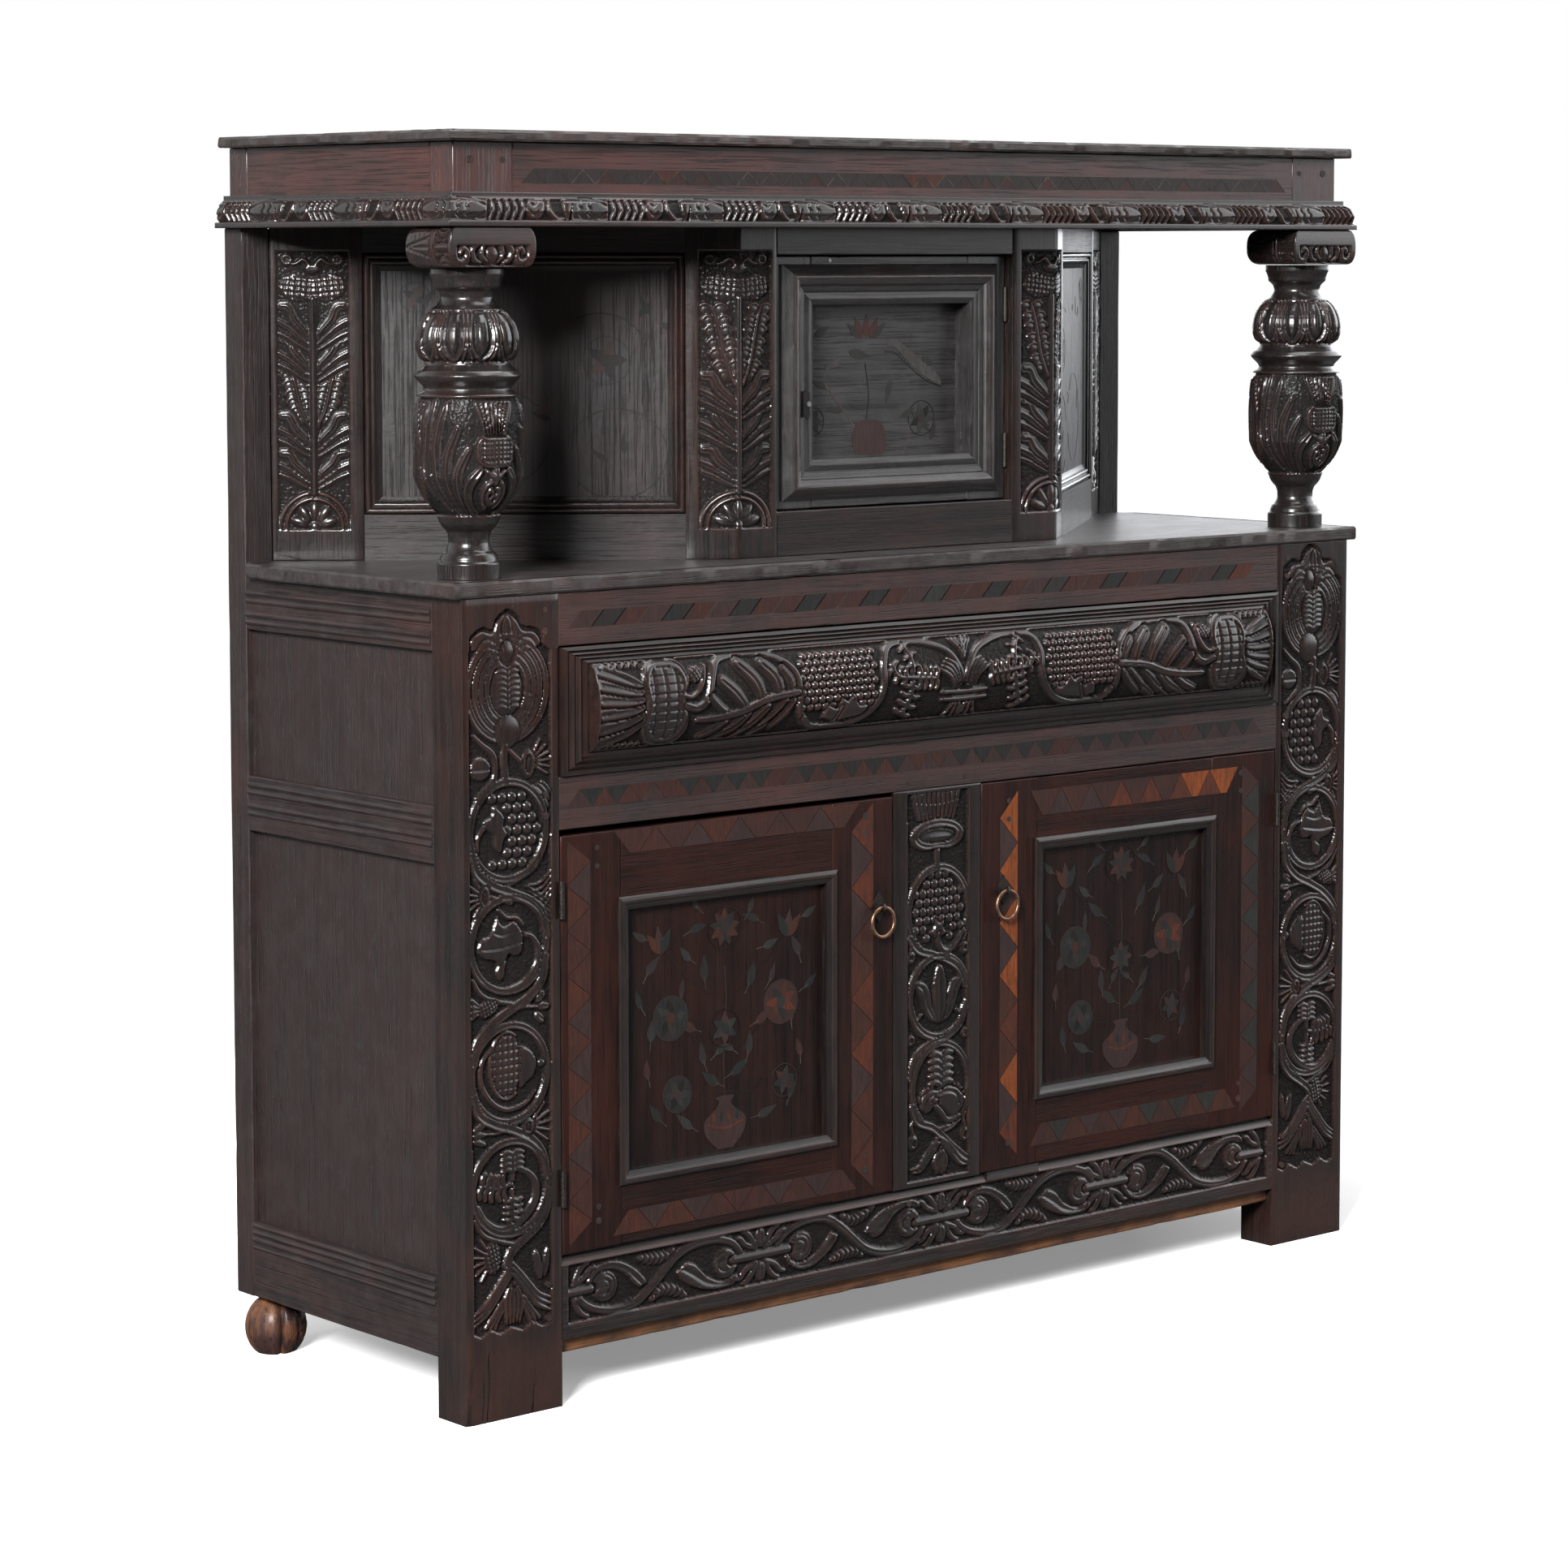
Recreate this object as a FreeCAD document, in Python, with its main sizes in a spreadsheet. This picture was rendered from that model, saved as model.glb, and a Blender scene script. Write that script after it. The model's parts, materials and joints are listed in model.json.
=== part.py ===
import FreeCAD, Part
import os
import re
import sys

import Sketcher

# Joined oak court cupboard: a lower case with two doors under one long drawer, a shelf,
# a smaller canted cupboard standing on the shelf, and a canopy on two turned columns.
# Millimetres. X runs along the front, Y from the front to the back, Z up from the floor.
# The origin is the middle of the footprint at floor level.

SIZES = {
    # whole case
    "case_width": 1510,
    "case_depth": 480,
    "case_height": 966,
    "base_clear": 80,
    "fit_gap": 0.2,
    "cut_over": 5,
    # joints of the frames
    "tenon_length": 40,
    "side_tenon_length": 25,
    "tenon_thick": 10,
    "tenon_shoulder": 9,
    "groove_deep": 7,
    "peg_radius": 4,
    "peg_length": 44,
    # posts
    "stile_width": 140,
    "stile_depth": 57,
    "post_width": 40,
    "post_depth": 38,
    "foot_height": 72,
    "foot_radius": 40,
    # front rails
    "rail_thick": 35,
    "top_rail_height": 63,
    "drawer_opening": 153,
    "middle_rail_height": 63,
    "base_rail_height": 100,
    "muntin_width": 150,
    "muntin_offset": -12,
    "strip_height": 19,
    "strip_thick": 20,
    "strip_setback": 10,
    # side frames
    "side_rail_thick": 30,
    "side_top_height": 64,
    "side_middle_drop": 33,
    "side_middle_height": 68,
    "side_base_z": 72,
    "side_base_height": 95,
    "side_panel_thick": 10,
    # boards
    "shelf_thick": 18,
    "shelf_side_over": 14,
    "shelf_front_over": 6,
    "shelf_nose": 5,
    "floor_thick": 18,
    "back_board_thick": 12,
    "board_gap": 0.6,
    "runner_width": 132,
    "runner_height": 30,
    # lower doors
    "door_gap": 1.5,
    "door_thick": 26,
    "door_panel_set": 9,
    "door_panel_thick": 8,
    "door_moulding_wide": 16,
    "door_moulding_proud": 5,
    "left_door_outer_stile": 84,
    "left_door_inner_stile": 95,
    "left_door_top_rail": 86,
    "left_door_base_rail": 71,
    "right_door_outer_stile": 118,
    "right_door_inner_stile": 93,
    "right_door_top_rail": 78,
    "right_door_base_rail": 83,
    # hinges
    "hinge_height": 44,
    "hinge_leaf_deep": 18,
    "hinge_leaf_thick": 1.2,
    "knuckle_radius": 3.2,
    "hinge_inset": 60,
    "upper_hinge_inset": 42,
    # ring handles
    "ring_rise": 347,
    "ring_radius": 18.5,
    "ring_wire_radius": 2.4,
    "ring_stand": 9,
    "left_ring_inset": 26,
    "right_ring_inset": 39,
    "plate_thick": 1.6,
    "plate_width": 26,
    "plate_height": 40,
    "staple_wire_radius": 1.6,
    "staple_eye_radius": 4.4,
    # drawer
    "drawer_gap": 1.5,
    "drawer_seat_gap": 0.3,
    "drawer_front_thick": 22,
    "drawer_back_gap": 58,
    "drawer_side_thick": 12,
    "drawer_side_height": 118,
    "drawer_board_thick": 8,
    "reed_proud": 8,
    "reed_end_wide": 37,
    "reed_top_wide": 20,
    "reed_base_wide": 26,
    "cushion_proud": 30,
    "cushion_edge": 6,
    # columns
    "column_height": 359,
    "column_radius": 65,
    "column_inset": 50,
    "column_setback": 52,
    "dowel_radius": 12,
    "dowel_length": 8,
    "capital_width": 122,
    "capital_depth": 104,
    "capital_height": 47,
    "capital_plate": 22,
    "volute_radius": 17,
    "capital_core": 76,
    # canopy
    "canopy_inset": 9,
    "canopy_setback": 22,
    "canopy_height": 97,
    "canopy_rail_thick": 35,
    "canopy_side_thick": 30,
    "corner_block_width": 85,
    "corner_block_depth": 44,
    "cornice_height": 39,
    "cornice_proud": 22,
    "top_thick": 13,
    "top_over": 18,
    "top_nose": 4,
    # upper cupboard
    "arris_half": 273,
    "arris_setback": 79,
    "upper_thick": 30,
    "wing_width": 65,
    "left_wing_front": 62,
    "right_wing_front": 81,
    "canted_stile_width": 113,
    "stile_scribe": 40,
    "upper_base_height": 56,
    "canted_panel_top": 376,
    "canted_panel_set": 10,
    "canted_panel_thick": 9,
    "upper_door_height": 317,
    "upper_door_set": 14,
    "upper_door_thick": 32,
    "upper_door_stile": 66,
    "upper_door_rail": 60,
    "upper_panel_set": 23,
    "upper_panel_thick": 6,
    "upper_moulding_wide": 50,
    "upper_moulding_proud": 13,
}

# Places worked out from the sizes.
PLACES = {
    "half_width": "case_width / 2",
    "front_y": "(cushion_proud - case_depth) / 2",
    "back_y": "front_y + case_depth",
    "inner_x": "half_width - stile_width",
    "post_x": "half_width - post_width",
    "post_y": "back_y - post_depth",
    "shelf_z": "case_height + shelf_thick",
    "top_rail_z": "case_height - top_rail_height",
    "drawer_z": "top_rail_z - drawer_opening",
    "middle_rail_z": "drawer_z - middle_rail_height",
    "side_middle_z": "middle_rail_z - side_middle_drop",
    "drawer_length": "case_depth - back_board_thick - drawer_back_gap",
    "door_z": "base_clear + base_rail_height",
    "ring_drop_z": "door_z + ring_rise",
    "door_opening": "middle_rail_z - door_z",
    "muntin_left": "muntin_offset - muntin_width / 2",
    "muntin_right": "muntin_offset + muntin_width / 2",
    "side_y": "front_y + stile_depth",
    "side_run": "case_depth - stile_depth - post_depth",
    "side_rail_x": "half_width - side_rail_thick",
    "side_panel_x": "half_width - side_rail_thick / 2 - side_panel_thick / 2",
    "back_board_y": "back_y - back_board_thick",
    "capital_z": "shelf_z + column_height",
    "canopy_z": "capital_z + capital_height",
    "top_z": "canopy_z + canopy_height",
    "column_x": "half_width - column_inset",
    "column_y": "front_y + column_setback",
    "canopy_x": "half_width - canopy_inset",
    "canopy_y": "front_y + canopy_setback",
    "block_x": "canopy_x - corner_block_width",
    "rear_block_x": "canopy_x - post_width",
    "block_y": "canopy_y + corner_block_depth",
    "arris_y": "front_y + arris_setback",
    "canted_run_x": "post_x - arris_half",
    "canted_run_y": "post_y - arris_y",
    "canted_run": "sqrt(canted_run_x * canted_run_x + canted_run_y * canted_run_y)",
    "canted_turn": "atan2(canted_run_y; canted_run_x)",
    "canted_bay": "canted_run - wing_width - canted_stile_width",
    "upper_left_x": "left_wing_front - arris_half",
    "upper_right_x": "arris_half - right_wing_front",
    "upper_door_z": "shelf_z + upper_base_height",
    "upper_door_y": "arris_y + upper_door_set",
    "upper_top_z": "upper_door_z + upper_door_height",
}

doc = FreeCAD.newDocument("CourtCupboard")
sheet = doc.addObject("Spreadsheet::Sheet", "Sizes")
for row, (alias, number) in enumerate(SIZES.items(), start=1):
    sheet.set(f"A{row}", alias)
    sheet.set(f"B{row}", str(number))
    sheet.setAlias(f"B{row}", alias)
doc.recompute()

# A name of two or more words in a formula.
WORD = re.compile(r"[a-z]+(?:_[a-z]+)+")
pieces = {}
# How near two coordinates lie when they count as the same.
CLOSE = 1e-4


def spell(text):
    """Turns the plain names in a formula into references to the sheet's cells."""

    def one(found):
        name = found.group(0)
        if name in PLACES:
            return "(" + spell(PLACES[name]) + ")"
        return "Sizes." + name if name in SIZES else name

    return WORD.sub(one, str(text))


def worth(text):
    """The number that a formula gives, for shapes that no primitive makes."""
    result = sheet.evalExpression(spell(text))
    return float(getattr(result, "Value", result))


def bind(thing, **formulas):
    for path, text in formulas.items():
        thing.setExpression(path.replace("__", "."), spell(text))
    return thing


def place(thing, x, y, z):
    return bind(thing, Placement__Base__x=x, Placement__Base__y=y, Placement__Base__z=z)


def vector(x, y, z):
    return FreeCAD.Vector(x, y, z)


def block(name, x, y, z, dx, dy, dz):
    box = doc.addObject("Part::Box", name)
    bind(box, Length=dx, Width=dy, Height=dz)
    return place(box, x, y, z)


def grown(name, x, y, z, dx, dy, dz, gap="fit_gap"):
    """The same block with a clearance all round, used as a cutter."""
    low = [f"{value} - {gap}" for value in (x, y, z)]
    size = [f"{value} + 2 * {gap}" for value in (dx, dy, dz)]
    return block(name, *low, *size)


def rod(name, x, y, z, radius, length, run):
    """A round rod that starts at a point and runs along one axis."""
    turns = {
        "x": FreeCAD.Rotation(vector(0, 1, 0), 90),
        "y": FreeCAD.Rotation(vector(1, 0, 0), -90),
        "z": FreeCAD.Rotation(),
    }
    tube = doc.addObject("Part::Cylinder", name)
    tube.Placement = FreeCAD.Placement(FreeCAD.Vector(), turns[run])
    bind(tube, Radius=radius, Height=length)
    return place(tube, x, y, z)


def union(name, *things):
    if len(things) == 1:
        return things[0]
    fused = doc.addObject("Part::MultiFuse", name)
    fused.Shapes = list(things)
    fused.Refine = True
    return fused


def less(name, base, *tools):
    made = doc.addObject("Part::Cut", name)
    made.Base = base
    made.Tool = union(name + "_cutters", *tools)
    return made


def together(name, *things):
    """Several separate solids that share one node."""
    made = doc.addObject("Part::Compound", name)
    made.Links = list(things)
    return made


def mirrored(name, source):
    """The left-hand twin of a right-hand piece."""
    made = doc.addObject("Part::Mirroring", name)
    made.Source = source
    made.Normal = vector(1, 0, 0)
    return made


def keep(name, piece):
    piece.Label = name
    pieces[name] = piece
    return piece


def built(name, shape):
    """A piece whose shape is made directly."""
    made = doc.addObject("Part::Feature", name)
    made.Shape = shape
    return made


def rail_parts(name, run, x, y, z, dx, dy, dz, reach="tenon_length"):
    """A rail or muntin with a tenon at each end, and the cutter for its two mortises."""
    start = {"x": x, "y": y, "z": z}
    size = {"x": dx, "y": dy, "z": dz}
    thin = {"x": "y", "y": "x", "z": "y"}[run]
    wide = {"x": "z", "y": "z", "z": "x"}[run]
    bar = dict(start)
    bar_size = dict(size)
    bar[run] = f"{start[run]} - {reach}"
    bar_size[run] = f"{size[run]} + 2 * {reach}"
    bar[thin] = f"{start[thin]} + ({size[thin]} - tenon_thick) / 2"
    bar_size[thin] = "tenon_thick"
    bar[wide] = f"{start[wide]} + tenon_shoulder"
    bar_size[wide] = f"{size[wide]} - 2 * tenon_shoulder"
    body = block(name + "_body", x, y, z, dx, dy, dz)
    tenons = block(name + "_tenons", *bar.values(), *bar_size.values())
    mortise = grown(name + "_mortise", *bar.values(), *bar_size.values())
    return union(name, body, tenons), mortise


def panel_parts(name, x, y, z, dx, dy, dz, thin):
    """A panel that fills an opening and enters the grooves round it, and their cutter."""
    low = {"x": x, "y": y, "z": z}
    size = {"x": dx, "y": dy, "z": dz}
    for axis in "xyz":
        if axis != thin:
            low[axis] = f"{low[axis]} - groove_deep"
            size[axis] = f"{size[axis]} + 2 * groove_deep"
    panel = block(name, *low.values(), *size.values())
    groove = grown(name + "_groove", *low.values(), *size.values())
    return panel, groove


# Front frame: three rails between two wide stiles, and a muntin between the doors.
def front_rail(name, low, height):
    return rail_parts(name, "x", "-(inner_x)", "front_y", low, "2 * inner_x", "rail_thick", height)


front_top, top_mortise = front_rail("front_top", "top_rail_z", "top_rail_height")
front_middle, middle_mortise = front_rail("front_middle", "middle_rail_z", "middle_rail_height")
front_base, base_mortise = front_rail("front_base", "base_clear", "base_rail_height")
muntin, muntin_mortise = rail_parts(
    "muntin", "z", "muntin_left", "front_y", "door_z", "muntin_width", "rail_thick", "door_opening"
)

# Pegs through the stiles and tenons, two at each end of each front rail.
peg_share = (0.3, 0.7)
rails = (
    ("top_rail_z", "top_rail_height"),
    ("middle_rail_z", "middle_rail_height"),
    ("base_clear", "base_rail_height"),
)
pegs = []
peg_holes = []
for side in ("-", ""):
    for low, height in rails:
        for share in peg_share:
            spot = (f"{side}(inner_x + tenon_length / 2)", "front_y", f"{low} + {height} * {share}")
            pegs.append(rod("peg", *spot, "peg_radius", "peg_length", "y"))
            peg_holes.append(rod("peg_hole", *spot, "peg_radius + fit_gap", "peg_length + fit_gap", "y"))
keep("frame_pegs", together("pegs", *pegs))
peg_bores = together("peg_bores", *peg_holes)

keep("front_top_rail", less("front_top_bored", front_top, peg_bores))
keep("front_middle_rail", less("front_middle_bored", front_middle, peg_bores, muntin_mortise))
keep("centre_muntin", muntin)

# Side frames: three rails and two panels between the front stile and the rear post.
side_rails = []
side_cutters = []
for name, low, height in (
    ("side_top", "case_height - side_top_height", "side_top_height"),
    ("side_middle", "side_middle_z", "side_middle_height"),
    ("side_base", "side_base_z", "side_base_height"),
):
    rail, mortise = rail_parts(
        name, "y", "side_rail_x", "side_y", low, "side_rail_thick", "side_run", height, "side_tenon_length"
    )
    side_rails.append(rail)
    side_cutters.append(mortise)

side_panels = []
side_grooves = []
for name, low, high in (
    ("side_upper", "side_middle_z + side_middle_height", "case_height - side_top_height"),
    ("side_lower", "side_base_z + side_base_height", "side_middle_z"),
):
    panel, groove = panel_parts(
        name, "side_panel_x", "side_y", low, "side_panel_thick", "side_run", f"({high}) - ({low})", "x"
    )
    side_panels.append(panel)
    side_grooves.append(groove)

side_slots = union("side_slots", *side_grooves)
grooved_rails = [less(rail.Name + "_grooved", rail, side_slots) for rail in side_rails]
right_rails = together("right_rails", *grooved_rails)
right_panels = together("right_panels", *side_panels)
keep("right_side_rails", right_rails)
keep("left_side_rails", mirrored("left_rails", right_rails))
keep("right_side_panels", right_panels)
keep("left_side_panels", mirrored("left_panels", right_panels))

# Cupboard floor, housed in a groove along the back of the base rail.
floor_spot = (
    "-(side_rail_x)",
    "front_y + rail_thick - groove_deep",
    "door_z - floor_thick - fit_gap - groove_deep",
    "2 * side_rail_x",
    "case_depth - back_board_thick - rail_thick + groove_deep",
    "floor_thick",
)
floor_blank = block("floor_blank", *floor_spot)
floor_housing = grown("floor_housing", *floor_spot)

# Stiles and posts.
stile_blank = block(
    "stile_blank", "inner_x", "front_y", "0", "stile_width", "stile_depth", "case_height"
)

# Hinges: a leaf let into the carcase, a leaf let into the door's edge, and a pinned knuckle.
def hinge_parts(name, x, y, z, hand, aside):
    """Case leaf with its lower knuckle and pin, door leaf with its upper knuckle, and the
    recesses for both leaves. The door lies on the side of the joint that hand points to, and
    the pin stands aside from the joint by the given distance, in front of the door."""
    if hand > 0:
        pin_x = f"({x} + {aside})"
        case_x = case_low = f"{x} - hinge_leaf_thick"
        door_x = f"{x} + door_gap"
        door_low = f"{x} + fit_gap"
    else:
        pin_x = case_low = f"({x} - {aside})"
        case_x = x
        door_x = door_low = f"{x} - door_gap - hinge_leaf_thick"
    case_reach = f"hinge_leaf_thick + {aside}"
    door_reach = "hinge_leaf_thick + door_gap - fit_gap"
    pin_y = f"({y} - knuckle_radius - fit_gap)"
    leaf_y = f"{pin_y} - hinge_leaf_thick / 2"
    half = "hinge_height / 2"
    upper = f"{z} + {half} + fit_gap"
    upper_run = f"{half} - fit_gap"
    leaf_size = ("hinge_leaf_thick", "hinge_leaf_deep", "hinge_height")
    trim = "knuckle_radius + fit_gap"

    case_leaf = block(name + "_case_leaf", case_x, leaf_y, z, *leaf_size)
    case_trim = rod(name + "_case_trim", pin_x, pin_y, upper, trim, upper_run, "z")
    case_side = union(
        name + "_case",
        less(name + "_case_cut", case_leaf, case_trim),
        block(name + "_case_tongue", case_low, leaf_y, z, case_reach, "hinge_leaf_thick", half),
        rod(name + "_case_knuckle", pin_x, pin_y, z, "knuckle_radius", half, "z"),
        rod(name + "_pin", pin_x, pin_y, z, "knuckle_radius / 2", "hinge_height", "z"),
    )
    door_blank = union(
        name + "_door_blank",
        block(name + "_door_leaf", door_x, leaf_y, z, *leaf_size),
        block(
            name + "_door_tongue", door_low, leaf_y, upper, door_reach, "hinge_leaf_thick", upper_run
        ),
        rod(name + "_door_knuckle", pin_x, pin_y, upper, "knuckle_radius", upper_run, "z"),
    )
    bore = rod(
        name + "_bore", pin_x, pin_y, z, "knuckle_radius / 2 + fit_gap", "hinge_height + fit_gap", "z"
    )
    low_trim = rod(name + "_low_trim", pin_x, pin_y, z, trim, f"{half} + fit_gap", "z")
    door_side = less(name + "_door", door_blank, bore, low_trim)
    case_recess = grown(name + "_case_recess", case_x, leaf_y, z, *leaf_size)
    door_recess = grown(name + "_door_recess", door_x, leaf_y, z, *leaf_size)
    return case_side, door_side, case_recess, door_recess


def hinge_pair(name, x, y, low, height, inset, hand, aside="0"):
    levels = (f"{low} + {inset}", f"{low} + {height} - {inset} - hinge_height")
    made = [
        hinge_parts(f"{name}_{count}", x, y, level, hand, aside) for count, level in enumerate(levels)
    ]
    return [list(row) for row in zip(*made)]


left_hinges = hinge_pair(
    "left_hinge", "-(inner_x)", "front_y", "door_z", "door_opening", "hinge_inset", 1
)
right_hinges = hinge_pair(
    "right_hinge", "inner_x", "front_y", "door_z", "door_opening", "hinge_inset", -1
)
upper_hinges = hinge_pair(
    "upper_hinge", "upper_right_x", "upper_door_y", "upper_door_z", "upper_door_height",
    "upper_hinge_inset", -1, "(knuckle_radius + fit_gap)",
)
case_leaves = left_hinges[0] + right_hinges[0] + upper_hinges[0]
keep("case_hinge_leaves", together("case_leaves", *case_leaves))
keep("left_door_hinges", together("left_leaves", *left_hinges[1]))
keep("right_door_hinges", together("right_leaves", *right_hinges[1]))
keep("upper_door_hinges", together("upper_leaves", *upper_hinges[1]))

front_mortises = [top_mortise, middle_mortise, base_mortise]
right_stile = less("right_stile_plain", stile_blank, *front_mortises, *side_cutters, side_slots)
left_stile = mirrored("left_stile_plain", right_stile)
keep("front_right_stile", less("right_stile_bored", right_stile, peg_bores, *right_hinges[2]))
keep("front_left_stile", less("left_stile_bored", left_stile, peg_bores, *left_hinges[2]))

post_blank = block(
    "post_blank", "post_x", "post_y", "foot_height", "post_width", "post_depth",
    "canopy_z - foot_height",
)
right_post = less("right_post", post_blank, *side_cutters, side_slots)
keep("rear_right_post", right_post)
keep("rear_left_post", mirrored("left_post", right_post))

# Floor, base rail and the rough strip nailed behind its lower edge.
keep("front_base_rail", less("front_base_bored", front_base, peg_bores, muntin_mortise, floor_housing))
post_room = grown(
    "post_room", "post_x", "post_y", "0", "post_width", "post_depth", "case_height"
)
stile_room = grown(
    "stile_room", "inner_x", "front_y", "0", "stile_width", "stile_depth", "case_height"
)
right_rooms = together("right_rooms", post_room, stile_room)
left_rooms = mirrored("left_rooms", right_rooms)
keep("cupboard_floor", less("floor_fitted", floor_blank, right_rooms, left_rooms))
keep(
    "plinth_strip",
    block(
        "strip", "-(inner_x)", "front_y + strip_setback", "base_clear - strip_height", "2 * inner_x",
        "strip_thick", "strip_height",
    ),
)

def turned(name, shares, height, radius, x, y, z):
    """A turned piece: each row of shares is a height, a radius and how far the curve that
    leads there leaves its chord, outward when positive. Every point is tied to the sheet."""
    body = doc.addObject("PartDesign::Body", name)
    sketch = body.newObject("Sketcher::SketchObject", name + "_outline")
    plane = [item for item in body.Origin.OriginFeatures if item.Role == "XZ_Plane"][0]
    sketch.AttachmentSupport = [(plane, "")]
    sketch.MapMode = "FlatFace"
    tall, wide = worth(height), worth(radius)

    def spot(radius_share, height_share):
        return vector(wide * radius_share, tall * height_share, 0)

    def tie(geometry, point, radius_share, height_share):
        across = sketch.addConstraint(
            Sketcher.Constraint("DistanceX", -1, 1, geometry, point, wide * radius_share)
        )
        sketch.setExpression(f"Constraints[{across}]", spell(f"{radius} * {radius_share}"))
        if height_share:
            up = sketch.addConstraint(
                Sketcher.Constraint("DistanceY", -1, 1, geometry, point, tall * height_share)
            )
            sketch.setExpression(f"Constraints[{up}]", spell(f"{height} * {height_share}"))
        else:
            sketch.addConstraint(Sketcher.Constraint("PointOnObject", geometry, point, -1))

    def join(first, first_point, second, second_point):
        sketch.addConstraint(
            Sketcher.Constraint("Coincident", first, first_point, second, second_point)
        )

    low_share, first_share, _ = shares[0]
    edge = sketch.addGeometry(Part.LineSegment(vector(0, 0, 0), spot(first_share, low_share)))
    join(edge, 1, -1, 1)
    tie(edge, 2, first_share, low_share)
    last = (edge, 2)
    for before, after in zip(shares, shares[1:]):
        start, end = spot(before[1], before[0]), spot(after[1], after[0])
        bulge = after[2]
        if bulge:
            middle_radius = (before[1] + after[1]) / 2 + bulge
            middle_height = (before[0] + after[0]) / 2
            middle = spot(middle_radius, middle_height)
            edge = sketch.addGeometry(Part.Arc(start, middle, end))
            near = 1 if sketch.getPoint(edge, 1).distanceToPoint(start) < CLOSE else 2
            on_curve = sketch.addGeometry(Part.Point(middle), True)
            join(edge, near, *last)
            tie(edge, 3 - near, after[1], after[0])
            tie(on_curve, 1, middle_radius, middle_height)
            sketch.addConstraint(Sketcher.Constraint("PointOnObject", on_curve, 1, edge))
        else:
            near = 1
            edge = sketch.addGeometry(Part.LineSegment(start, end))
            join(edge, 1, *last)
            tie(edge, 2, after[1], after[0])
        last = (edge, 3 - near)
    top = sketch.addGeometry(Part.LineSegment(end, spot(0, shares[-1][0])))
    join(top, 1, *last)
    sketch.addConstraint(Sketcher.Constraint("Horizontal", top))
    sketch.addConstraint(Sketcher.Constraint("PointOnObject", top, 2, -2))
    axis = sketch.addGeometry(Part.LineSegment(spot(0, shares[-1][0]), vector(0, 0, 0)))
    join(axis, 1, top, 2)
    join(axis, 2, -1, 1)
    spin = body.newObject("PartDesign::Revolution", name + "_turning")
    spin.Profile = sketch
    spin.ReferenceAxis = (sketch, ["V_Axis"])
    spin.Angle = 360
    return place(body, x, y, z)


# Rear feet: turned buns under the posts, each row a height share and radius share.
foot_shares = ((0.0, 0.5, 0), (0.86, 0.62, 0.44), (1.0, 0.46, 0))
right_foot = turned(
    "right_foot", foot_shares, "foot_height", "foot_radius", "half_width - foot_radius + canopy_inset",
    "back_y - foot_radius", "0",
)
keep("rear_feet", together("feet", right_foot, mirrored("left_foot", right_foot)))

# Shelf: one wide board with a rounded nose, cut back round the rear posts.
shelf_blank = block(
    "shelf_blank", "-(half_width + shelf_side_over)", "front_y - shelf_front_over", "case_height",
    "case_width + 2 * shelf_side_over", "case_depth + shelf_front_over", "shelf_thick",
)
shelf_room = block(
    "shelf_room", "post_x", "post_y", "case_height - cut_over", "post_width + shelf_side_over + cut_over",
    "post_depth + cut_over", "shelf_thick + 2 * cut_over",
)
shelf_fitted = less("shelf_fitted", shelf_blank, shelf_room, mirrored("left_shelf_room", shelf_room))
doc.recompute()


def level_edges(shape, level, low_y, half):
    """The numbers of the straight edges at one height along the front and the two ends."""
    found = []
    for number, edge in enumerate(shape.Edges, start=1):
        box = edge.BoundBox
        flat = abs(box.ZMin - level) < CLOSE and abs(box.ZMax - level) < CLOSE
        at_front = abs(box.YMax - low_y) < CLOSE
        at_end = abs(abs(box.Center.x) - half) < CLOSE and box.XLength < CLOSE
        if flat and (at_front or at_end):
            found.append(number)
    return found


def nosed(name, board, low, high, low_y, half, radius):
    """Rounds the top and bottom of a board's front and end edges."""
    made = doc.addObject("Part::Fillet", name)
    made.Base = board
    numbers = level_edges(board.Shape, low, low_y, half) + level_edges(board.Shape, high, low_y, half)
    made.Edges = [(number, radius, radius) for number in numbers]
    return made


# Back boards of the lower case and of the upper cupboard, laid level between the posts.
def stacked_boards(name, low, height, count):
    boards = []
    pitch = f"({height}) / {count}"
    for number in range(count):
        boards.append(
            block(
                f"{name}_{number}", "-(post_x)", "back_board_y", f"{low} + {number} * {pitch}",
                "2 * post_x", "back_board_thick", f"{pitch} - board_gap",
            )
        )
    return together(name, *boards)


keep("lower_back_boards", stacked_boards("lower_boards", "side_base_z", "case_height - side_base_z", 3))
keep("upper_back_boards", stacked_boards("upper_boards", "shelf_z", "canopy_z - (shelf_z)", 2))

# Drawer runners: one along each side, from the middle rail to the back boards.
runner = block(
    "runner", "side_rail_x - runner_width", "front_y + rail_thick", "drawer_z - runner_height",
    "runner_width", "case_depth - rail_thick - back_board_thick", "runner_height",
)
runner_fitted = less("runner_fitted", runner, stile_room, post_room)
keep("drawer_runners", together("runners", runner_fitted, mirrored("left_runner", runner_fitted)))

# Drawer: a plain box behind a wide front, with a reeded border and a carved cushion.
drawer_x = "inner_x - drawer_gap"
drawer_low = "drawer_z + drawer_seat_gap"
drawer_tall = "drawer_opening - drawer_gap - drawer_seat_gap"
box_y = "front_y + drawer_front_thick"
keep(
    "drawer_front",
    block(
        "drawer_face", f"-({drawer_x})", "front_y", drawer_low, f"2 * ({drawer_x})",
        "drawer_front_thick", drawer_tall,
    ),
)
drawer_side = block(
    "drawer_side", f"{drawer_x} - drawer_side_thick", box_y, drawer_low, "drawer_side_thick",
    "drawer_length - drawer_front_thick", "drawer_side_height",
)
drawer_back = block(
    "drawer_back", f"-({drawer_x} - drawer_side_thick)",
    "front_y + drawer_length - drawer_side_thick", drawer_low,
    f"2 * ({drawer_x} - drawer_side_thick)", "drawer_side_thick", "drawer_side_height",
)
left_drawer_side = mirrored("left_drawer_side", drawer_side)
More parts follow.
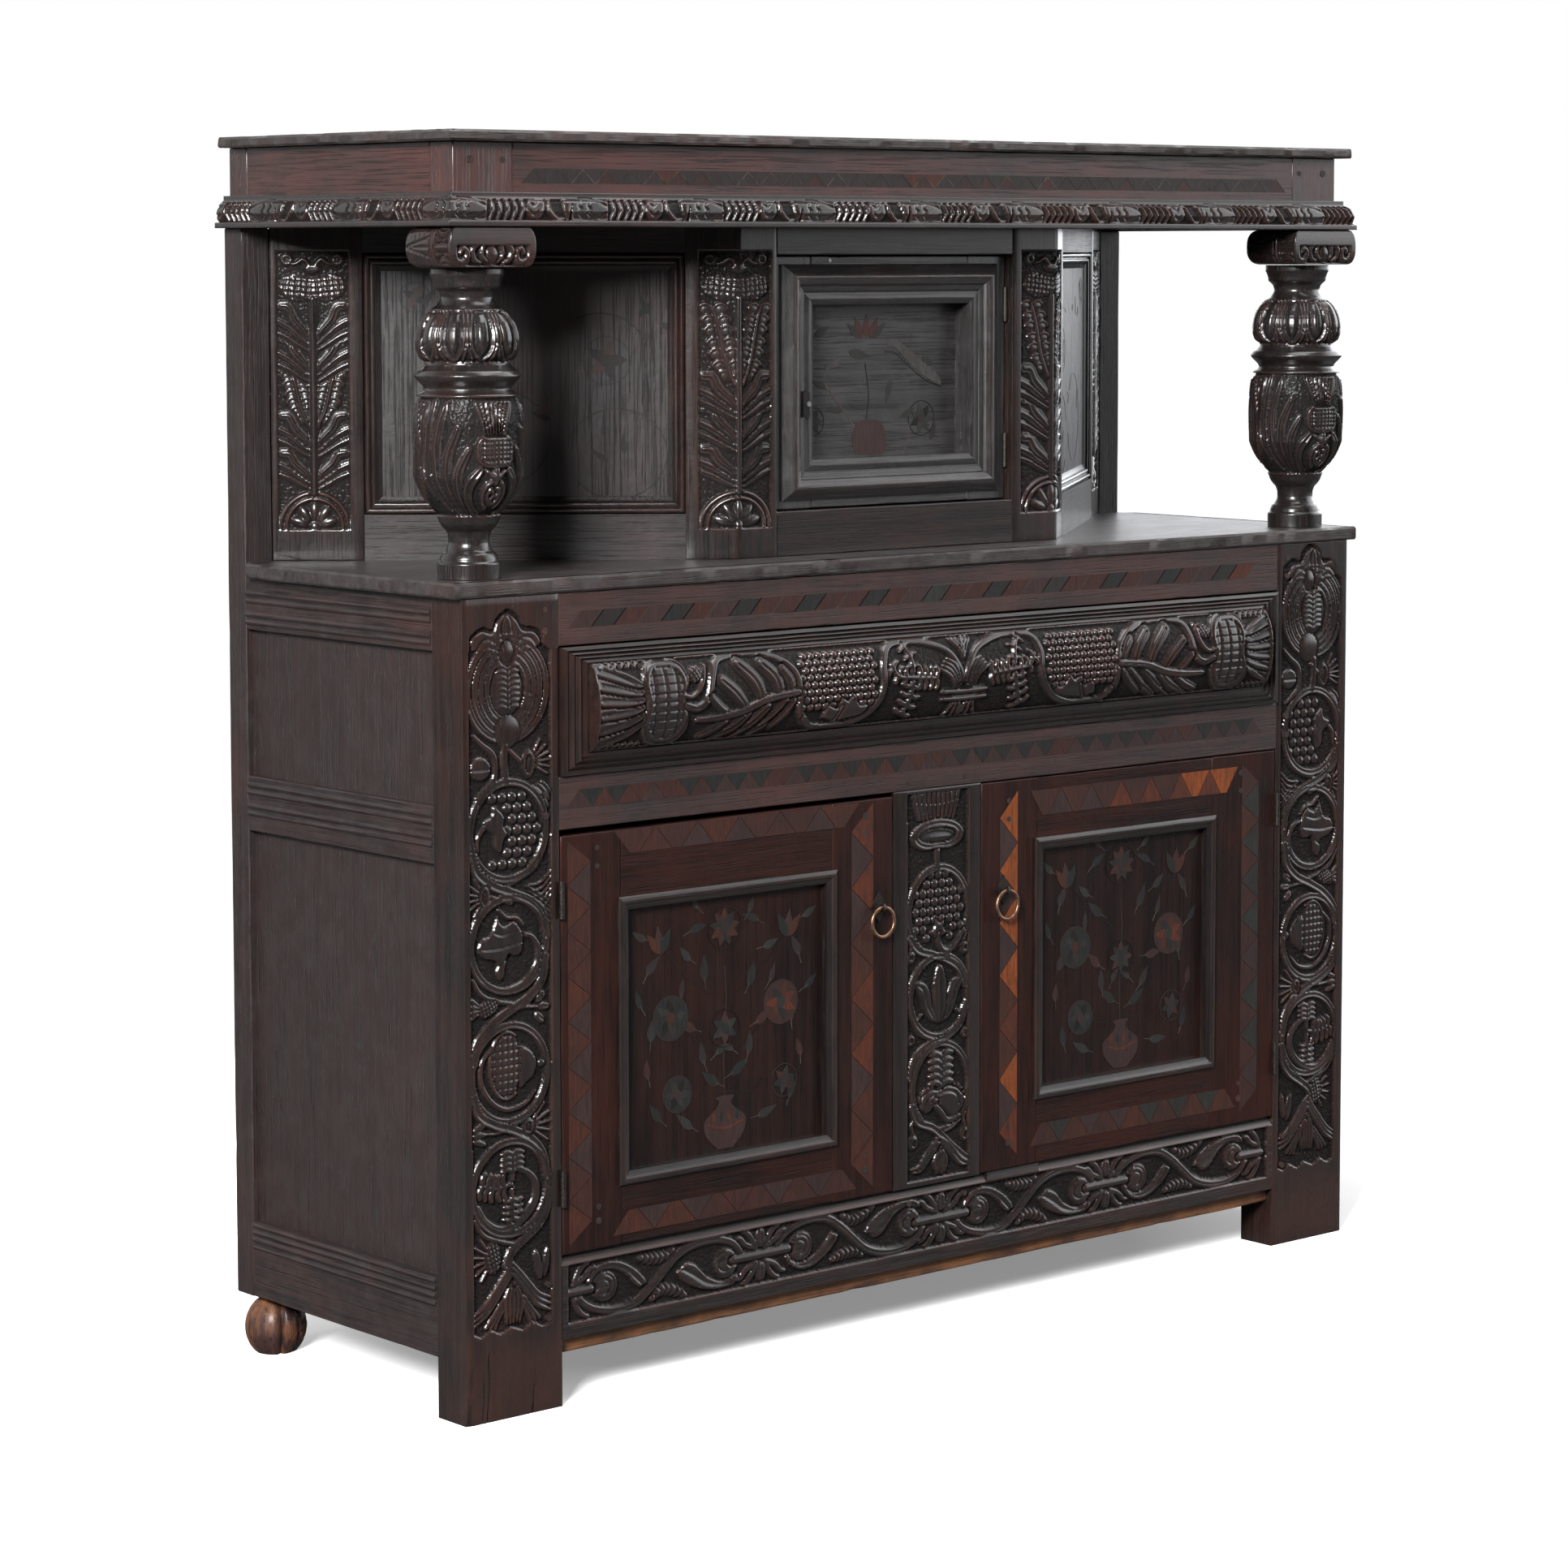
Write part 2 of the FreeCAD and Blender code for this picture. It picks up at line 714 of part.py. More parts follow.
keep("drawer_box_boards", together("drawer_boards", drawer_side, left_drawer_side, drawer_back))
keep(
    "drawer_bottom",
    block(
        "drawer_floor", f"-({drawer_x} - drawer_side_thick)", box_y,
        f"{drawer_low} + drawer_board_thick", f"2 * ({drawer_x} - drawer_side_thick)",
        "drawer_length - drawer_front_thick - drawer_side_thick", "drawer_board_thick",
    ),
)


def flat_face(points):
    return Part.Face(Part.makePolygon(list(points) + [points[0]]))


def length_between(starts, ends):
    """A straight length of moulding between two matching sections."""
    faces = [flat_face(starts), flat_face(ends)]
    for here, _ in enumerate(starts):
        before = here - 1
        faces.append(flat_face([starts[before], starts[here], ends[here], ends[before]]))
    shell = Part.Shell(faces)
    shell.sewShape()
    solid = Part.Solid(shell)
    if solid.Volume < 0:
        solid.reverse()
    return solid


def mitred(loops):
    """Four mitred lengths round a rectangle: each loop holds one section point's corners."""
    lengths = []
    for side in range(4):
        ends = (side, (side + 1) % 4)
        lengths.append(length_between(*[[loop[corner] for loop in loops] for corner in ends]))
    return Part.makeCompound(lengths)


def corners(x_low, x_high, y, z_low, z_high):
    return [
        vector(x_low, y, z_low),
        vector(x_high, y, z_low),
        vector(x_high, y, z_high),
        vector(x_low, y, z_high),
    ]


# The reeded border: inward and outward shares of its width and its height off the face.
reed_shares = ((0, 0), (0, 0.5), (0.22, 0.7), (0.26, 0.5), (0.5, 0.85), (0.54, 0.65), (1, 1), (1, 0))


def reeded_border():
    half = worth(drawer_x)
    low = worth(drawer_low)
    high = low + worth(drawer_tall)
    face = worth("front_y")
    end, above, below = worth("reed_end_wide"), worth("reed_top_wide"), worth("reed_base_wide")
    proud = worth("reed_proud")
    loops = []
    for share, lift in reed_shares:
        x = half - end * share
        loops.append(corners(-x, x, face - proud * lift, low + below * share, high - above * share))
    return mitred(loops)


keep("drawer_moulding", built("reeds", reeded_border()))


def cushion_shape():
    """The drawer's pulvinated frieze: a low swelling section run the length of the drawer."""
    half = worth(f"{drawer_x} - reed_end_wide")
    low = worth(f"{drawer_low} + reed_base_wide")
    high = worth(f"{drawer_low} + {drawer_tall} - reed_top_wide")
    face = worth("front_y")
    edge = face - worth("cushion_edge")
    crown = face - worth("cushion_proud")
    middle = (low + high) / 2
    low_edge, high_edge = vector(-half, edge, low), vector(-half, edge, high)
    low_back, high_back = vector(-half, face, low), vector(-half, face, high)
    outline = [
        Part.LineSegment(low_back, low_edge),
        Part.Arc(low_edge, vector(-half, crown, middle), high_edge),
        Part.LineSegment(high_edge, high_back),
        Part.LineSegment(high_back, low_back),
    ]
    wire = Part.Wire([line.toShape() for line in outline])
    return Part.Face(wire).extrude(vector(2 * half, 0, 0))


keep("drawer_cushion", built("cushion", cushion_shape()))


# Framed doors: two stiles, two tenoned rails, a panel in grooves and a mitred moulding.
def door_parts(name, x, y, z, dx, dz, thick, widths, panel_set, panel_thick):
    """Members, panel and panel bay of a door. widths are those of its left and right stiles
    and its top and base rails."""
    left_wide, right_wide, top_wide, base_wide = widths
    left = block(name + "_left", x, y, z, left_wide, thick, dz)
    right = block(name + "_right", f"{x} + {dx} - {right_wide}", y, z, right_wide, thick, dz)
    bay_x, bay_dx = f"{x} + {left_wide}", f"{dx} - {left_wide} - {right_wide}"
    bay_z, bay_dz = f"{z} + {base_wide}", f"{dz} - {base_wide} - {top_wide}"
    base, base_slot = rail_parts(name + "_base", "x", bay_x, y, z, bay_dx, thick, base_wide)
    top, top_slot = rail_parts(
        name + "_top", "x", bay_x, y, f"{z} + {dz} - {top_wide}", bay_dx, thick, top_wide
    )
    panel, groove = panel_parts(
        name + "_panel", bay_x, f"{y} + {panel_set}", bay_z, bay_dx, panel_thick, bay_dz, "y"
    )
    members = [
        less(name + "_left_fit", left, base_slot, top_slot, groove),
        less(name + "_right_fit", right, base_slot, top_slot, groove),
        less(name + "_base_fit", base, groove),
        less(name + "_top_fit", top, groove),
    ]
    bay = (bay_x, f"{bay_x} + {bay_dx}", bay_z, f"{bay_z} + {bay_dz}", y)
    return members, panel, bay


# Sections of the door mouldings: inward and outward shares of their width and height.
door_moulding_shares = ((0, 0.5), (0.12, 0.85), (0.3, 1), (0.5, 0.95), (0.62, 0.6), (1, 0.12))
upper_moulding_shares = (
    (0, 0.22), (0.1, 0.5), (0.26, 0.94), (0.36, 1), (0.5, 0.72), (0.54, 0.5), (0.66, 0.42),
    (0.7, 0.3), (0.86, 0.42), (1, 0.22),
)


def door_moulding(bay, outer, wide, proud, sunk, shares):
    """Mitred lengths planted round a panel, standing proud of the frame's face. outer is how
    far outside the bay they start, and sunk how far behind the face their back lies."""
    x_low, x_high, z_low, z_high, y = [worth(value) for value in bay]
    across, width, height, depth = worth(outer), worth(wide), worth(proud), worth(sunk)

    def loop(inward, lift):
        return corners(
            x_low - across + inward, x_high + across - inward, y - lift, z_low - across + inward,
            z_high + across - inward,
        )

    loops = [loop(width * inward, height * lift) for inward, lift in shares]
    loops.append(loop(width, -depth))
    loops.append(loop(0, -depth))
    return mitred(loops)


def hung_door(name, x, dx, hand, widths, hinges):
    y, z, dz = "front_y", "door_z + door_gap", "(door_opening - 2 * door_gap)"
    members, panel, bay = door_parts(
        name, x, y, z, dx, dz, "door_thick", widths, "door_panel_set", "door_panel_thick"
    )
    outer = 0 if hand > 0 else 1
    members[outer] = less(name + "_hinge_side", members[outer], *hinges[3])
    keep(name + "_frame", together(name + "_members", *members))
    keep(name + "_panel", panel)
    ring = door_moulding(
        bay, "0", "door_moulding_wide", "door_moulding_proud", "door_panel_set", door_moulding_shares
    )
    keep(name + "_moulding", built(name + "_ring", ring))


hung_door(
    "left_door", "-(inner_x) + door_gap", "(muntin_left + inner_x - 2 * door_gap)", 1,
    ("left_door_outer_stile", "left_door_inner_stile", "left_door_top_rail", "left_door_base_rail"),
    left_hinges,
)
hung_door(
    "right_door", "muntin_right + door_gap", "(inner_x - (muntin_right) - 2 * door_gap)", -1,
    (
        "right_door_inner_stile", "right_door_outer_stile", "right_door_top_rail",
        "right_door_base_rail",
    ),
    right_hinges,
)


# Ring handles: a lozenge plate and staple on the door, and a ring that swings in the staple.
def handle(side, x):
    pivot_z = "ring_drop_z + ring_radius"
    ring_y = "front_y - ring_stand"
    centre = vector(worth(x), worth("front_y"), worth(pivot_z))
    across = vector(worth("plate_width / 2"), 0, 0)
    up = vector(0, 0, worth("plate_height / 2"))
    points = [centre + up, centre + across, centre - up, centre - across]
    lozenge = flat_face(points).extrude(vector(0, -worth("plate_thick"), 0))
    eye = doc.addObject("Part::Torus", side + "_eye")
    eye.Placement = FreeCAD.Placement(vector(0, 0, 0), FreeCAD.Rotation(vector(0, 1, 0), 90))
    bind(eye, Radius1="staple_eye_radius", Radius2="staple_wire_radius")
    place(eye, x, ring_y, pivot_z)
    shank = rod(
        side + "_shank", x, f"{ring_y} + staple_eye_radius", pivot_z, "staple_wire_radius",
        "ring_stand - staple_eye_radius", "y",
    )
    keep(side + "_handle_plate", union(side + "_staple", built(side + "_lozenge", lozenge), eye, shank))
    ring = doc.addObject("Part::Torus", side + "_ring_bar")
    ring.Placement = FreeCAD.Placement(vector(0, 0, 0), FreeCAD.Rotation(vector(1, 0, 0), 90))
    bind(ring, Radius1="ring_radius", Radius2="ring_wire_radius")
    keep(side + "_ring", place(ring, x, ring_y, "ring_drop_z"))


handle("left", "muntin_left - left_ring_inset")
handle("right", "muntin_right + right_ring_inset")

# Columns: each row is a height share, a radius share and the curve's departure from its chord.
column_shares = (
    (0.000, 0.57, 0),
    (0.052, 0.57, 0),
    (0.058, 0.52, 0),
    (0.086, 0.46, 0.02),
    (0.124, 0.37, -0.03),
    (0.160, 0.43, -0.02),
    (0.195, 0.55, 0.02),
    (0.209, 0.59, 0),
    (0.330, 0.98, 0.05),
    (0.506, 1.00, 0.004),
    (0.596, 0.90, 0.015),
    (0.612, 0.78, -0.02),
    (0.640, 0.90, -0.02),
    (0.655, 0.96, 0),
    (0.672, 0.90, 0),
    (0.697, 0.75, -0.03),
    (0.714, 0.87, 0),
    (0.752, 0.92, 0.02),
    (0.874, 0.58, 0.12),
    (0.900, 0.48, -0.015),
    (0.928, 0.53, -0.02),
    (0.940, 0.60, 0),
    (0.975, 0.66, -0.015),
    (1.000, 0.66, 0),
)
shaft = turned("shaft", column_shares, "column_height", "column_radius", "column_x", "column_y", "shelf_z")
dowels = rod(
    "dowels", "column_x", "column_y", "shelf_z - dowel_length", "dowel_radius",
    "column_height + 2 * dowel_length", "z",
)
dowel_bores = rod(
    "dowel_bores", "column_x", "column_y", "shelf_z - dowel_length - fit_gap", "dowel_radius + fit_gap",
    "column_height + 2 * dowel_length + 2 * fit_gap", "z",
)
right_column = union("right_column", shaft, dowels)
keep("right_column", right_column)
keep("left_column", mirrored("left_shaft", right_column))

# Capitals: a plate over two scrolls that run from front to back.
capital_parts = [
    block(
        "capital_top", "column_x - capital_width / 2", "front_y", "canopy_z - capital_plate",
        "capital_width", "capital_depth", "capital_plate",
    ),
    block(
        "capital_middle", "column_x - capital_core / 2", "front_y", "capital_z", "capital_core",
        "capital_depth", "capital_height - capital_plate",
    ),
]
for hand in ("-", "+"):
    capital_parts.append(
        rod(
            "volute", f"column_x {hand} (capital_width / 2 - volute_radius)", "front_y",
            "capital_z + volute_radius", "volute_radius", "capital_depth", "y",
        )
    )
right_capital = less("capital_bored", union("capital_blank", *capital_parts), dowel_bores)
keep("right_capital", right_capital)
keep("left_capital", mirrored("left_scrolls", right_capital))

shelf_bored = less("shelf_bored", shelf_fitted, dowel_bores, mirrored("left_dowel_bores", dowel_bores))
doc.recompute()
keep(
    "shelf_board",
    nosed(
        "shelf_nosed", shelf_bored, worth("case_height"), worth("shelf_z"),
        worth("front_y - shelf_front_over"), worth("half_width + shelf_side_over"), worth("shelf_nose"),
    ),
)

# Canopy: a framed border on blocks over the columns and the rear posts.
canopy_front, canopy_front_mortise = rail_parts(
    "canopy_front", "x", "-(block_x)", "canopy_y", "canopy_z", "2 * (block_x)", "canopy_rail_thick",
    "canopy_height",
)
canopy_back, canopy_back_mortise = rail_parts(
    "canopy_back", "x", "-(rear_block_x)", "back_board_y", "canopy_z", "2 * (rear_block_x)",
    "back_board_thick", "canopy_height", "side_tenon_length",
)
canopy_side, canopy_side_mortise = rail_parts(
    "canopy_side", "y", "canopy_x - canopy_side_thick", "block_y", "canopy_z", "canopy_side_thick",
    "post_y - (block_y)", "canopy_height", "side_tenon_length",
)
front_block = less(
    "front_block",
    block(
        "front_block_blank", "block_x", "canopy_y", "canopy_z", "corner_block_width",
        "corner_block_depth", "canopy_height",
    ),
    canopy_front_mortise,
    canopy_side_mortise,
)
rear_block = less(
    "rear_block",
    block(
        "rear_block_blank", "rear_block_x", "post_y", "canopy_z", "post_width", "post_depth",
        "canopy_height",
    ),
    canopy_back_mortise,
    canopy_side_mortise,
)
keep("canopy_front_rail", canopy_front)
keep("canopy_back_rail", canopy_back)
left_canopy_side = mirrored("left_canopy_side", canopy_side)
keep("canopy_side_rails", together("canopy_sides", canopy_side, left_canopy_side))
keep(
    "canopy_corner_blocks",
    together(
        "corner_blocks", front_block, rear_block, mirrored("left_front_block", front_block),
        mirrored("left_rear_block", rear_block),
    ),
)

# Cornice: outward and upward shares of its section, from the wall round to the wall.
cornice_shares = (
    (0, 0), (1, 0), (1, 0.16), (0.8, 0.2), (0.9, 0.45), (0.72, 0.72), (0.4, 0.86), (0.4, 1), (0, 1),
)


def cornice_section(corner_x, corner_y, side, front):
    """The section at one end: side and front say which way each end moves as it steps out."""
    proud, tall, low = worth("cornice_proud"), worth("cornice_height"), worth("canopy_z")
    return [
        vector(corner_x + side * proud * out, corner_y - front * proud * out, low + tall * up)
        for out, up in cornice_shares
    ]


frieze_x, frieze_y, rear_y = worth("canopy_x"), worth("canopy_y"), worth("back_y")
right_mitre = cornice_section(frieze_x, frieze_y, 1, 1)
left_mitre = cornice_section(-frieze_x, frieze_y, -1, 1)
keep("cornice_front", built("front_cornice", length_between(left_mitre, right_mitre)))
right_cornice = built(
    "right_cornice", length_between(right_mitre, cornice_section(frieze_x, rear_y, 1, 0))
)
keep("cornice_sides", together("side_cornices", right_cornice, mirrored("left_cornice", right_cornice)))

top_blank = block(
    "top_blank", "-(canopy_x + top_over)", "canopy_y - top_over", "top_z", "2 * (canopy_x + top_over)",
    "back_y - (canopy_y) + top_over", "top_thick",
)
doc.recompute()
keep(
    "top_board",
    nosed(
        "top_nosed", top_blank, worth("top_z"), worth("top_z + top_thick"), worth("canopy_y - top_over"),
        worth("canopy_x + top_over"), worth("top_nose"),
    ),
)


# Upper cupboard: its canted frames are laid out straight and then swung into place.
def swung(name, *things):
    made = together(name, *things)
    bind(made, Placement__Rotation__Angle="canted_turn")
    return place(made, "arris_half", "arris_y", "0")


canted_top_z = "shelf_z + canted_panel_top"
canted_base, canted_base_mortise = rail_parts(
    "canted_base", "x", "wing_width", "0", "shelf_z", "canted_bay", "upper_thick", "upper_base_height"
)
canted_top, canted_top_mortise = rail_parts(
    "canted_top", "x", "wing_width", "0", canted_top_z, "canted_bay", "upper_thick",
    f"(top_z - ({canted_top_z}))",
)
canted_panel, canted_groove = panel_parts(
    "canted_panel", "wing_width", "canted_panel_set", "shelf_z + upper_base_height", "canted_bay",
    "canted_panel_thick", "(canted_panel_top - upper_base_height)", "y",
)
canted_cutters = (canted_base_mortise, canted_top_mortise, canted_groove)
right_canted_rails = swung(
    "right_canted_rails", less("canted_base_grooved", canted_base, canted_groove),
    less("canted_top_grooved", canted_top, canted_groove),
)
left_canted_rails = mirrored("left_canted_rails", right_canted_rails)
keep("canted_rails", together("all_canted_rails", right_canted_rails, left_canted_rails))
right_canted_panel = swung("right_swung_panel", canted_panel)
keep("right_canted_panel", right_canted_panel)
keep("left_canted_panel", mirrored("left_swung_panel", right_canted_panel))

canted_stile = block(
    "canted_stile", "canted_run - canted_stile_width", "0", "shelf_z", "canted_stile_width + stile_scribe",
    "upper_thick", "top_z - shelf_z",
)
post_zone = block(
    "post_zone", "post_x", "post_y", "shelf_z", "2 * post_width", "2 * post_depth", "top_z - shelf_z"
)
block_zone = block(
    "block_zone", "rear_block_x", "post_y", "canopy_z", "2 * post_width", "2 * post_depth", "canopy_height"
)
back_zone = block(
    "back_zone", "0", "back_board_y", "shelf_z", "case_width", "2 * post_depth", "top_z - shelf_z"
)
canted_stile_mortised = less("canted_stile_mortised", canted_stile, *canted_cutters)
right_canted_stile = less(
    "right_canted_stile", swung("stile_swung", canted_stile_mortised), post_zone, block_zone, back_zone
)
left_canted_stile = mirrored("left_canted_stile", right_canted_stile)
keep("canted_stiles", together("both_canted_stiles", right_canted_stile, left_canted_stile))

upper_base, upper_base_mortise = rail_parts(
    "upper_base", "x", "upper_left_x", "arris_y", "shelf_z", "upper_right_x - (upper_left_x)",
    "upper_thick", "upper_base_height",
)
upper_top, upper_top_mortise = rail_parts(
    "upper_top", "x", "upper_left_x", "arris_y", "upper_top_z", "upper_right_x - (upper_left_x)",
    "upper_thick", "(top_z - (upper_top_z))",
)
keep("upper_front_rails", together("upper_rails", upper_base, upper_top))


def canted_post(name, front_wide):
    """Post at the cupboard's front arris, one wing along the front and one along the canted side."""
    front_wing = block(
        name + "_front_wing", f"arris_half - {front_wide}", "arris_y", "shelf_z", front_wide,
        "upper_thick", "top_z - shelf_z",
    )
    side_wing = block(
        name + "_side_wing", "0", "0", "shelf_z", "wing_width", "upper_thick", "top_z - shelf_z"
    )
    mortised = less(name + "_mortised", side_wing, *canted_cutters)
    return union(name + "_blank", front_wing, swung(name + "_swung", mortised))


right_wings = canted_post("right_wing", "right_wing_front")
left_wings = mirrored("left_wings", canted_post("left_wing", "left_wing_front"))
upper_mortises = (upper_base_mortise, upper_top_mortise)
keep("right_canted_post", less("right_fitted", right_wings, *upper_mortises, *upper_hinges[2]))
keep("left_canted_post", less("left_fitted", left_wings, *upper_mortises))

upper_members, upper_panel, upper_bay = door_parts(
    "upper_door", "upper_left_x + door_gap", "upper_door_y", "upper_door_z + door_gap",
    "(upper_right_x - (upper_left_x) - 2 * door_gap)", "(upper_door_height - 2 * door_gap)",
    "upper_door_thick", ("upper_door_stile", "upper_door_stile", "upper_door_rail", "upper_door_rail"),
    "upper_panel_set", "upper_panel_thick",
)
upper_members[1] = less("upper_hinge_side", upper_members[1], *upper_hinges[3])
keep("upper_door_frame", together("upper_members", *upper_members))
keep("upper_door_panel", upper_panel)
keep(
    "upper_door_moulding",
    built(
        "upper_ring",
        door_moulding(
            upper_bay, "upper_moulding_wide", "upper_moulding_wide", "upper_moulding_proud", "0",
            upper_moulding_shares,
        ),
    ),
)

doc.recompute()
faults = [
    f"{thing.Name}: {', '.join(thing.State)}"
    for thing in doc.Objects
    if {"Invalid", "Error"} & set(thing.State)
]
for name, piece in pieces.items():
    shape = piece.Shape
    if shape.isNull() or not shape.isValid() or not shape.Solids:
        faults.append(f"{name}: no valid solid")
    elif min(solid.Volume for solid in shape.Solids) < CLOSE:
        faults.append(f"{name}: a solid has no volume")
if faults:
    sys.exit("\n".join(faults))

os.makedirs("parts", exist_ok=True)
for name, piece in sorted(pieces.items()):
    piece.Shape.exportStep(f"parts/{name}.step")
print(len(pieces), "pieces,", sum(len(piece.Shape.Solids) for piece in pieces.values()), "solids")
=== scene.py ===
import json
import math

import bmesh
import bpy
import numpy as np
from mathutils import Matrix, Vector

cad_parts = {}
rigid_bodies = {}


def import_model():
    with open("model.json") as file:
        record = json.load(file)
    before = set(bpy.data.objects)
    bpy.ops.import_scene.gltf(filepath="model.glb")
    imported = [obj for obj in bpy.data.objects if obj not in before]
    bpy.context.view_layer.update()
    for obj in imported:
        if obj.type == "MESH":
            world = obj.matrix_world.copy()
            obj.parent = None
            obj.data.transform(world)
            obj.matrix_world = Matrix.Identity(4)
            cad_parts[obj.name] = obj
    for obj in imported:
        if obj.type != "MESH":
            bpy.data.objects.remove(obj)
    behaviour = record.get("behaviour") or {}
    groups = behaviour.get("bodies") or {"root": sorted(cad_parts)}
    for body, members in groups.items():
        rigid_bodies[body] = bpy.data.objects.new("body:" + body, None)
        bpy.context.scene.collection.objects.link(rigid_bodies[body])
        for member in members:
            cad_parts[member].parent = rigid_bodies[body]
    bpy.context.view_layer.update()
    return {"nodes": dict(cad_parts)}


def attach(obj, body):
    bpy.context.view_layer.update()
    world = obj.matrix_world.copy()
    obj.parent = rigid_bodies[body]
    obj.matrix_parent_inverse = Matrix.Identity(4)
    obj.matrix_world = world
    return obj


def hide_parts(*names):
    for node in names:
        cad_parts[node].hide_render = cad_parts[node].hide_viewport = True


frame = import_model()
nodes = frame["nodes"]

# Front stiles: two wide oak boards that run from the floor to the shelf, sawn plank with a
# sunk field chiselled in the face. The vine and its leaves stand up from a punched ground.
# They were stained, waxed and handled until the high places wore red. The hollows are darker, partly from
# dark wax and partly as painted shade.


class Works:
    """A node tree being written, for a finish or for pieces that follow a rule."""

    def __init__(self, tree, family):
        self.tree, self.family = tree, family

    def node(self, kind, settings=None, sockets=None, out=0):
        made = self.tree.nodes.new(kind if kind.startswith(("Node", "Function")) else self.family + kind)
        for key, value in (settings or {}).items():
            setattr(made, key, value)
        for key, value in (sockets or {}).items():
            if isinstance(value, Socket):
                self.tree.links.new(value.socket, made.inputs[key])
            elif made.inputs[key].type == "RGBA" and len(value) == 3:
                made.inputs[key].default_value = (*value, 1)
            else:
                made.inputs[key].default_value = value
        return Socket(self, made.outputs[out]) if made.outputs else made


class Socket:
    """One socket of a tree. Sums on it add Math nodes."""

    def __init__(self, works, socket):
        self.works, self.socket = works, socket

    def math(self, operation, first, second=0.0):
        made = self.works.tree.nodes.new("ShaderNodeMath")
        made.operation = operation
        for place, value in enumerate((first, second)):
            if isinstance(value, Socket):
                self.works.tree.links.new(value.socket, made.inputs[place])
            else:
                made.inputs[place].default_value = value
        return Socket(self.works, made.outputs[0])

    def __add__(self, other):
        return self.math("ADD", self, other)

    def __mul__(self, other):
        return self.math("MULTIPLY", self, other)

    def __sub__(self, other):
        return self.math("SUBTRACT", self, other)

    def __rsub__(self, other):
        return self.math("SUBTRACT", other, self)

    def __pow__(self, other):
        return self.math("POWER", self, other)

    __radd__, __rmul__ = __add__, __mul__

    def spread(self, low, high):
        """0 at low and below, 1 at high and above."""
        return self.works.node("MapRange", {}, {0: self, 1: low, 2: high, 3: 0.0, 4: 1.0})


class Finish(Works):
    """A material. Its last call is surface, with the values of its shader's sockets."""

    def __init__(self, name):
        self.material = bpy.data.materials.new(name)
        self.material.use_nodes = True
        self.material.node_tree.nodes.clear()
        super().__init__(self.material.node_tree, "ShaderNode")
        self.place = self.node("TexCoord", out=3)

    def mix(self, share, first, second):
        return self.node("Mix", {"data_type": "RGBA"}, {0: share, 6: first, 7: second}, out=2)

    def stretched(self, scale, turn=(0, 0, 0)):
        return self.node("Mapping", {}, {"Vector": self.place, "Scale": scale, "Rotation": turn})

    def noise(self, place, scale, detail=4.0, rough=0.55, bend=0.0):
        sockets = {"Vector": place, "Scale": scale, "Detail": detail, "Roughness": rough, "Distortion": bend}
        return self.node("TexNoise", {}, sockets)

    def kept(self, name):
        """A value that the piece's mesh carries."""
        return self.node("Attribute", {"attribute_name": name}, out=2)

    def bump(self, height, depth, strength):
        return self.node("Bump", {}, {"Height": height, "Distance": depth, "Strength": strength})

    def surface(self, **sockets):
        named = {key.replace("_", " "): value for key, value in sockets.items()}
        shader = self.node("BsdfPrincipled", {}, named)
        self.node("OutputMaterial", {}, {"Surface": shader})
        return self.material


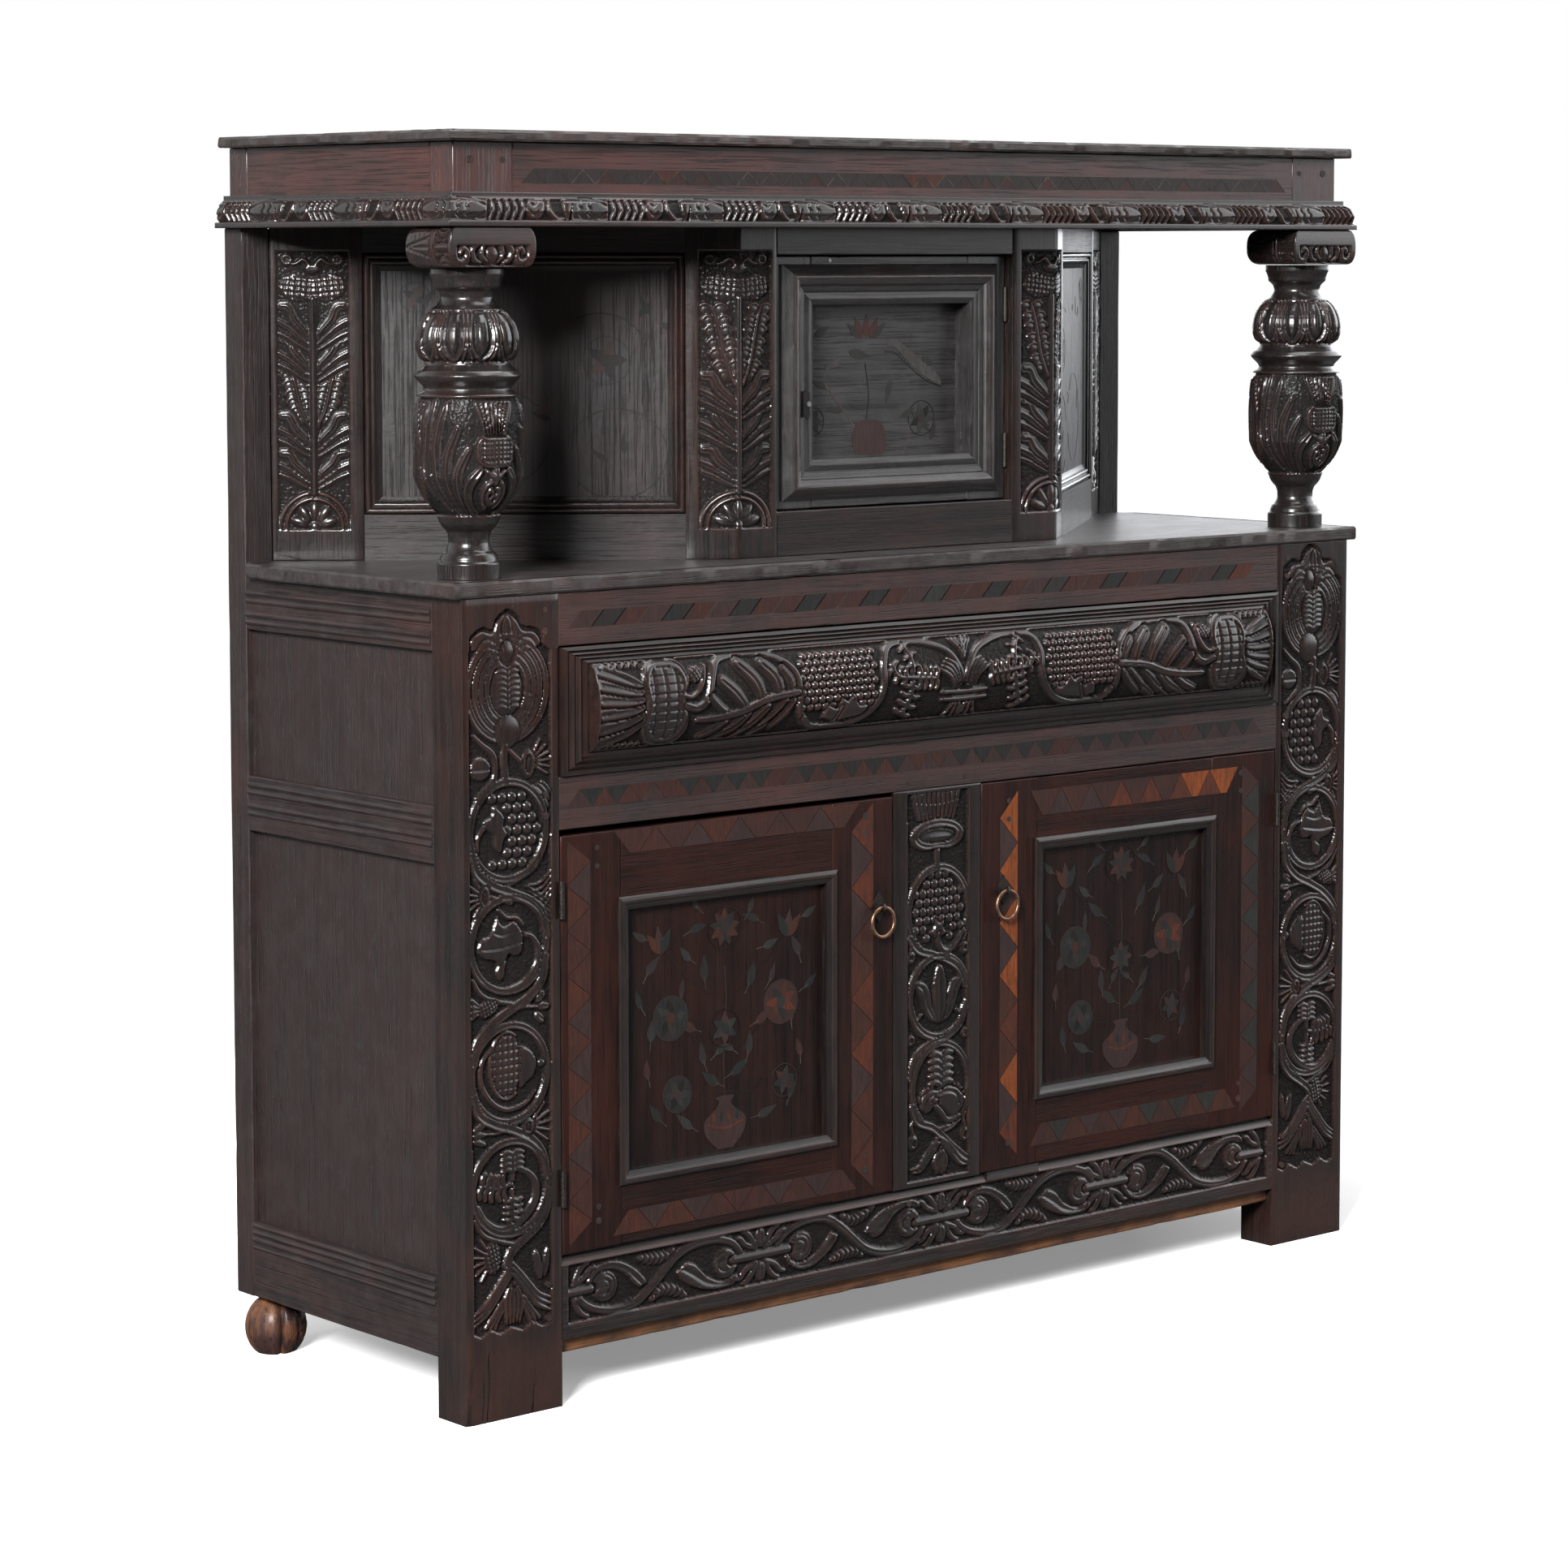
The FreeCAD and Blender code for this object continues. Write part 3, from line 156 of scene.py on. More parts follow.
def oak(name, run, deep=(0.010, 0.0062, 0.0055), brown=(0.034, 0.0185, 0.015), red=(0.072, 0.021, 0.0145),
        redness=0.35, gloss=0.34, haze=0.1, bare=0.0, polish=0.25, turn=0.0, shine=0.4, ridged=0.5, wet=0.27):
    """Dark waxed oak whose grain runs along one axis, or stands off it by turn. redness is how much
    of it has worn red, haze how much wax has gone grey, bare how much raw wood shows, polish how
    thick the wax lies and wet how blurred it is, shine how strongly the wood under it mirrors and
    ridged how proud its grain stands."""
    f = Finish(name)
    if turn:
        part = [f.node("SeparateXYZ", {}, {0: f.place}, out=k) for k in range(3)]
        f.place = f.node("CombineXYZ", {}, {0: part[0].math("ABSOLUTE", part[0]), 1: part[1], 2: part[2]})
    place = f.stretched((1, 1, 1), (0, 0, turn))

    def along(far, near):
        scale = tuple(far if axis == run else near for axis in "xyz")
        return f.node("Mapping", {}, {"Vector": place, "Scale": scale})

    streak = f.noise(along(4.0, 85.0), 1.0, 7.0, 0.65, 0.25)
    fine = f.noise(along(9.0, 520.0), 1.0, 3.0, 0.6)
    cloud = f.noise(place, 2.6, 5.0, 0.6, 0.4)
    patch = f.noise(place, 13.0, 6.0, 0.62)
    colour = f.mix(streak.spread(0.38, 0.64), deep, brown)
    ruddy = (cloud * 0.7 + patch * 0.4 + streak * 0.2).spread(0.82 - redness * 0.4, 1.0 - redness * 0.3)
    colour = f.mix(ruddy * 0.8, colour, red)
    pores = fine.spread(0.54, 0.66)
    colour = f.mix(pores * 0.8, colour, (0.0035, 0.0026, 0.0025))
    sunk, worn = f.kept("sunk"), f.kept("worn")
    # Darker towards the ground of a carving: partly dark wax in the hollows, partly painted shade.
    colour = f.mix(sunk.spread(0.22, 0.85) * 0.85, colour, (0.0045, 0.0035, 0.003))
    rubbed = worn * patch.spread(0.38, 0.62)
    colour = f.mix(rubbed * 0.6, colour, tuple(value * 0.8 + 0.006 for value in red))
    colour = f.mix(worn.spread(0.7, 1.0) * 0.4, colour, (0.062, 0.0215, 0.0145))
    wax = f.noise(place, 34.0, 5.0, 0.7).spread(0.45, 0.8)
    colour = f.mix(wax * haze + haze * 0.25, colour, (0.09, 0.085, 0.085))
    if bare:
        raw = (patch * 0.7 + streak * 0.5).spread(0.85 - bare * 0.5, 1.0 - bare * 0.4)
        colour = f.mix(raw, colour, (0.24, 0.10, 0.038))
    rough = gloss + streak * ridged * 0.2 + wax * 0.10 + sunk.spread(0.35, 0.9) * 0.38 - worn * 0.08
    handled = (1 - sunk.spread(0.3, 0.95) * 0.88) * polish
    dents = f.noise(place, 75.0, 4.0, 0.6)
    punched = f.noise(place, 560.0, 2.0, 0.6) * sunk.spread(0.3, 1.0)
    relief = f.bump(streak * ridged - pores * 0.8 + dents * 0.6 + punched * 1.6, 0.0011, 0.7)
    return f.surface(Base_Color=colour, Roughness=rough, Normal=relief, Specular_IOR_Level=shine,
                     Coat_Weight=handled, Coat_Roughness=wet)


def each_way(name, *colours, **looks):
    """One oak with its grain along each axis."""
    return {run: oak(name + run, run, *colours, **looks) for run in "xyz"}


OAK = each_way("oak_", (0.015, 0.0098, 0.009), (0.031, 0.0185, 0.016), (0.055, 0.02, 0.015), polish=0.15,
               gloss=0.42, haze=0.16)
RUDDY = each_way("ruddy_oak_", (0.0085, 0.0042, 0.0035), (0.0235, 0.0105, 0.0085), (0.044, 0.0115, 0.0075),
                 redness=0.7, polish=0.12, gloss=0.42, haze=0.01, shine=0.13, ridged=0.3)
CARVED = each_way("carved_", (0.0065, 0.0045, 0.004), (0.019, 0.0115, 0.0092), (0.042, 0.0145, 0.0105),
                  redness=0.45, gloss=0.3, haze=0.02, polish=1.0, shine=0.22, wet=0.19)
chance = np.random.default_rng(1640)


def curve_through(points, step=2.0):
    """A smooth line through given points."""
    p = np.asarray(points, float)
    p = np.vstack([2 * p[0] - p[1], p, 2 * p[-1] - p[-2]])
    runs = []
    for a, b, c, d in zip(p, p[1:], p[2:], p[3:]):
        t = np.linspace(0, 1, max(2, int(np.hypot(*(c - b)) / step) + 1), endpoint=False)[:, None]
        bend = (2 * a - 5 * b + 4 * c - d) * t**2 + (3 * b - a - 3 * c + d) * t**3
        runs.append((2 * b + (c - a) * t + bend) / 2)
    return np.vstack(runs + [p[-2:-1]])


def oval(cx, cz, rx, rz, start=0, end=360, turn=0):
    a = np.radians(np.linspace(start, end, 37))
    c, s = np.cos(np.radians(turn)), np.sin(np.radians(turn))
    x, z = rx * np.cos(a), rz * np.sin(a)
    return np.stack([cx + x * c - z * s, cz + x * s + z * c], 1)


def lines(low, high, step, fine_low=None, fine_high=None, coarse=12.0):
    """Grid lines in millimetres, close together over the carved part, with worn arrises."""
    arris = (0.0, 0.5, 1.4)
    fine_low = low + arris[-1] if fine_low is None else fine_low
    fine_high = high - arris[-1] if fine_high is None else fine_high
    fine = np.linspace(fine_low, fine_high, int((fine_high - fine_low) / step) + 1)
    before = np.linspace(low + arris[-1], fine_low, max(1, int((fine_low - low) / coarse)) + 1)[:-1]
    after = np.linspace(fine_high, high - arris[-1], max(1, int((high - fine_high) / coarse)) + 1)[1:]
    edges = [low + value for value in arris[:2]], [high - value for value in arris[1::-1]]
    return np.unique(np.round(np.concatenate([edges[0], before, fine, after, edges[1]]), 4))


class Carving:
    """Heights of a carved face in millimetres, 0 at the finished face and negative below it."""

    def __init__(self, xs, zs, deep):
        self.xs, self.zs, self.deep = np.asarray(xs), np.asarray(zs), deep
        self.x, self.z = np.meshgrid(self.xs, self.zs)
        self.h = np.zeros_like(self.x)
        self.field = np.zeros(self.x.shape, bool)
        self.scuffed = 0.0

    def near(self, low, high):
        j, jj = np.searchsorted(self.xs, [low[0], high[0]])
        i, ii = np.searchsorted(self.zs, [low[1], high[1]])
        return slice(i, max(ii, i)), slice(j, max(jj, j))

    def inside(self, outline):
        """Window and mask of the points inside a closed outline."""
        p = np.asarray(outline, float)
        w = self.near(p.min(0), p.max(0))
        x, z = self.x[w], self.z[w]
        held = np.zeros(x.shape, bool)
        for a, b in zip(p, np.roll(p, -1, axis=0)):
            if a[1] != b[1]:
                crossed = (a[1] > z) != (b[1] > z)
                held ^= crossed & (x < (b[0] - a[0]) * (z - a[1]) / (b[1] - a[1]) + a[0])
        return w, held

    def sink(self, outline):
        """Cuts the ground away inside an outline and leaves it tooled."""
        w, held = self.inside(outline)
        tooled = chance.normal(0, 0.42, held.shape)
        self.h[w] = np.where(held, -self.deep + tooled, self.h[w])
        self.field[w] |= held

    def along(self, path, reach):
        """Window, share of the way along a path, and distance to the side of it."""
        path = curve_through(path) if len(path) < 24 else np.asarray(path, float)
        step = np.diff(path, axis=0)
        run = np.maximum(np.hypot(step[:, 0], step[:, 1]), 1e-6)
        gone = np.concatenate([[0], np.cumsum(run)])
        w = self.near(path.min(0) - reach, path.max(0) + reach)
        shape = self.x[w].shape
        best, share, side = np.full(shape, 1e9), np.zeros(shape), np.ones(shape)
        for k in range(0, len(step), 10):
            part = path[k : k + 11]
            v = self.near(part.min(0) - reach, part.max(0) + reach)
            inner = tuple(slice(a.start - b.start, a.stop - b.start) for a, b in zip(v, w))
            x, z = self.x[v][..., None], self.z[v][..., None]
            if not x.size:
                continue
            s, r = step[k : k + 10], run[k : k + 10]
            a = part[: len(s)]
            t = np.clip(((x - a[:, 0]) * s[:, 0] + (z - a[:, 1]) * s[:, 1]) / r**2, 0, 1)
            dx, dz = x - a[:, 0] - t * s[:, 0], z - a[:, 1] - t * s[:, 1]
            far = np.hypot(dx, dz)
            pick = far.argmin(-1)[..., None]
            d = np.take_along_axis(far, pick, -1)[..., 0]
            nearer = d < best[inner]
            here = (gone[k + pick] + np.take_along_axis(t, pick, -1) * r[pick])[..., 0]
            turn = np.take_along_axis(s[:, 0] * dz - s[:, 1] * dx, pick, -1)[..., 0]
            best[inner] = np.where(nearer, d, best[inner])
            share[inner] = np.where(nearer, here / gone[-1], share[inner])
            side[inner] = np.where(nearer, np.where(turn < 0, -1, 1), side[inner])
        return w, share, best * side

    def lay(self, w, mask, height, over=False):
        """Raises the wood to a height where the mask holds; over lays it on what is there."""
        now = self.h[w]
        self.h[w] = np.where(mask & self.field[w], height if over else np.maximum(now, height), now)

    def narrowed(self, half, tips, share, reach=0.3):
        """Half widths along a stroke that thins to the given shares at its two ends."""
        wide = half * (tips[0] + (1 - tips[0]) * np.clip(share / reach, 0, 1) ** 0.6)
        return np.maximum(wide * (tips[1] + (1 - tips[1]) * np.clip((1 - share) / reach, 0, 1) ** 0.6), 1e-3)

    def stroke(self, points, half, top=-0.2, tips=(1, 1), groove=0.0, over=False):
        """A rounded stem or vine, with a groove along its middle if one is given."""
        w, u, v = self.along(points, half + 2)
        s = np.abs(v) / self.narrowed(half, tips, u)
        if over:
            self.lay(w, np.abs(v) < self.narrowed(half, tips, u) + 1.2, -0.7 * self.deep + s * 0, True)
        body = np.clip(1 - s * s, 0, 1) ** 0.4
        height = -self.deep + (self.deep + top) * body
        if groove:
            height = height - groove * np.exp(-((v / (0.28 * half)) ** 2))
        self.lay(w, s < 1, height, over)

    def frond(self, points, half, veins=3, top=-0.1, tips=(0.45, 0.9), over=True):
        """A fat lobe of a leaf with a round end, its veins cut side by side along it."""
        w, u, v = self.along(points, half + 2)
        wide = self.narrowed(half, tips, u, 0.4)
        s = np.abs(v) / wide
        if over:
            self.lay(w, np.abs(v) < wide + 2.2, -self.deep + s * 0, True)
        body = np.clip(1 - s * s, 0, 1) ** 0.35
        veined = 0.5 - 0.5 * np.cos(np.pi * veins * (np.clip(s, 0, 1) + veins % 2))
        self.lay(w, s < 1, -self.deep + (self.deep + top) * body * (1 - 0.55 * veined), over)

    def band(self, points, half, top=-0.2, rib=0.9, over=False):
        """A flat ribbon with a raised line along each edge."""
        w, u, v = self.along(points, half + 0.5)
        s = np.abs(v) / half
        edge = np.clip((1 - s) * half / 0.9, 0, 1) ** 0.5
        height = -self.deep + (self.deep + top) * edge - rib * np.clip(1 - s / 0.62, 0, 1) ** 0.5
        self.lay(w, s < 1, height, over)

    def cut(self, points, half, depth, tips=(0.4, 0.4)):
        """A V cut along a line."""
        w, u, v = self.along(points, half + 0.5)
        self.h[w] -= depth * np.clip(1 - np.abs(v) / self.narrowed(half, tips, u), 0, 1)

    def dome(self, cx, cz, rx, rz, top=-0.2, turn=0, flat=0.5, over=False):
        r = max(rx, rz)
        w = self.near((cx - r, cz - r), (cx + r, cz + r))
        c, s = np.cos(np.radians(turn)), np.sin(np.radians(turn))
        x, z = self.x[w] - cx, self.z[w] - cz
        d = np.hypot((x * c + z * s) / rx, (z * c - x * s) / rz)
        self.lay(w, d < 1, -self.deep + (self.deep + top) * np.clip(1 - d * d, 0, 1) ** flat, over)

    def plate(self, outline, top=-0.3, edge=2.5, over=False):
        """A smooth raised shape with a rounded edge, such as a plain leaf."""
        w, held = self.inside(outline)
        v, _, off = self.along(np.vstack([outline, outline[:1]]), edge + 1)
        depth = np.full(self.x.shape, edge)
        depth[v] = np.minimum(np.abs(off), edge)
        body = np.clip(depth[w] / edge, 0, 1) ** 0.5
        self.lay(w, held, -self.deep + (self.deep + top) * body, over)

    def reeds(self, a, b, count, top=-0.3, tips=(0.35, 0.45), fill=1.05):
        """Strokes side by side that fill the space between two guide lines."""
        a, b = curve_through(a, 4), curve_through(b, 4)
        even = np.linspace(0, 1, max(len(a), len(b)))
        a, b = (
            np.stack([np.interp(even, np.linspace(0, 1, len(p)), p[:, k]) for k in (0, 1)], 1)
            for p in (a, b)
        )
        space = np.hypot(*(a - b).T)
        for k in range(count):
            s = (k + 0.5) / count
            w, u, v = self.along(a * (1 - s) + b * s, space.max() / count * 0.6 + 1)
            half = self.narrowed(np.interp(u, even, space) / count / 2 * fill, tips, u, 0.22)
            d = np.abs(v) / np.maximum(half, 0.4)
            self.lay(w, d < 1, -self.deep + (self.deep + top) * np.clip(1 - d * d, 0, 1) ** 0.4)

    def hatched(self, outline, pitch, top=-0.2, turn=0, crown=1.2):
        """A swelling shape cut across into small squares."""
        w, held = self.inside(outline)
        p = np.asarray(outline)
        mid, size = (p.min(0) + p.max(0)) / 2, (p.max(0) - p.min(0)) / 2
        c, s = np.cos(np.radians(turn)), np.sin(np.radians(turn))
        x, z = self.x[w] - mid[0], self.z[w] - mid[1]
        a, b = x * c + z * s, z * c - x * s
        d = np.hypot(x / size[0], z / size[1])
        cuts = np.minimum(np.abs(np.sin(np.pi * a / pitch[0])), np.abs(np.sin(np.pi * b / pitch[1])))
        height = top - crown * d * d - 2.8 * (1 - np.clip(cuts / 0.5, 0, 1) ** 0.7)
        self.lay(w, held, np.maximum(height, -self.deep), True)

    def berries(self, held, pitch, radius, top=0.0, start=(0, 0)):
        """Rows of round berries whose middles satisfy held."""
        row = np.round((self.z - start[1]) / pitch[1])
        shift = np.where(row % 2, pitch[0] / 2, 0) + start[0]
        cx = np.round((self.x - shift) / pitch[0]) * pitch[0] + shift
        cz = row * pitch[1] + start[1]
        d = np.hypot(self.x - cx, self.z - cz) / radius
        height = -self.deep + (self.deep + top) * np.sqrt(np.clip(1 - d * d, 0, 1))
        self.h = np.where((d < 1) & held(cx, cz), np.maximum(self.h, height), self.h)

    def rays(self, cx, cz, inner, outer, angles, half=1.6, top=-0.6):
        for a in np.radians(angles):
            c, s = np.cos(a), np.sin(a)
            ends = [(cx + inner * c, cz + inner * s), (cx + outer * c, cz + outer * s)]
            self.stroke(curve_through(ends), half, top, (0.7, 0.9))

    def leaflets(self, path, size, count, lean=55, top=-0.5, sides=(1, -1), span=(0.1, 0.95)):
        """Small curled leaflets in pairs along a stalk."""
        path = curve_through(path)
        gone = np.concatenate([[0], np.cumsum(np.hypot(*np.diff(path, axis=0).T))])
        for at in gone[-1] * np.linspace(*span, count):
            x, z = (np.interp(at, gone, path[:, k]) for k in (0, 1))
            ends = [[np.interp(at + d, gone, path[:, k]) for k in (0, 1)] for d in (-2, 2)]
            head = math.atan2(ends[1][1] - ends[0][1], ends[1][0] - ends[0][0])
            for hand in sides:
                a = head + hand * math.radians(lean)
                mid = (x + size * 0.55 * math.cos(a), z + size * 0.55 * math.sin(a))
                b = a + hand * math.radians(35)
                tip = (mid[0] + size * 0.5 * math.cos(b), mid[1] + size * 0.5 * math.sin(b))
                self.stroke(curve_through([(x, z), mid, tip], 1), size * 0.26, top, (0.6, 0.7))

    def ease(self, depth=1.1, ragged=0.5):
        """Wears the arrises round the outside of the face."""
        for axis, places in ((0, self.zs), (1, self.xs)):
            for end, inward in ((0, 1), (-1, -1)):
                long = self.h.shape[1 - axis]
                rough = np.convolve(chance.random(long + 8), np.ones(9) / 9, "valid")
                worn = depth * (1 - ragged + 2 * ragged * rough)
                for place, share in ((end, 1.0), (end + inward, 0.35)):
                    line = (place, slice(None)) if axis == 0 else (slice(None), place)
                    self.h[line] = np.minimum(self.h[line], -worn * share)

    def sunk(self):
        """How deep each point lies, 1 at the ground."""
        return np.clip(-self.h / self.deep, 0, 1.2)

    def wear(self):
        """How far each point stands above what is round it, or is scuffed, from 0 to 1."""
        padded = np.pad(self.h, 2, mode="edge")
        rows, cols = self.h.shape
        mean = sum(padded[i : i + rows, j : j + cols] for i in range(5) for j in range(5)) / 25
        return np.clip((self.h - mean) / 1.1 + self.scuffed, 0, 1)


def solid(name, points, faces, materials, smooth=None, slots=None, crease=None, **kept):
    """A closed piece from points in millimetres, with its faces turned outwards. kept holds what
    each point carries for its finish, crease the angle past which an edge stays sharp."""
    mesh = bpy.data.meshes.new(name)
    mesh.from_pydata((np.vstack(points) / 1000).tolist(), [], faces)
    for key, values in kept.items():
        mesh.attributes.new(key, "FLOAT", "POINT").data.foreach_set("value", np.concatenate(values))
    if slots is not None:
        mesh.polygons.foreach_set("material_index", slots)
    bm = bmesh.new()
    bm.from_mesh(mesh)
    bmesh.ops.recalc_face_normals(bm, faces=bm.faces)
    bm.to_mesh(mesh)
    bm.free()
    if smooth is not None:
        mesh.polygons.foreach_set("use_smooth", smooth)
    elif crease:
        mesh.shade_smooth()
    if crease:
        mesh.set_sharp_from_angle(angle=math.radians(crease))
    piece = bpy.data.objects.new(name, mesh)
    bpy.context.scene.collection.objects.link(piece)
    for material in materials:
        mesh.materials.append(material)
    return piece


def carved_piece(name, boards, material):
    """Closes carved faces into solid boards. Each board is a carving, a function that gives the
    place of (x, z, height) in millimetres, its thickness and the x of any bend in it."""
    points, faces, sunk, worn = [], [], [], []
    for c, spot, thick, *bends in boards:
        rows, cols = c.h.shape
        start = sum(len(part) for part in points)
        grid = start + np.arange(rows * cols).reshape(rows, cols)
        points.append(np.stack(spot(c.x, c.z, c.h), -1).reshape(-1, 3))
        quads = np.stack([grid[:-1, :-1], grid[:-1, 1:], grid[1:, 1:], grid[1:, :-1]], -1)
        faces += quads.reshape(-1, 4).tolist()
        across = np.array([c.xs[0], *bends, c.xs[-1]], float)
        n = len(across)
        for z in (c.zs[0], c.zs[-1]):
            level = [np.broadcast_to(part, across.shape) for part in spot(across, across * 0 + z,
                across * 0 - thick)]
            points.append(np.stack(level, -1))
        low = (start + rows * cols + np.arange(n)).tolist()
        high = [value + n for value in low]
        faces.append(grid[0].tolist() + low[::-1])
        faces.append(grid[-1].tolist() + high[::-1])
        faces.append(grid[:, 0].tolist() + [high[0], low[0]])
        faces.append(grid[:, -1].tolist() + [high[-1], low[-1]])
        faces += [[low[k], low[k + 1], high[k + 1], high[k]] for k in range(n - 1)]
        sunk += [c.sunk().ravel(), np.zeros(2 * n)]
        worn += [c.wear().ravel(), np.zeros(2 * n)]
    return solid(name, points, faces, [material], [len(face) == 4 for face in faces], sunk=sunk, worn=worn)


# half width, top, rib and whether it lies over what is there
RING, VINE, THIN_VINE = (4.8, -0.1, 1.2), (6.0, -0.1, 1.3, True), (5.6, -0.1, 1.3, True)


def stile_face(flip):
    """The carved face of a front stile. flip turns the medallions the other way round."""
    wide, tall = 140.0, 966.0
    c = Carving(lines(0, wide, 1.35, 8, 132), lines(0, tall, 1.35, 98, 964.5 if flip else 956), 4.6)
    lift = 13 if flip else 0

    def at(points, turn=flip):
        p = np.array(points, float)
        if turn:
            p[:, 0] = wide - p[:, 0]
        p[:, 1] += lift
        return p

    def x(value):
        return wide - value if flip else value

    def facing(angles, right):
        return angles if right else [180 - a for a in angles]

    # sunk field with its lobed head and scalloped foot
    head = curve_through([(12, 910), (13, 922), (30, 932), (44, 929), (49, 941), (66, 951), (82, 943),
        (90, 931), (106, 928), (117, 920), (118, 908)], 2)
    foot = curve_through([(125, 107), (112, 103), (97, 109), (82, 103), (66, 108), (50, 103), (35, 109),
        (22, 103), (11, 108)], 2)
    field = np.vstack([head + (0, lift), [(129, 900 + lift)], foot, [(10, 900 + lift)]])
    c.sink(field)
    # palmette at the head
    palmette = curve_through([
        (16, 905), (14, 917), (30, 927), (46, 924), (52, 936), (66, 946), (80, 938), (89, 926), (105, 923),
        (114, 914), (112, 905), (90, 900), (66, 893), (42, 900), (16, 905)])
    c.plate(at(palmette), -0.5, 2.0)
    for side in (1, -1):
        c.cut(at([(66 - side * 14, 908), (66 - side * 24, 917), (66 - side * 36, 915),
                  (66 - side * 46, 903)]), 2.2, 2.6)
        c.cut(at([(66 - side * 12, 903), (66 - side * 26, 908), (66 - side * 36, 905)]), 1.6, 1.8)
    c.cut(at(oval(66, 922, 8, 22, 0, 360)), 1.9, 2.6)
    c.cut(at([(66, 938), (66, 918), (66, 905)]), 1.4, 1.6)
    for rx, rz in ((57, 60), (47, 52), (38, 44), (29.5, 36)):
        ring = at(oval(66, 858, rx, rz))
        c.band(ring, 4.3, -0.3, 1.3)
    c.plate(at(oval(66, 857, 25, 32)), -1.6, 5, True)
    c.leaflets(at([(67, 828), (67, 845), (67, 860), (67, 884)]), 15, 8, 58, -0.2)
    c.stroke(at([(67, 826), (67, 888)]), 1.8, 0)
    c.dome(66, 900 + lift, 12, 16, -0.1, over=True)
    c.cut(at(oval(66, 899, 8, 11, 180, 360)), 1.6, 1.6)
    c.dome(66, 809 + lift, 19.5, 20, 0, flat=0.35, over=True)
    c.stroke(at([(63, 792), (62, 770), (66, 748)]), 5.5, -0.3, (1, 0.8))
    c.stroke(at([(17, 808), (30, 796), (45, 784), (49, 768), (47, 754), (36, 745), (20, 734)], False), 4,
             -0.3, (0.5, 0.4), 0.8)
    c.plate(at(oval(27, 768, 16, 15), False), -0.4, 3)
    c.cut(at([(11, 767), (42, 767)], False), 2, 1.8)
    c.stroke(at([(70, 786), (82, 776), (92, 768)], False), 3.2, -0.4, (0.8, 0.8))
    c.rays(97, 770 + lift, 10, 31, (-28, -12, 4, 20, 38, 58), 2.0, -0.9)
    c.dome(97, 769 + lift, 10.5, 18, 0, over=True)
    c.dome(97, 769 + lift, 5.5, 11, -3.0, over=True)
    c.reeds(at([(100, 742), (112, 730), (124, 712)], False), at([(118, 748), (124, 744), (127, 738)], False),
            3, -0.7)

    # grapes
    c.band(at(oval(66, 693, 55, 57)), *RING)
    c.berries(lambda a, b: (np.hypot((a - 66) / 47, (b - 693 - lift) / 49) < 0.93)
              & ~((np.abs(a - x(37)) < 27) & (np.abs(b - 690 - lift) < 34)), (14.5, 13.0), 6.6, 0,
              (x(66), 693 + lift))
    leaf = curve_through([(58, 716), (46, 724), (42, 712), (30, 706), (36, 696), (44, 690), (46, 674),
        (56, 668), (60, 682), (66, 690), (60, 700), (62, 708), (58, 716)])
    c.plate(at(leaf), 0, 3.2, True)
    c.stroke(at([(48, 708), (34, 700), (23, 688), (22, 672)]), 3, -0.6, (0.8, 0.5))
    # vine crossing and the corners beside it
    c.band(at([(14, 668), (22, 646), (44, 630), (70, 620), (98, 608), (116, 590), (121, 565)]), *VINE)
    c.stroke(at([(118, 668), (106, 648), (84, 636), (62, 628)]), 3.6, -0.6, (0.6, 1))
    for k in range(5):
        c.stroke(at([(92 + 4 * k, 626 - 7 * k), (112 + 2 * k, 626 - 6.5 * k + 2), (127, 640 - 7 * k)]), 1.9,
                 -0.8, (0.5, 0.8))
        c.stroke(at([(92 + 4 * k, 626 - 7 * k), (110 + 2 * k, 616 - 6.5 * k), (127, 604 - 6 * k)]), 1.9, -0.8,
                 (0.5, 0.8))
    c.rays(x(32), 618 + lift, 9, 26, facing((-55, -30, -8, 14, 36, 58), flip), 2.1, -0.7)
    c.dome(x(32), 618 + lift, 9.5, 15, 0, over=True)
    c.dome(x(32), 618 + lift, 4.5, 8.5, -2.6, over=True)
    c.stroke(at([(42, 618), (54, 614), (70, 608)]), 3, -0.6, (0.8, 1))

    # barred leaf
    c.band(at(oval(66, 560, 55, 55)), *RING)
    c.stroke(at([(24, 520), (50, 507), (82, 510), (105, 528), (110, 550), (100, 566), (86, 570)]), 4.6, -0.1,
             (0.5, 0.5), 0.8)
    five = curve_through([(50, 600), (54, 588), (62, 584), (74, 588), (84, 578), (88, 566), (84, 548),
        (74, 544), (66, 548), (62, 536), (60, 524), (52, 518), (46, 528), (48, 540), (30, 546), (20, 556),
        (26, 570), (38, 574), (44, 584), (50, 600)])
    c.plate(at(five), -0.1, 3, True)
    c.cut(at([(22, 558), (50, 557), (86, 562)]), 2.2, 2.2)
    c.cut(at([(50, 536), (66, 545), (86, 546)]), 2.0, 2.0)
    c.cut(at([(40, 578), (56, 572), (76, 576)]), 1.8, 1.8)
    c.stroke(at([(52, 602), (64, 592), (78, 590), (88, 580)]), 2.6, 0, (0.5, 0.5), over=True)
    c.band(at([(119, 540), (114, 515), (96, 496), (66, 482), (40, 468), (20, 448), (14, 425)]), *VINE)
    c.stroke(at([(14, 524), (26, 506), (46, 496), (70, 490)]), 3.4, -0.6, (0.6, 1))
    c.hatched(at(oval(35, 488, 16, 10, turn=20)), (4.6, 4.6), -0.2, 20)
    c.reeds(at([(24, 494), (17, 500), (11, 505)]), at([(22, 482), (15, 478), (11, 474)]), 4, -0.6)
    trefoil = [oval(112, 494, 9, 5.5, turn=50), oval(117, 482, 9.5, 5.5, turn=0),
               oval(111, 469, 9, 5.5, turn=-50)]
    for lobe in trefoil:
        c.plate(at(lobe), -0.5, 2.4)
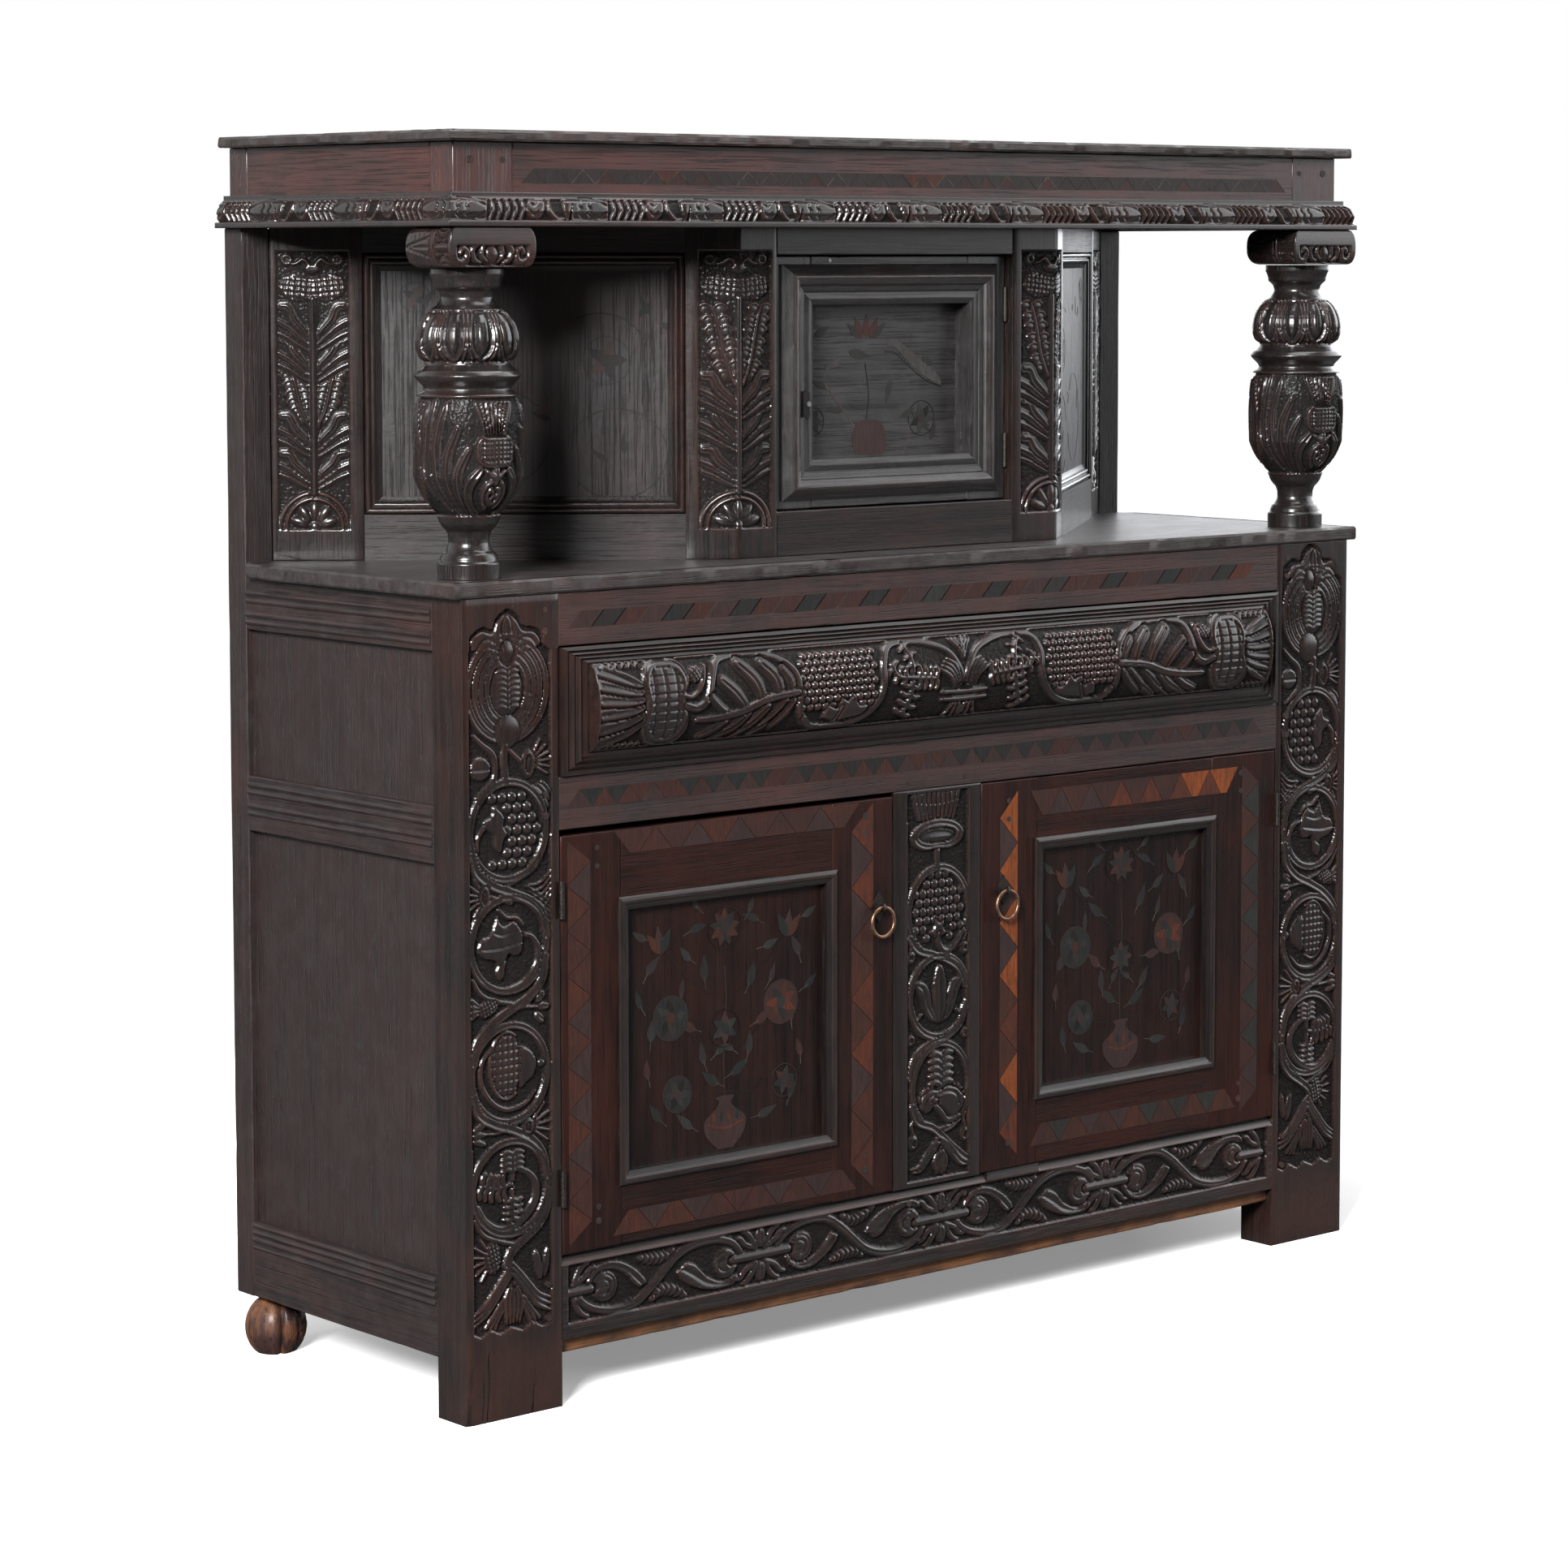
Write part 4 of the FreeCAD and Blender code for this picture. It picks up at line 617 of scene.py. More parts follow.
    c.stroke(at([(78, 484), (92, 484), (108, 482)]), 2.6, -0.5, (1, 0.7))
    for a, b in (((98, 484), (120, 500)), ((100, 482), (124, 482)), ((98, 480), (118, 464))):
        c.cut(at([a, b]), 1.4, 1.4)

    # acorn
    c.band(at(oval(66, 408, 55, 57)), *RING)
    c.plate(at(curve_through([(80, 441), (92, 438), (103, 428), (107, 416), (103, 403), (92, 394), (80, 392),
        (80, 441)])), 0, 4, True)
    c.dome(x(113), 415 + lift, 5.5, 5.5, -0.3, over=True)
    c.hatched(at(oval(62, 418, 22, 37)), (8.2, 8.8), 0, 0, 1.6)
    c.stroke(at(oval(62, 418, 24.5, 39.5, 60, 300)), 2.2, -0.8)
    c.stroke(at([(40, 440), (26, 424), (26, 400), (40, 378), (62, 366), (88, 370), (104, 384)]), 3.4, -0.5,
             (0.6, 0.4), 0.7)
    c.band(at([(14, 385), (22, 364), (44, 350), (72, 340), (98, 326), (114, 306), (120, 280)]), *VINE)
    c.stroke(at([(118, 385), (106, 366), (88, 352), (66, 346)]), 3.4, -0.6, (0.6, 1))
    for dz, l in ((9, 22), (0, 30), (-9, 24)):
        c.plate(at(oval(22, 341 + dz, 11, 4.6, turn=dz * 2)), -0.4, 2.2)
    c.stroke(at([(32, 341), (46, 340), (62, 342)]), 2.4, -0.5, (1, 1))
    c.rays(x(93), 342 + lift, 8, 34, facing((-34, -14, 6, 26, 48), not flip), 2.2, -0.7)
    c.dome(x(93), 342 + lift, 10, 12, 0, over=True)
    c.dome(x(93), 342 + lift, 4.5, 6, -2.4, over=True)

    # four-part sprig
    c.band(at(oval(66, 273, 55, 55)), *RING)
    c.stroke(at([(19, 258), (30, 238), (52, 225), (80, 232), (100, 250), (104, 272), (92, 288), (80, 292)]),
             6.2, -0.1, (0.35, 0.4), 1.0)
    c.stroke(at([(70, 312), (70, 285), (69, 260), (70, 234)]), 2.4, 0, (0.8, 0.6), over=True)
    c.stroke(at([(25, 281), (44, 275), (68, 277)]), 2.6, 0, (0.6, 1), 1.0, over=True)
    c.leaflets(at([(70, 290), (70, 300), (70, 314)]), 15, 4, 70, -0.2)
    c.leaflets(at([(70, 262), (70, 250), (70, 236)]), 13, 4, 70, -0.2)
    c.leaflets(at([(62, 276), (44, 275), (24, 281)]), 15, 5, 75, -0.2)
    c.band(at([(121, 262), (118, 240), (104, 222), (82, 208), (66, 196), (60, 182)]), *VINE)
    c.stroke(at([(14, 240), (28, 222), (50, 212), (76, 204)]), 3.4, -0.6, (0.6, 1))
    outer = facing((-56, -34, -12, 10, 32, 54), flip)
    c.rays(x(40) if not flip else 85, 193 + lift, 10, 30, outer, 2.1, -0.7)
    c.hatched(np.array(oval(x(40) if not flip else 88, 193 + lift, 12, 19)), (5, 5.4), 0, 15)
    for part in (oval(106, 176, 7, 20, turn=12), oval(118, 178, 6, 19, turn=-8)):
        c.plate(at(part), -0.3, 3)

    # splayed leaf at the foot
    c.reeds(at([(68, 188), (46, 162), (28, 142), (12, 132)]), at([(68, 168), (50, 146), (32, 126),
        (12, 114)]), 3, -0.2, (0.6, 0.6))
    c.reeds(at([(68, 188), (88, 166), (106, 146), (124, 138)]), at([(68, 168), (86, 146), (104, 126),
        (123, 116)]), 3, -0.2, (0.6, 0.6))
    c.reeds(at([(66, 162), (55, 140), (58, 112)]), at([(72, 162), (85, 138), (80, 112)]), 5, -0.3, (0.3, 0.5))
    c.reeds(at([(56, 146), (40, 128), (26, 112)]), at([(56, 128), (48, 116), (46, 108)]), 3, -1.2, (0.4, 0.6))
    c.reeds(at([(84, 146), (98, 128), (112, 112)]), at([(84, 128), (90, 116), (92, 108)]), 3, -1.2,
            (0.4, 0.6))
    c.ease()
    c.scuffed = np.clip(1.5 - c.z / 125, 0, 1)
    if not flip:
        # the left foot has split
        for split, high, half in ((4, 96, 3.5), (23, 60, 0.9), (31, 84, 1.1), (96, 38, 0.9)):
            c.cut([(split - 2, 0), (split + 1, high * 0.5), (split, high)], half, 3.2, (1, 0.1))
    return c


def fit(piece, *replaced, body="root", slot="carved_oak"):
    """Tells the frame what a piece rides on and the plain solids it replaces. Its kind of finish, slot, is
    not used.
    """
    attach(piece, body)
    if replaced:
        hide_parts(*replaced)


FRONT = -225.0


def front_face(left, foot):
    """Places a carving on the case's front, from its lower left corner."""
    return lambda x, z, h: (x + left, FRONT - h, z + foot)


for side, left in (("left", -755), ("right", 615)):
    stile = carved_piece(f"{side}_stile", [(stile_face(side == "right"), front_face(left, 0), 57)],
        CARVED["z"])
    fit(stile, f"front_{side}_stile")

# Rear posts: slender squared oak posts that run from the worn turned feet up to the canopy.
# They are planed, not carved, and their arrises are rubbed round.


def boards(name, rows, finish=OAK, wear=1.3, ragged=0.6):
    """Planed boards with rubbed arrises. A row is a low corner, a high corner and the way of the grain."""
    points, faces, smooth, worn, slots = [], [], [], [], []
    start = 0
    for low, high, run in rows:
        a = "xyz".index(run)
        b, c = (a + 1) % 3, (a + 2) % 3
        inner = np.linspace(low[a] + 1.4, high[a] - 1.4, max(2, int((high[a] - low[a]) / 20)))
        s = np.concatenate([[low[a]], inner, [high[a]]])
        rows_of_points = np.zeros((len(s), 12, 3))
        rub = np.zeros((len(s), 12))
        turns = (((0, 0), (0, 1), (1, 0)), ((1, 0), (-1, 0), (0, 1)), ((1, 1), (0, -1), (-1, 0)),
                 ((0, 1), (1, 0), (0, -1)))
        for k, (corner, before, after) in enumerate(turns):
            r = wear * (1 - ragged + 2 * ragged * np.convolve(chance.random(len(s) + 4), np.ones(5) / 5,
                "valid"))
            r = r * (1 + ragged * (chance.random(len(s)) > 0.93))
            at = [(high if corner[0] else low)[b], (high if corner[1] else low)[c]]
            inward = np.array([1 - 2 * corner[0], 1 - 2 * corner[1]]) * 0.3
            for j, step in enumerate((before, inward, after)):
                rows_of_points[:, 3 * k + j, b] = at[0] + step[0] * r
                rows_of_points[:, 3 * k + j, c] = at[1] + step[1] * r
            rub[:, 3 * k + 1] = np.clip(0.3 + 0.5 * r / wear, 0, 1)
        for end in (0, -1):
            for axis in (b, c):
                mid = (low[axis] + high[axis]) / 2
                half = (high[axis] - low[axis]) / 2
                rows_of_points[end, :, axis] = mid + (rows_of_points[end, :, axis] - mid) * (1 - 0.6 / half)
        rows_of_points[:, :, a] = s[:, None]
        for i in range(len(s) - 1):
            for j in range(12):
                p, q = start + 12 * i + j, start + 12 * i + (j + 1) % 12
                faces.append([p, q, q + 12, p + 12])
                smooth.append(j % 3 != 2)
        faces += [list(range(start, start + 12)), list(range(start + 12 * (len(s) - 1), start + 12 * len(s)))]
        smooth += [False, False]
        slots += [a] * (12 * (len(s) - 1) + 2)
        points.append(rows_of_points.reshape(-1, 3))
        worn.append(rub.ravel())
        start += 12 * len(s)
    return solid(name, points, faces, finish.values(), smooth, slots, worn=worn)


for side, left in (("left", -755), ("right", 715)):
    post = boards(f"{side}_rear_post", [((left, 217, 72), (left + 40, 255, 1390), "z")], wear=2.0)
    fit(post, f"rear_{side}_post", slot="plain_oak")

# Rear feet: squat turned buns under the rear posts. Damp floors and brooms have worn them
# down to raw wood, with two lobes left of the turning.

bare_foot = oak("worn_foot", "z", redness=0.8, bare=0.62, gloss=0.5)


def tube(start, rows, cols):
    """Faces that close rows of points round a piece, with a cap at each end."""
    grid = start + np.arange(rows * cols).reshape(rows, cols)
    side = np.roll(grid, -1, axis=1)
    quads = np.stack([grid[:-1], side[:-1], side[1:], grid[1:]], -1)
    return quads.reshape(-1, 4).tolist() + [grid[0].tolist(), grid[-1].tolist()]


def worn_buns(middles, radius=39.0, tall=72.0, turns=72):
    """Buns split by deep grooves, one of their lobes hacked rough."""
    z = np.linspace(0, tall, 27)
    angle = np.linspace(0, 2 * np.pi, turns, endpoint=False)
    swell = np.sqrt(np.clip(1 - ((z - 31) / 42) ** 2, 0.12, 1))[:, None]
    points, faces = [], []
    for k, (x, y) in enumerate(middles):
        far = radius * swell * np.ones(turns)
        for groove, wide, deep in ((-1.95, 0.10, 0.22), (-1.2, 0.05, 0.08), (1.2, 0.09, 0.18),
            (2.9, 0.06, 0.1)):
            off = np.abs((angle - groove + np.pi) % (2 * np.pi) - np.pi)
            far = far * (1 - deep * np.exp(-((off / wide) ** 2)))
        hacked = np.exp(-((((angle + 1.15 + np.pi) % (2 * np.pi) - np.pi) / 0.6) ** 2))
        far = far - hacked * swell * (3 + 2.2 * chance.random((len(z), turns)))
        grid = [x + far * np.cos(angle), y + far * np.sin(angle), z[:, None] + far * 0]
        points.append(np.stack(grid, -1).reshape(-1, 3))
        faces += tube(k * len(z) * turns, len(z), turns)
    return solid("worn_feet", points, faces, [bare_foot], crease=50)


fit(worn_buns([(-724, 215), (724, 215)]), "rear_feet", slot="plain_oak")

# Front rails: the top and middle rails carry a band of small inlaid teeth, green-black and
# orange-red by turns. The base rail is carved; it is tenoned and pegged into the stiles.


def shaped(name, parts, materials):
    """Flat pieces of veneer or plate. A part is an outline, how to place it, its thickness and a material."""
    points, faces, slots = [], [], []
    for outline, spot, thick, slot in parts:
        p = np.asarray(outline, float)
        n, start = len(p), sum(len(part) for part in points)
        for h in (0.0, -thick):
            placed = spot(p[:, 0], p[:, 1], np.full(n, h))
            points.append(np.stack([np.broadcast_to(v, (n,)) for v in placed], -1))
        faces += [list(range(start, start + n)), list(range(start + n, start + 2 * n))]
        faces += [[start + k, start + (k + 1) % n, start + n + (k + 1) % n, start + n + k] for k in range(n)]
        slots += [slot] * (n + 2)
    return solid(name, points, faces, materials, slots=slots)


def veneer(name, light, dark, gloss=0.4, grime=0.6):
    """A thin wood set into the oak, stained and faded in patches."""
    f = Finish(name)
    streak = f.noise(f.stretched((60.0, 60.0, 7.0)), 7.0, 5.0, 0.6, 0.3)
    patch = f.noise(f.place, 21.0, 4.0, 0.65)
    colour = f.mix(streak.spread(0.35, 0.68), dark, light)
    colour = f.mix(patch.spread(0.42, 0.7) * grime, colour, (0.02, 0.012, 0.0105))
    specks = f.noise(f.place, 160.0, 3.0, 0.7)
    colour = f.mix(specks.spread(0.6, 0.75) * 0.5, colour, (0.012, 0.008, 0.007))
    relief = f.bump(streak + specks * 0.5, 0.0004, 0.5)
    return f.surface(Base_Color=colour, Roughness=gloss + patch * 0.15, Normal=relief, Specular_IOR_Level=0.3,
                     Coat_Weight=0.1, Coat_Roughness=0.25)


INLAYS = [
    veneer("orange_inlay", (0.125, 0.030, 0.013), (0.052, 0.016, 0.0095)),
    veneer("green_black_inlay", (0.018, 0.021, 0.0195), (0.0075, 0.0085, 0.008)),
    veneer("rosy_inlay", (0.05, 0.027, 0.025), (0.026, 0.0145, 0.013)),
    veneer("grey_green_inlay", (0.032, 0.033, 0.029), (0.014, 0.015, 0.0135)),
    veneer("pale_string", (0.11, 0.09, 0.075), (0.03, 0.022, 0.019), grime=0.95),
    veneer("dull_red_inlay", (0.06, 0.02, 0.0145), (0.028, 0.0115, 0.0095)),
    veneer("bright_inlay", (0.30, 0.078, 0.019), (0.13, 0.033, 0.012), grime=0.4),
    veneer("faint_inlay", (0.03, 0.023, 0.022), (0.0165, 0.012, 0.0115)),
    veneer("faint_red_inlay", (0.05, 0.019, 0.0155), (0.026, 0.012, 0.0105), grime=0.8),
    veneer("dark_string", (0.006, 0.0045, 0.004), (0.0035, 0.003, 0.0028)),
    veneer("ember_inlay", (0.075, 0.0225, 0.0125), (0.036, 0.0125, 0.0085)),
    veneer("pale_leaf", (0.085, 0.08, 0.078), (0.034, 0.031, 0.03), grime=0.5),
]


def baked(name, tree, values, places=()):
    """Makes a plain mesh of what a node tree grows from its named values and from places in millimetres."""
    mesh = bpy.data.meshes.new(name)
    mesh.from_pydata([[v / 1000 for v in place] for place in places], [], [])
    piece = bpy.data.objects.new(name, mesh)
    bpy.context.scene.collection.objects.link(piece)
    rule = piece.modifiers.new("rule", "NODES")
    rule.node_group = tree
    for item in tree.interface.items_tree:
        if item.name in values:
            rule[item.identifier] = values[item.name]
    made = piece.evaluated_get(bpy.context.evaluated_depsgraph_get())
    mesh = bpy.data.meshes.new_from_object(made)
    piece.modifiers.clear()
    piece.data = mesh
    mesh.name = name
    return piece


def tree_with(name, **sockets):
    """A Geometry Nodes tree, the works to write it with and its inputs by name."""
    tree = bpy.data.node_groups.new(name, "GeometryNodeTree")
    for key, kind in sockets.items():
        tree.interface.new_socket(key.replace("_", " "), in_out="INPUT", socket_type="NodeSocket" + kind)
    tree.interface.new_socket("Geometry", in_out="OUTPUT", socket_type="NodeSocketGeometry")
    works = Works(tree, "GeometryNode")
    given = tree.nodes.new("NodeGroupInput")
    return tree, works, {key: Socket(works, given.outputs[place]) for place, key in enumerate(sockets)}


row_tree, g, ask = tree_with(
    "inlaid_row", Teeth="Int", Start="Vector", Step="Vector", Tooth="Object", Seed="Int", Bright="Float",
    Bright_Wood="Material", Dull_Wood="Material")
line = g.node("MeshLine", {}, {"Count": ask["Teeth"], "Start Location": ask["Start"], "Offset": ask["Step"]})
tooth = g.node("ObjectInfo", {}, {0: ask["Tooth"]}, out=4)
set_out = g.node("InstanceOnPoints", {}, {"Points": line, "Instance": tooth})
lucky = g.node("FunctionNodeRandomValue", {"data_type": "BOOLEAN"}, {"Probability": ask["Bright"],
    "Seed": ask["Seed"]}, out=3)
marked = g.node("StoreNamedAttribute", {"data_type": "BOOLEAN", "domain": "INSTANCE"},
                {"Geometry": set_out, "Name": "bright", "Value": lucky})
loose = g.node("RealizeInstances", {}, {"Geometry": marked})
dulled = g.node("SetMaterial", {}, {"Geometry": loose, "Material": ask["Dull_Wood"]})
bright = g.node("InputNamedAttribute", {"data_type": "BOOLEAN"}, {"Name": "bright"})
finished = g.node("SetMaterial", {}, {"Geometry": dulled, "Selection": bright,
    "Material": ask["Bright_Wood"]})
g.node("NodeGroupOutput", {}, {0: finished})


def inlaid_row(name, body, start, along, upright, count, tooth, bright=0.5, woods=(0, 1), lift=0.35):
    """A row of teeth let into the wood. along runs its whole length from start, upright is the way up
    a tooth, both in millimetres, and the tooth's outline is in shares of its pitch and height."""
    step, rise = np.array(along, float) / count, np.array(upright, float)
    out = np.cross(step, rise)
    out = out / np.linalg.norm(out)
    out = out if out[1] < 0 else -out

    def spot(x, z, h):
        return tuple(x * step[k] + z * rise[k] + (h + lift) * out[k] for k in range(3))

    one = shaped(name + "_tooth", [(tooth, spot, 1.6, 0)], INLAYS[:1])
    row = baked(name, row_tree, {
        "Teeth": count, "Start": [v / 1000 for v in start], "Step": (step / 1000).tolist(), "Tooth": one,
        "Seed": len(bpy.data.objects), "Bright": bright, "Bright Wood": INLAYS[woods[0]],
        "Dull Wood": INLAYS[woods[1]]})
    bpy.data.objects.remove(one)
    fit(row, body=body)


TRIANGLE = [(0.02, 0.0), (0.98, 0.0), (0.5, 1.0)]
HANGING = [(0.52, 1.0), (1.0, 0.0), (1.48, 1.0)]
BLUNT = [(0.02, 1.0), (0.40, 0.0), (0.60, 0.0), (0.98, 1.0)]
BETWEEN = [(0.62, 0.0), (1.38, 0.0), (1.0, 1.0)]
SLANTED_THIRD = [(0.0, 0.0), (0.33, 0.0), (0.51, 1.0), (0.18, 1.0)]
DUSTY = each_way("dusty_oak_", (0.012, 0.0078, 0.007), (0.035, 0.0205, 0.0178), (0.064, 0.0205, 0.015),
                 redness=0.7, polish=0.4, gloss=0.4, haze=0.11)

top_rail = boards("front_top_rail_board", [((-615, FRONT, 903), (615, -190, 966), "x")], DUSTY, 1.6)
fit(top_rail, "front_top_rail")
for number, woods in enumerate(((5, 2), (3, 1), (0, 5))):
    inlaid_row(f"top_rail_teeth_{number}", "root", (-600 + 33 * number, FRONT, 924), (1155, 0, 0), (0, 0, 19),
               11, SLANTED_THIRD, 0.4, woods)
middle_rail = boards("front_middle_rail_board", [((-615, FRONT, 687), (615, -190, 750), "x")], DUSTY, 1.6)
fit(middle_rail, "front_middle_rail")
inlaid_row("middle_rail_teeth", "root", (-604, FRONT, 712), (1190, 0, 0), (0, 0, 21), 32, TRIANGLE, 0.55,
           (2, 5))
inlaid_row("middle_rail_gaps", "root", (-604, FRONT, 712), (1153, 0, 0), (0, 0, 21), 31, HANGING, 0.75,
           (1, 5))


def base_rail_face():
    c = Carving(np.linspace(0, 1230, 1230 * 10 // 15 + 1), lines(0, 100, 1.5, 16, 91, 7), 5.0)
    c.sink([(10, 19), (1221, 19), (1221, 87.5), (10, 87.5)])
    rods = ((10, 45), (265, 355), (568, 657), (872, 947), (1165, 1210))
    mid = 53.5
    for number, ((_, a), (b, _)) in enumerate(zip(rods, rods[1:])):
        k = (b - a) / 225.0
        flip = number % 2

        def at(points):
            p = np.array(points, float)
            p[:, 0] = a + (p[:, 0] - 55) * k
            p[:, 1] = (p[:, 1] - 62) * 0.98
            if flip:
                p[:, 1] = -p[:, 1]
            p[:, 1] += mid
            return p

        # small striped leaves in the corners of the crossing
        for points in ([(132, 88), (150, 84), (172, 84), (184, 90)], [(150, 34), (164, 42), (182, 40),
            (204, 30)]):
            path = curve_through(at(points))
            c.stroke(path, 8, -1.2, (0.5, 0.4))
            for s in np.linspace(0.1, 0.85, 6):
                i = int(s * (len(path) - 1))
                d = path[min(i + 1, len(path) - 1)] - path[max(i - 1, 0)]
                d = d / np.hypot(*d)
                n = np.array([-d[1], d[0]])
                c.cut(np.array([path[i] - n * 8 - d * 2, path[i] + d * 2.5, path[i] + n * 8 - d * 2]), 1.7,
                      2.4, (0.8, 0.8))
        # broad crescent leaves with a hollow face
        for outer, inner in (
            ([(46, 70), (56, 84), (74, 93), (96, 92), (118, 82), (136, 68), (144, 56)],
             [(56, 66), (72, 79), (90, 79), (108, 70), (122, 56), (130, 50)]),
            ([(186, 62), (200, 46), (226, 33), (256, 28), (282, 31), (292, 44)],
             [(196, 66), (206, 72), (222, 66), (238, 50), (262, 40), (280, 44)]),
        ):
            o, i = curve_through(at(outer)), curve_through(at(inner))
            c.plate(np.vstack([o, i[::-1]]), -0.2, 3, True)
            m = min(len(o), len(i))
            half_o, half_i = (line[np.linspace(0, len(line) - 1, m).astype(int)] for line in (o, i))
            c.cut((half_o * 0.45 + half_i * 0.55)[2:-2], 6.0, 1.7, (0.3, 0.3))
        # leaves curling round the eyes
        for cx, cz, spin in ((76, 62, 1), (268, 60, -1)):
            centre = at([(cx, cz)])[0]
            c.plate(oval(*centre, 21, 20), -0.8, 4, True)
            way = -1 if flip else 1
            for r in (15, 8.5):
                arc = oval(centre[0] - spin * 2, centre[1], r * 1.1, r, -110, 80)
                arc[:, 0] = centre[0] + (arc[:, 0] - centre[0]) * spin
                arc[:, 1] = centre[1] + (arc[:, 1] - centre[1]) * way
                c.cut(arc, 1.8, 2.0, (0.3, 0.8))
        c.dome(a + 2, mid, 7.5, 7.5, -4.6, over=True)
        c.dome(b - 2, mid, 7.5, 7.5, -4.6, over=True)
        # the long vine
        vine = [(34, 62), (42, 48), (62, 36), (92, 30), (122, 33), (146, 47), (168, 65), (190, 82), (216, 91),
                (248, 93), (276, 86), (292, 72), (298, 60)]
        c.stroke(curve_through(at(vine)), 6.0, 0, (0.5, 0.5), 1.3, over=True)
    # palmettes above and below the rods, then the rods themselves
    for a, b in rods:
        cx = (a + b) / 2 if 10 < a < 1160 else (12 if a < 100 else 1214)
        for way in (1, -1):
            if 100 < cx < 1200:
                c.plate(np.array(oval(cx, mid + way * 21, 9.5, 14)), -0.4, 4)
                c.cut([(cx, mid + way * 8), (cx, mid + way * 34)], 1.5, 1.6)
            for side in (1, -1):
                for reach, rise in ((22, 30), (32, 24)):
                    c.stroke([(cx + side * 6, mid + way * 8), (cx + side * (reach - 8),
                        mid + way * (rise - 8)), (cx + side * reach, mid + way * rise),
                        (cx + side * (reach + 7), mid + way * (rise + 2))], 4.0, -0.8, (0.5, 0.6), 0.7)
        c.stroke([(a, mid), ((a + b) / 2, mid), (b, mid)], 5.2, 0, over=True)
    # sloping bevel along the top, broken off over the muntin's foot
    slope = np.clip((c.z - 89) / 10, 0, 1)
    gap = (c.x > 690) & (c.x < 690 + 95)
    c.h = np.where((c.z > 89) & ~gap, -7.0 * slope, c.h)
    c.h = np.where((c.z > 88.2) & gap, -2.2 * (c.z > 92), c.h)
    return c


base_rail = carved_piece("base_rail", [(base_rail_face(), front_face(-615, 80), 35)], CARVED["x"])
fit(base_rail, "front_base_rail")
raw_strip = oak("raw_strip", "x", redness=0.8, bare=0.8, gloss=0.6)
strip = boards("rough_strip", [((-615, -215, 61), (615, -195, 80), "x")], {run: raw_strip for run in "xyz"},
               2.6, 0.9)
fit(strip, "plinth_strip", slot="inner_oak")

# Muntin: the carved upright between the two doors, tenoned into the rails, with the same vine
# climbing through its medallions.


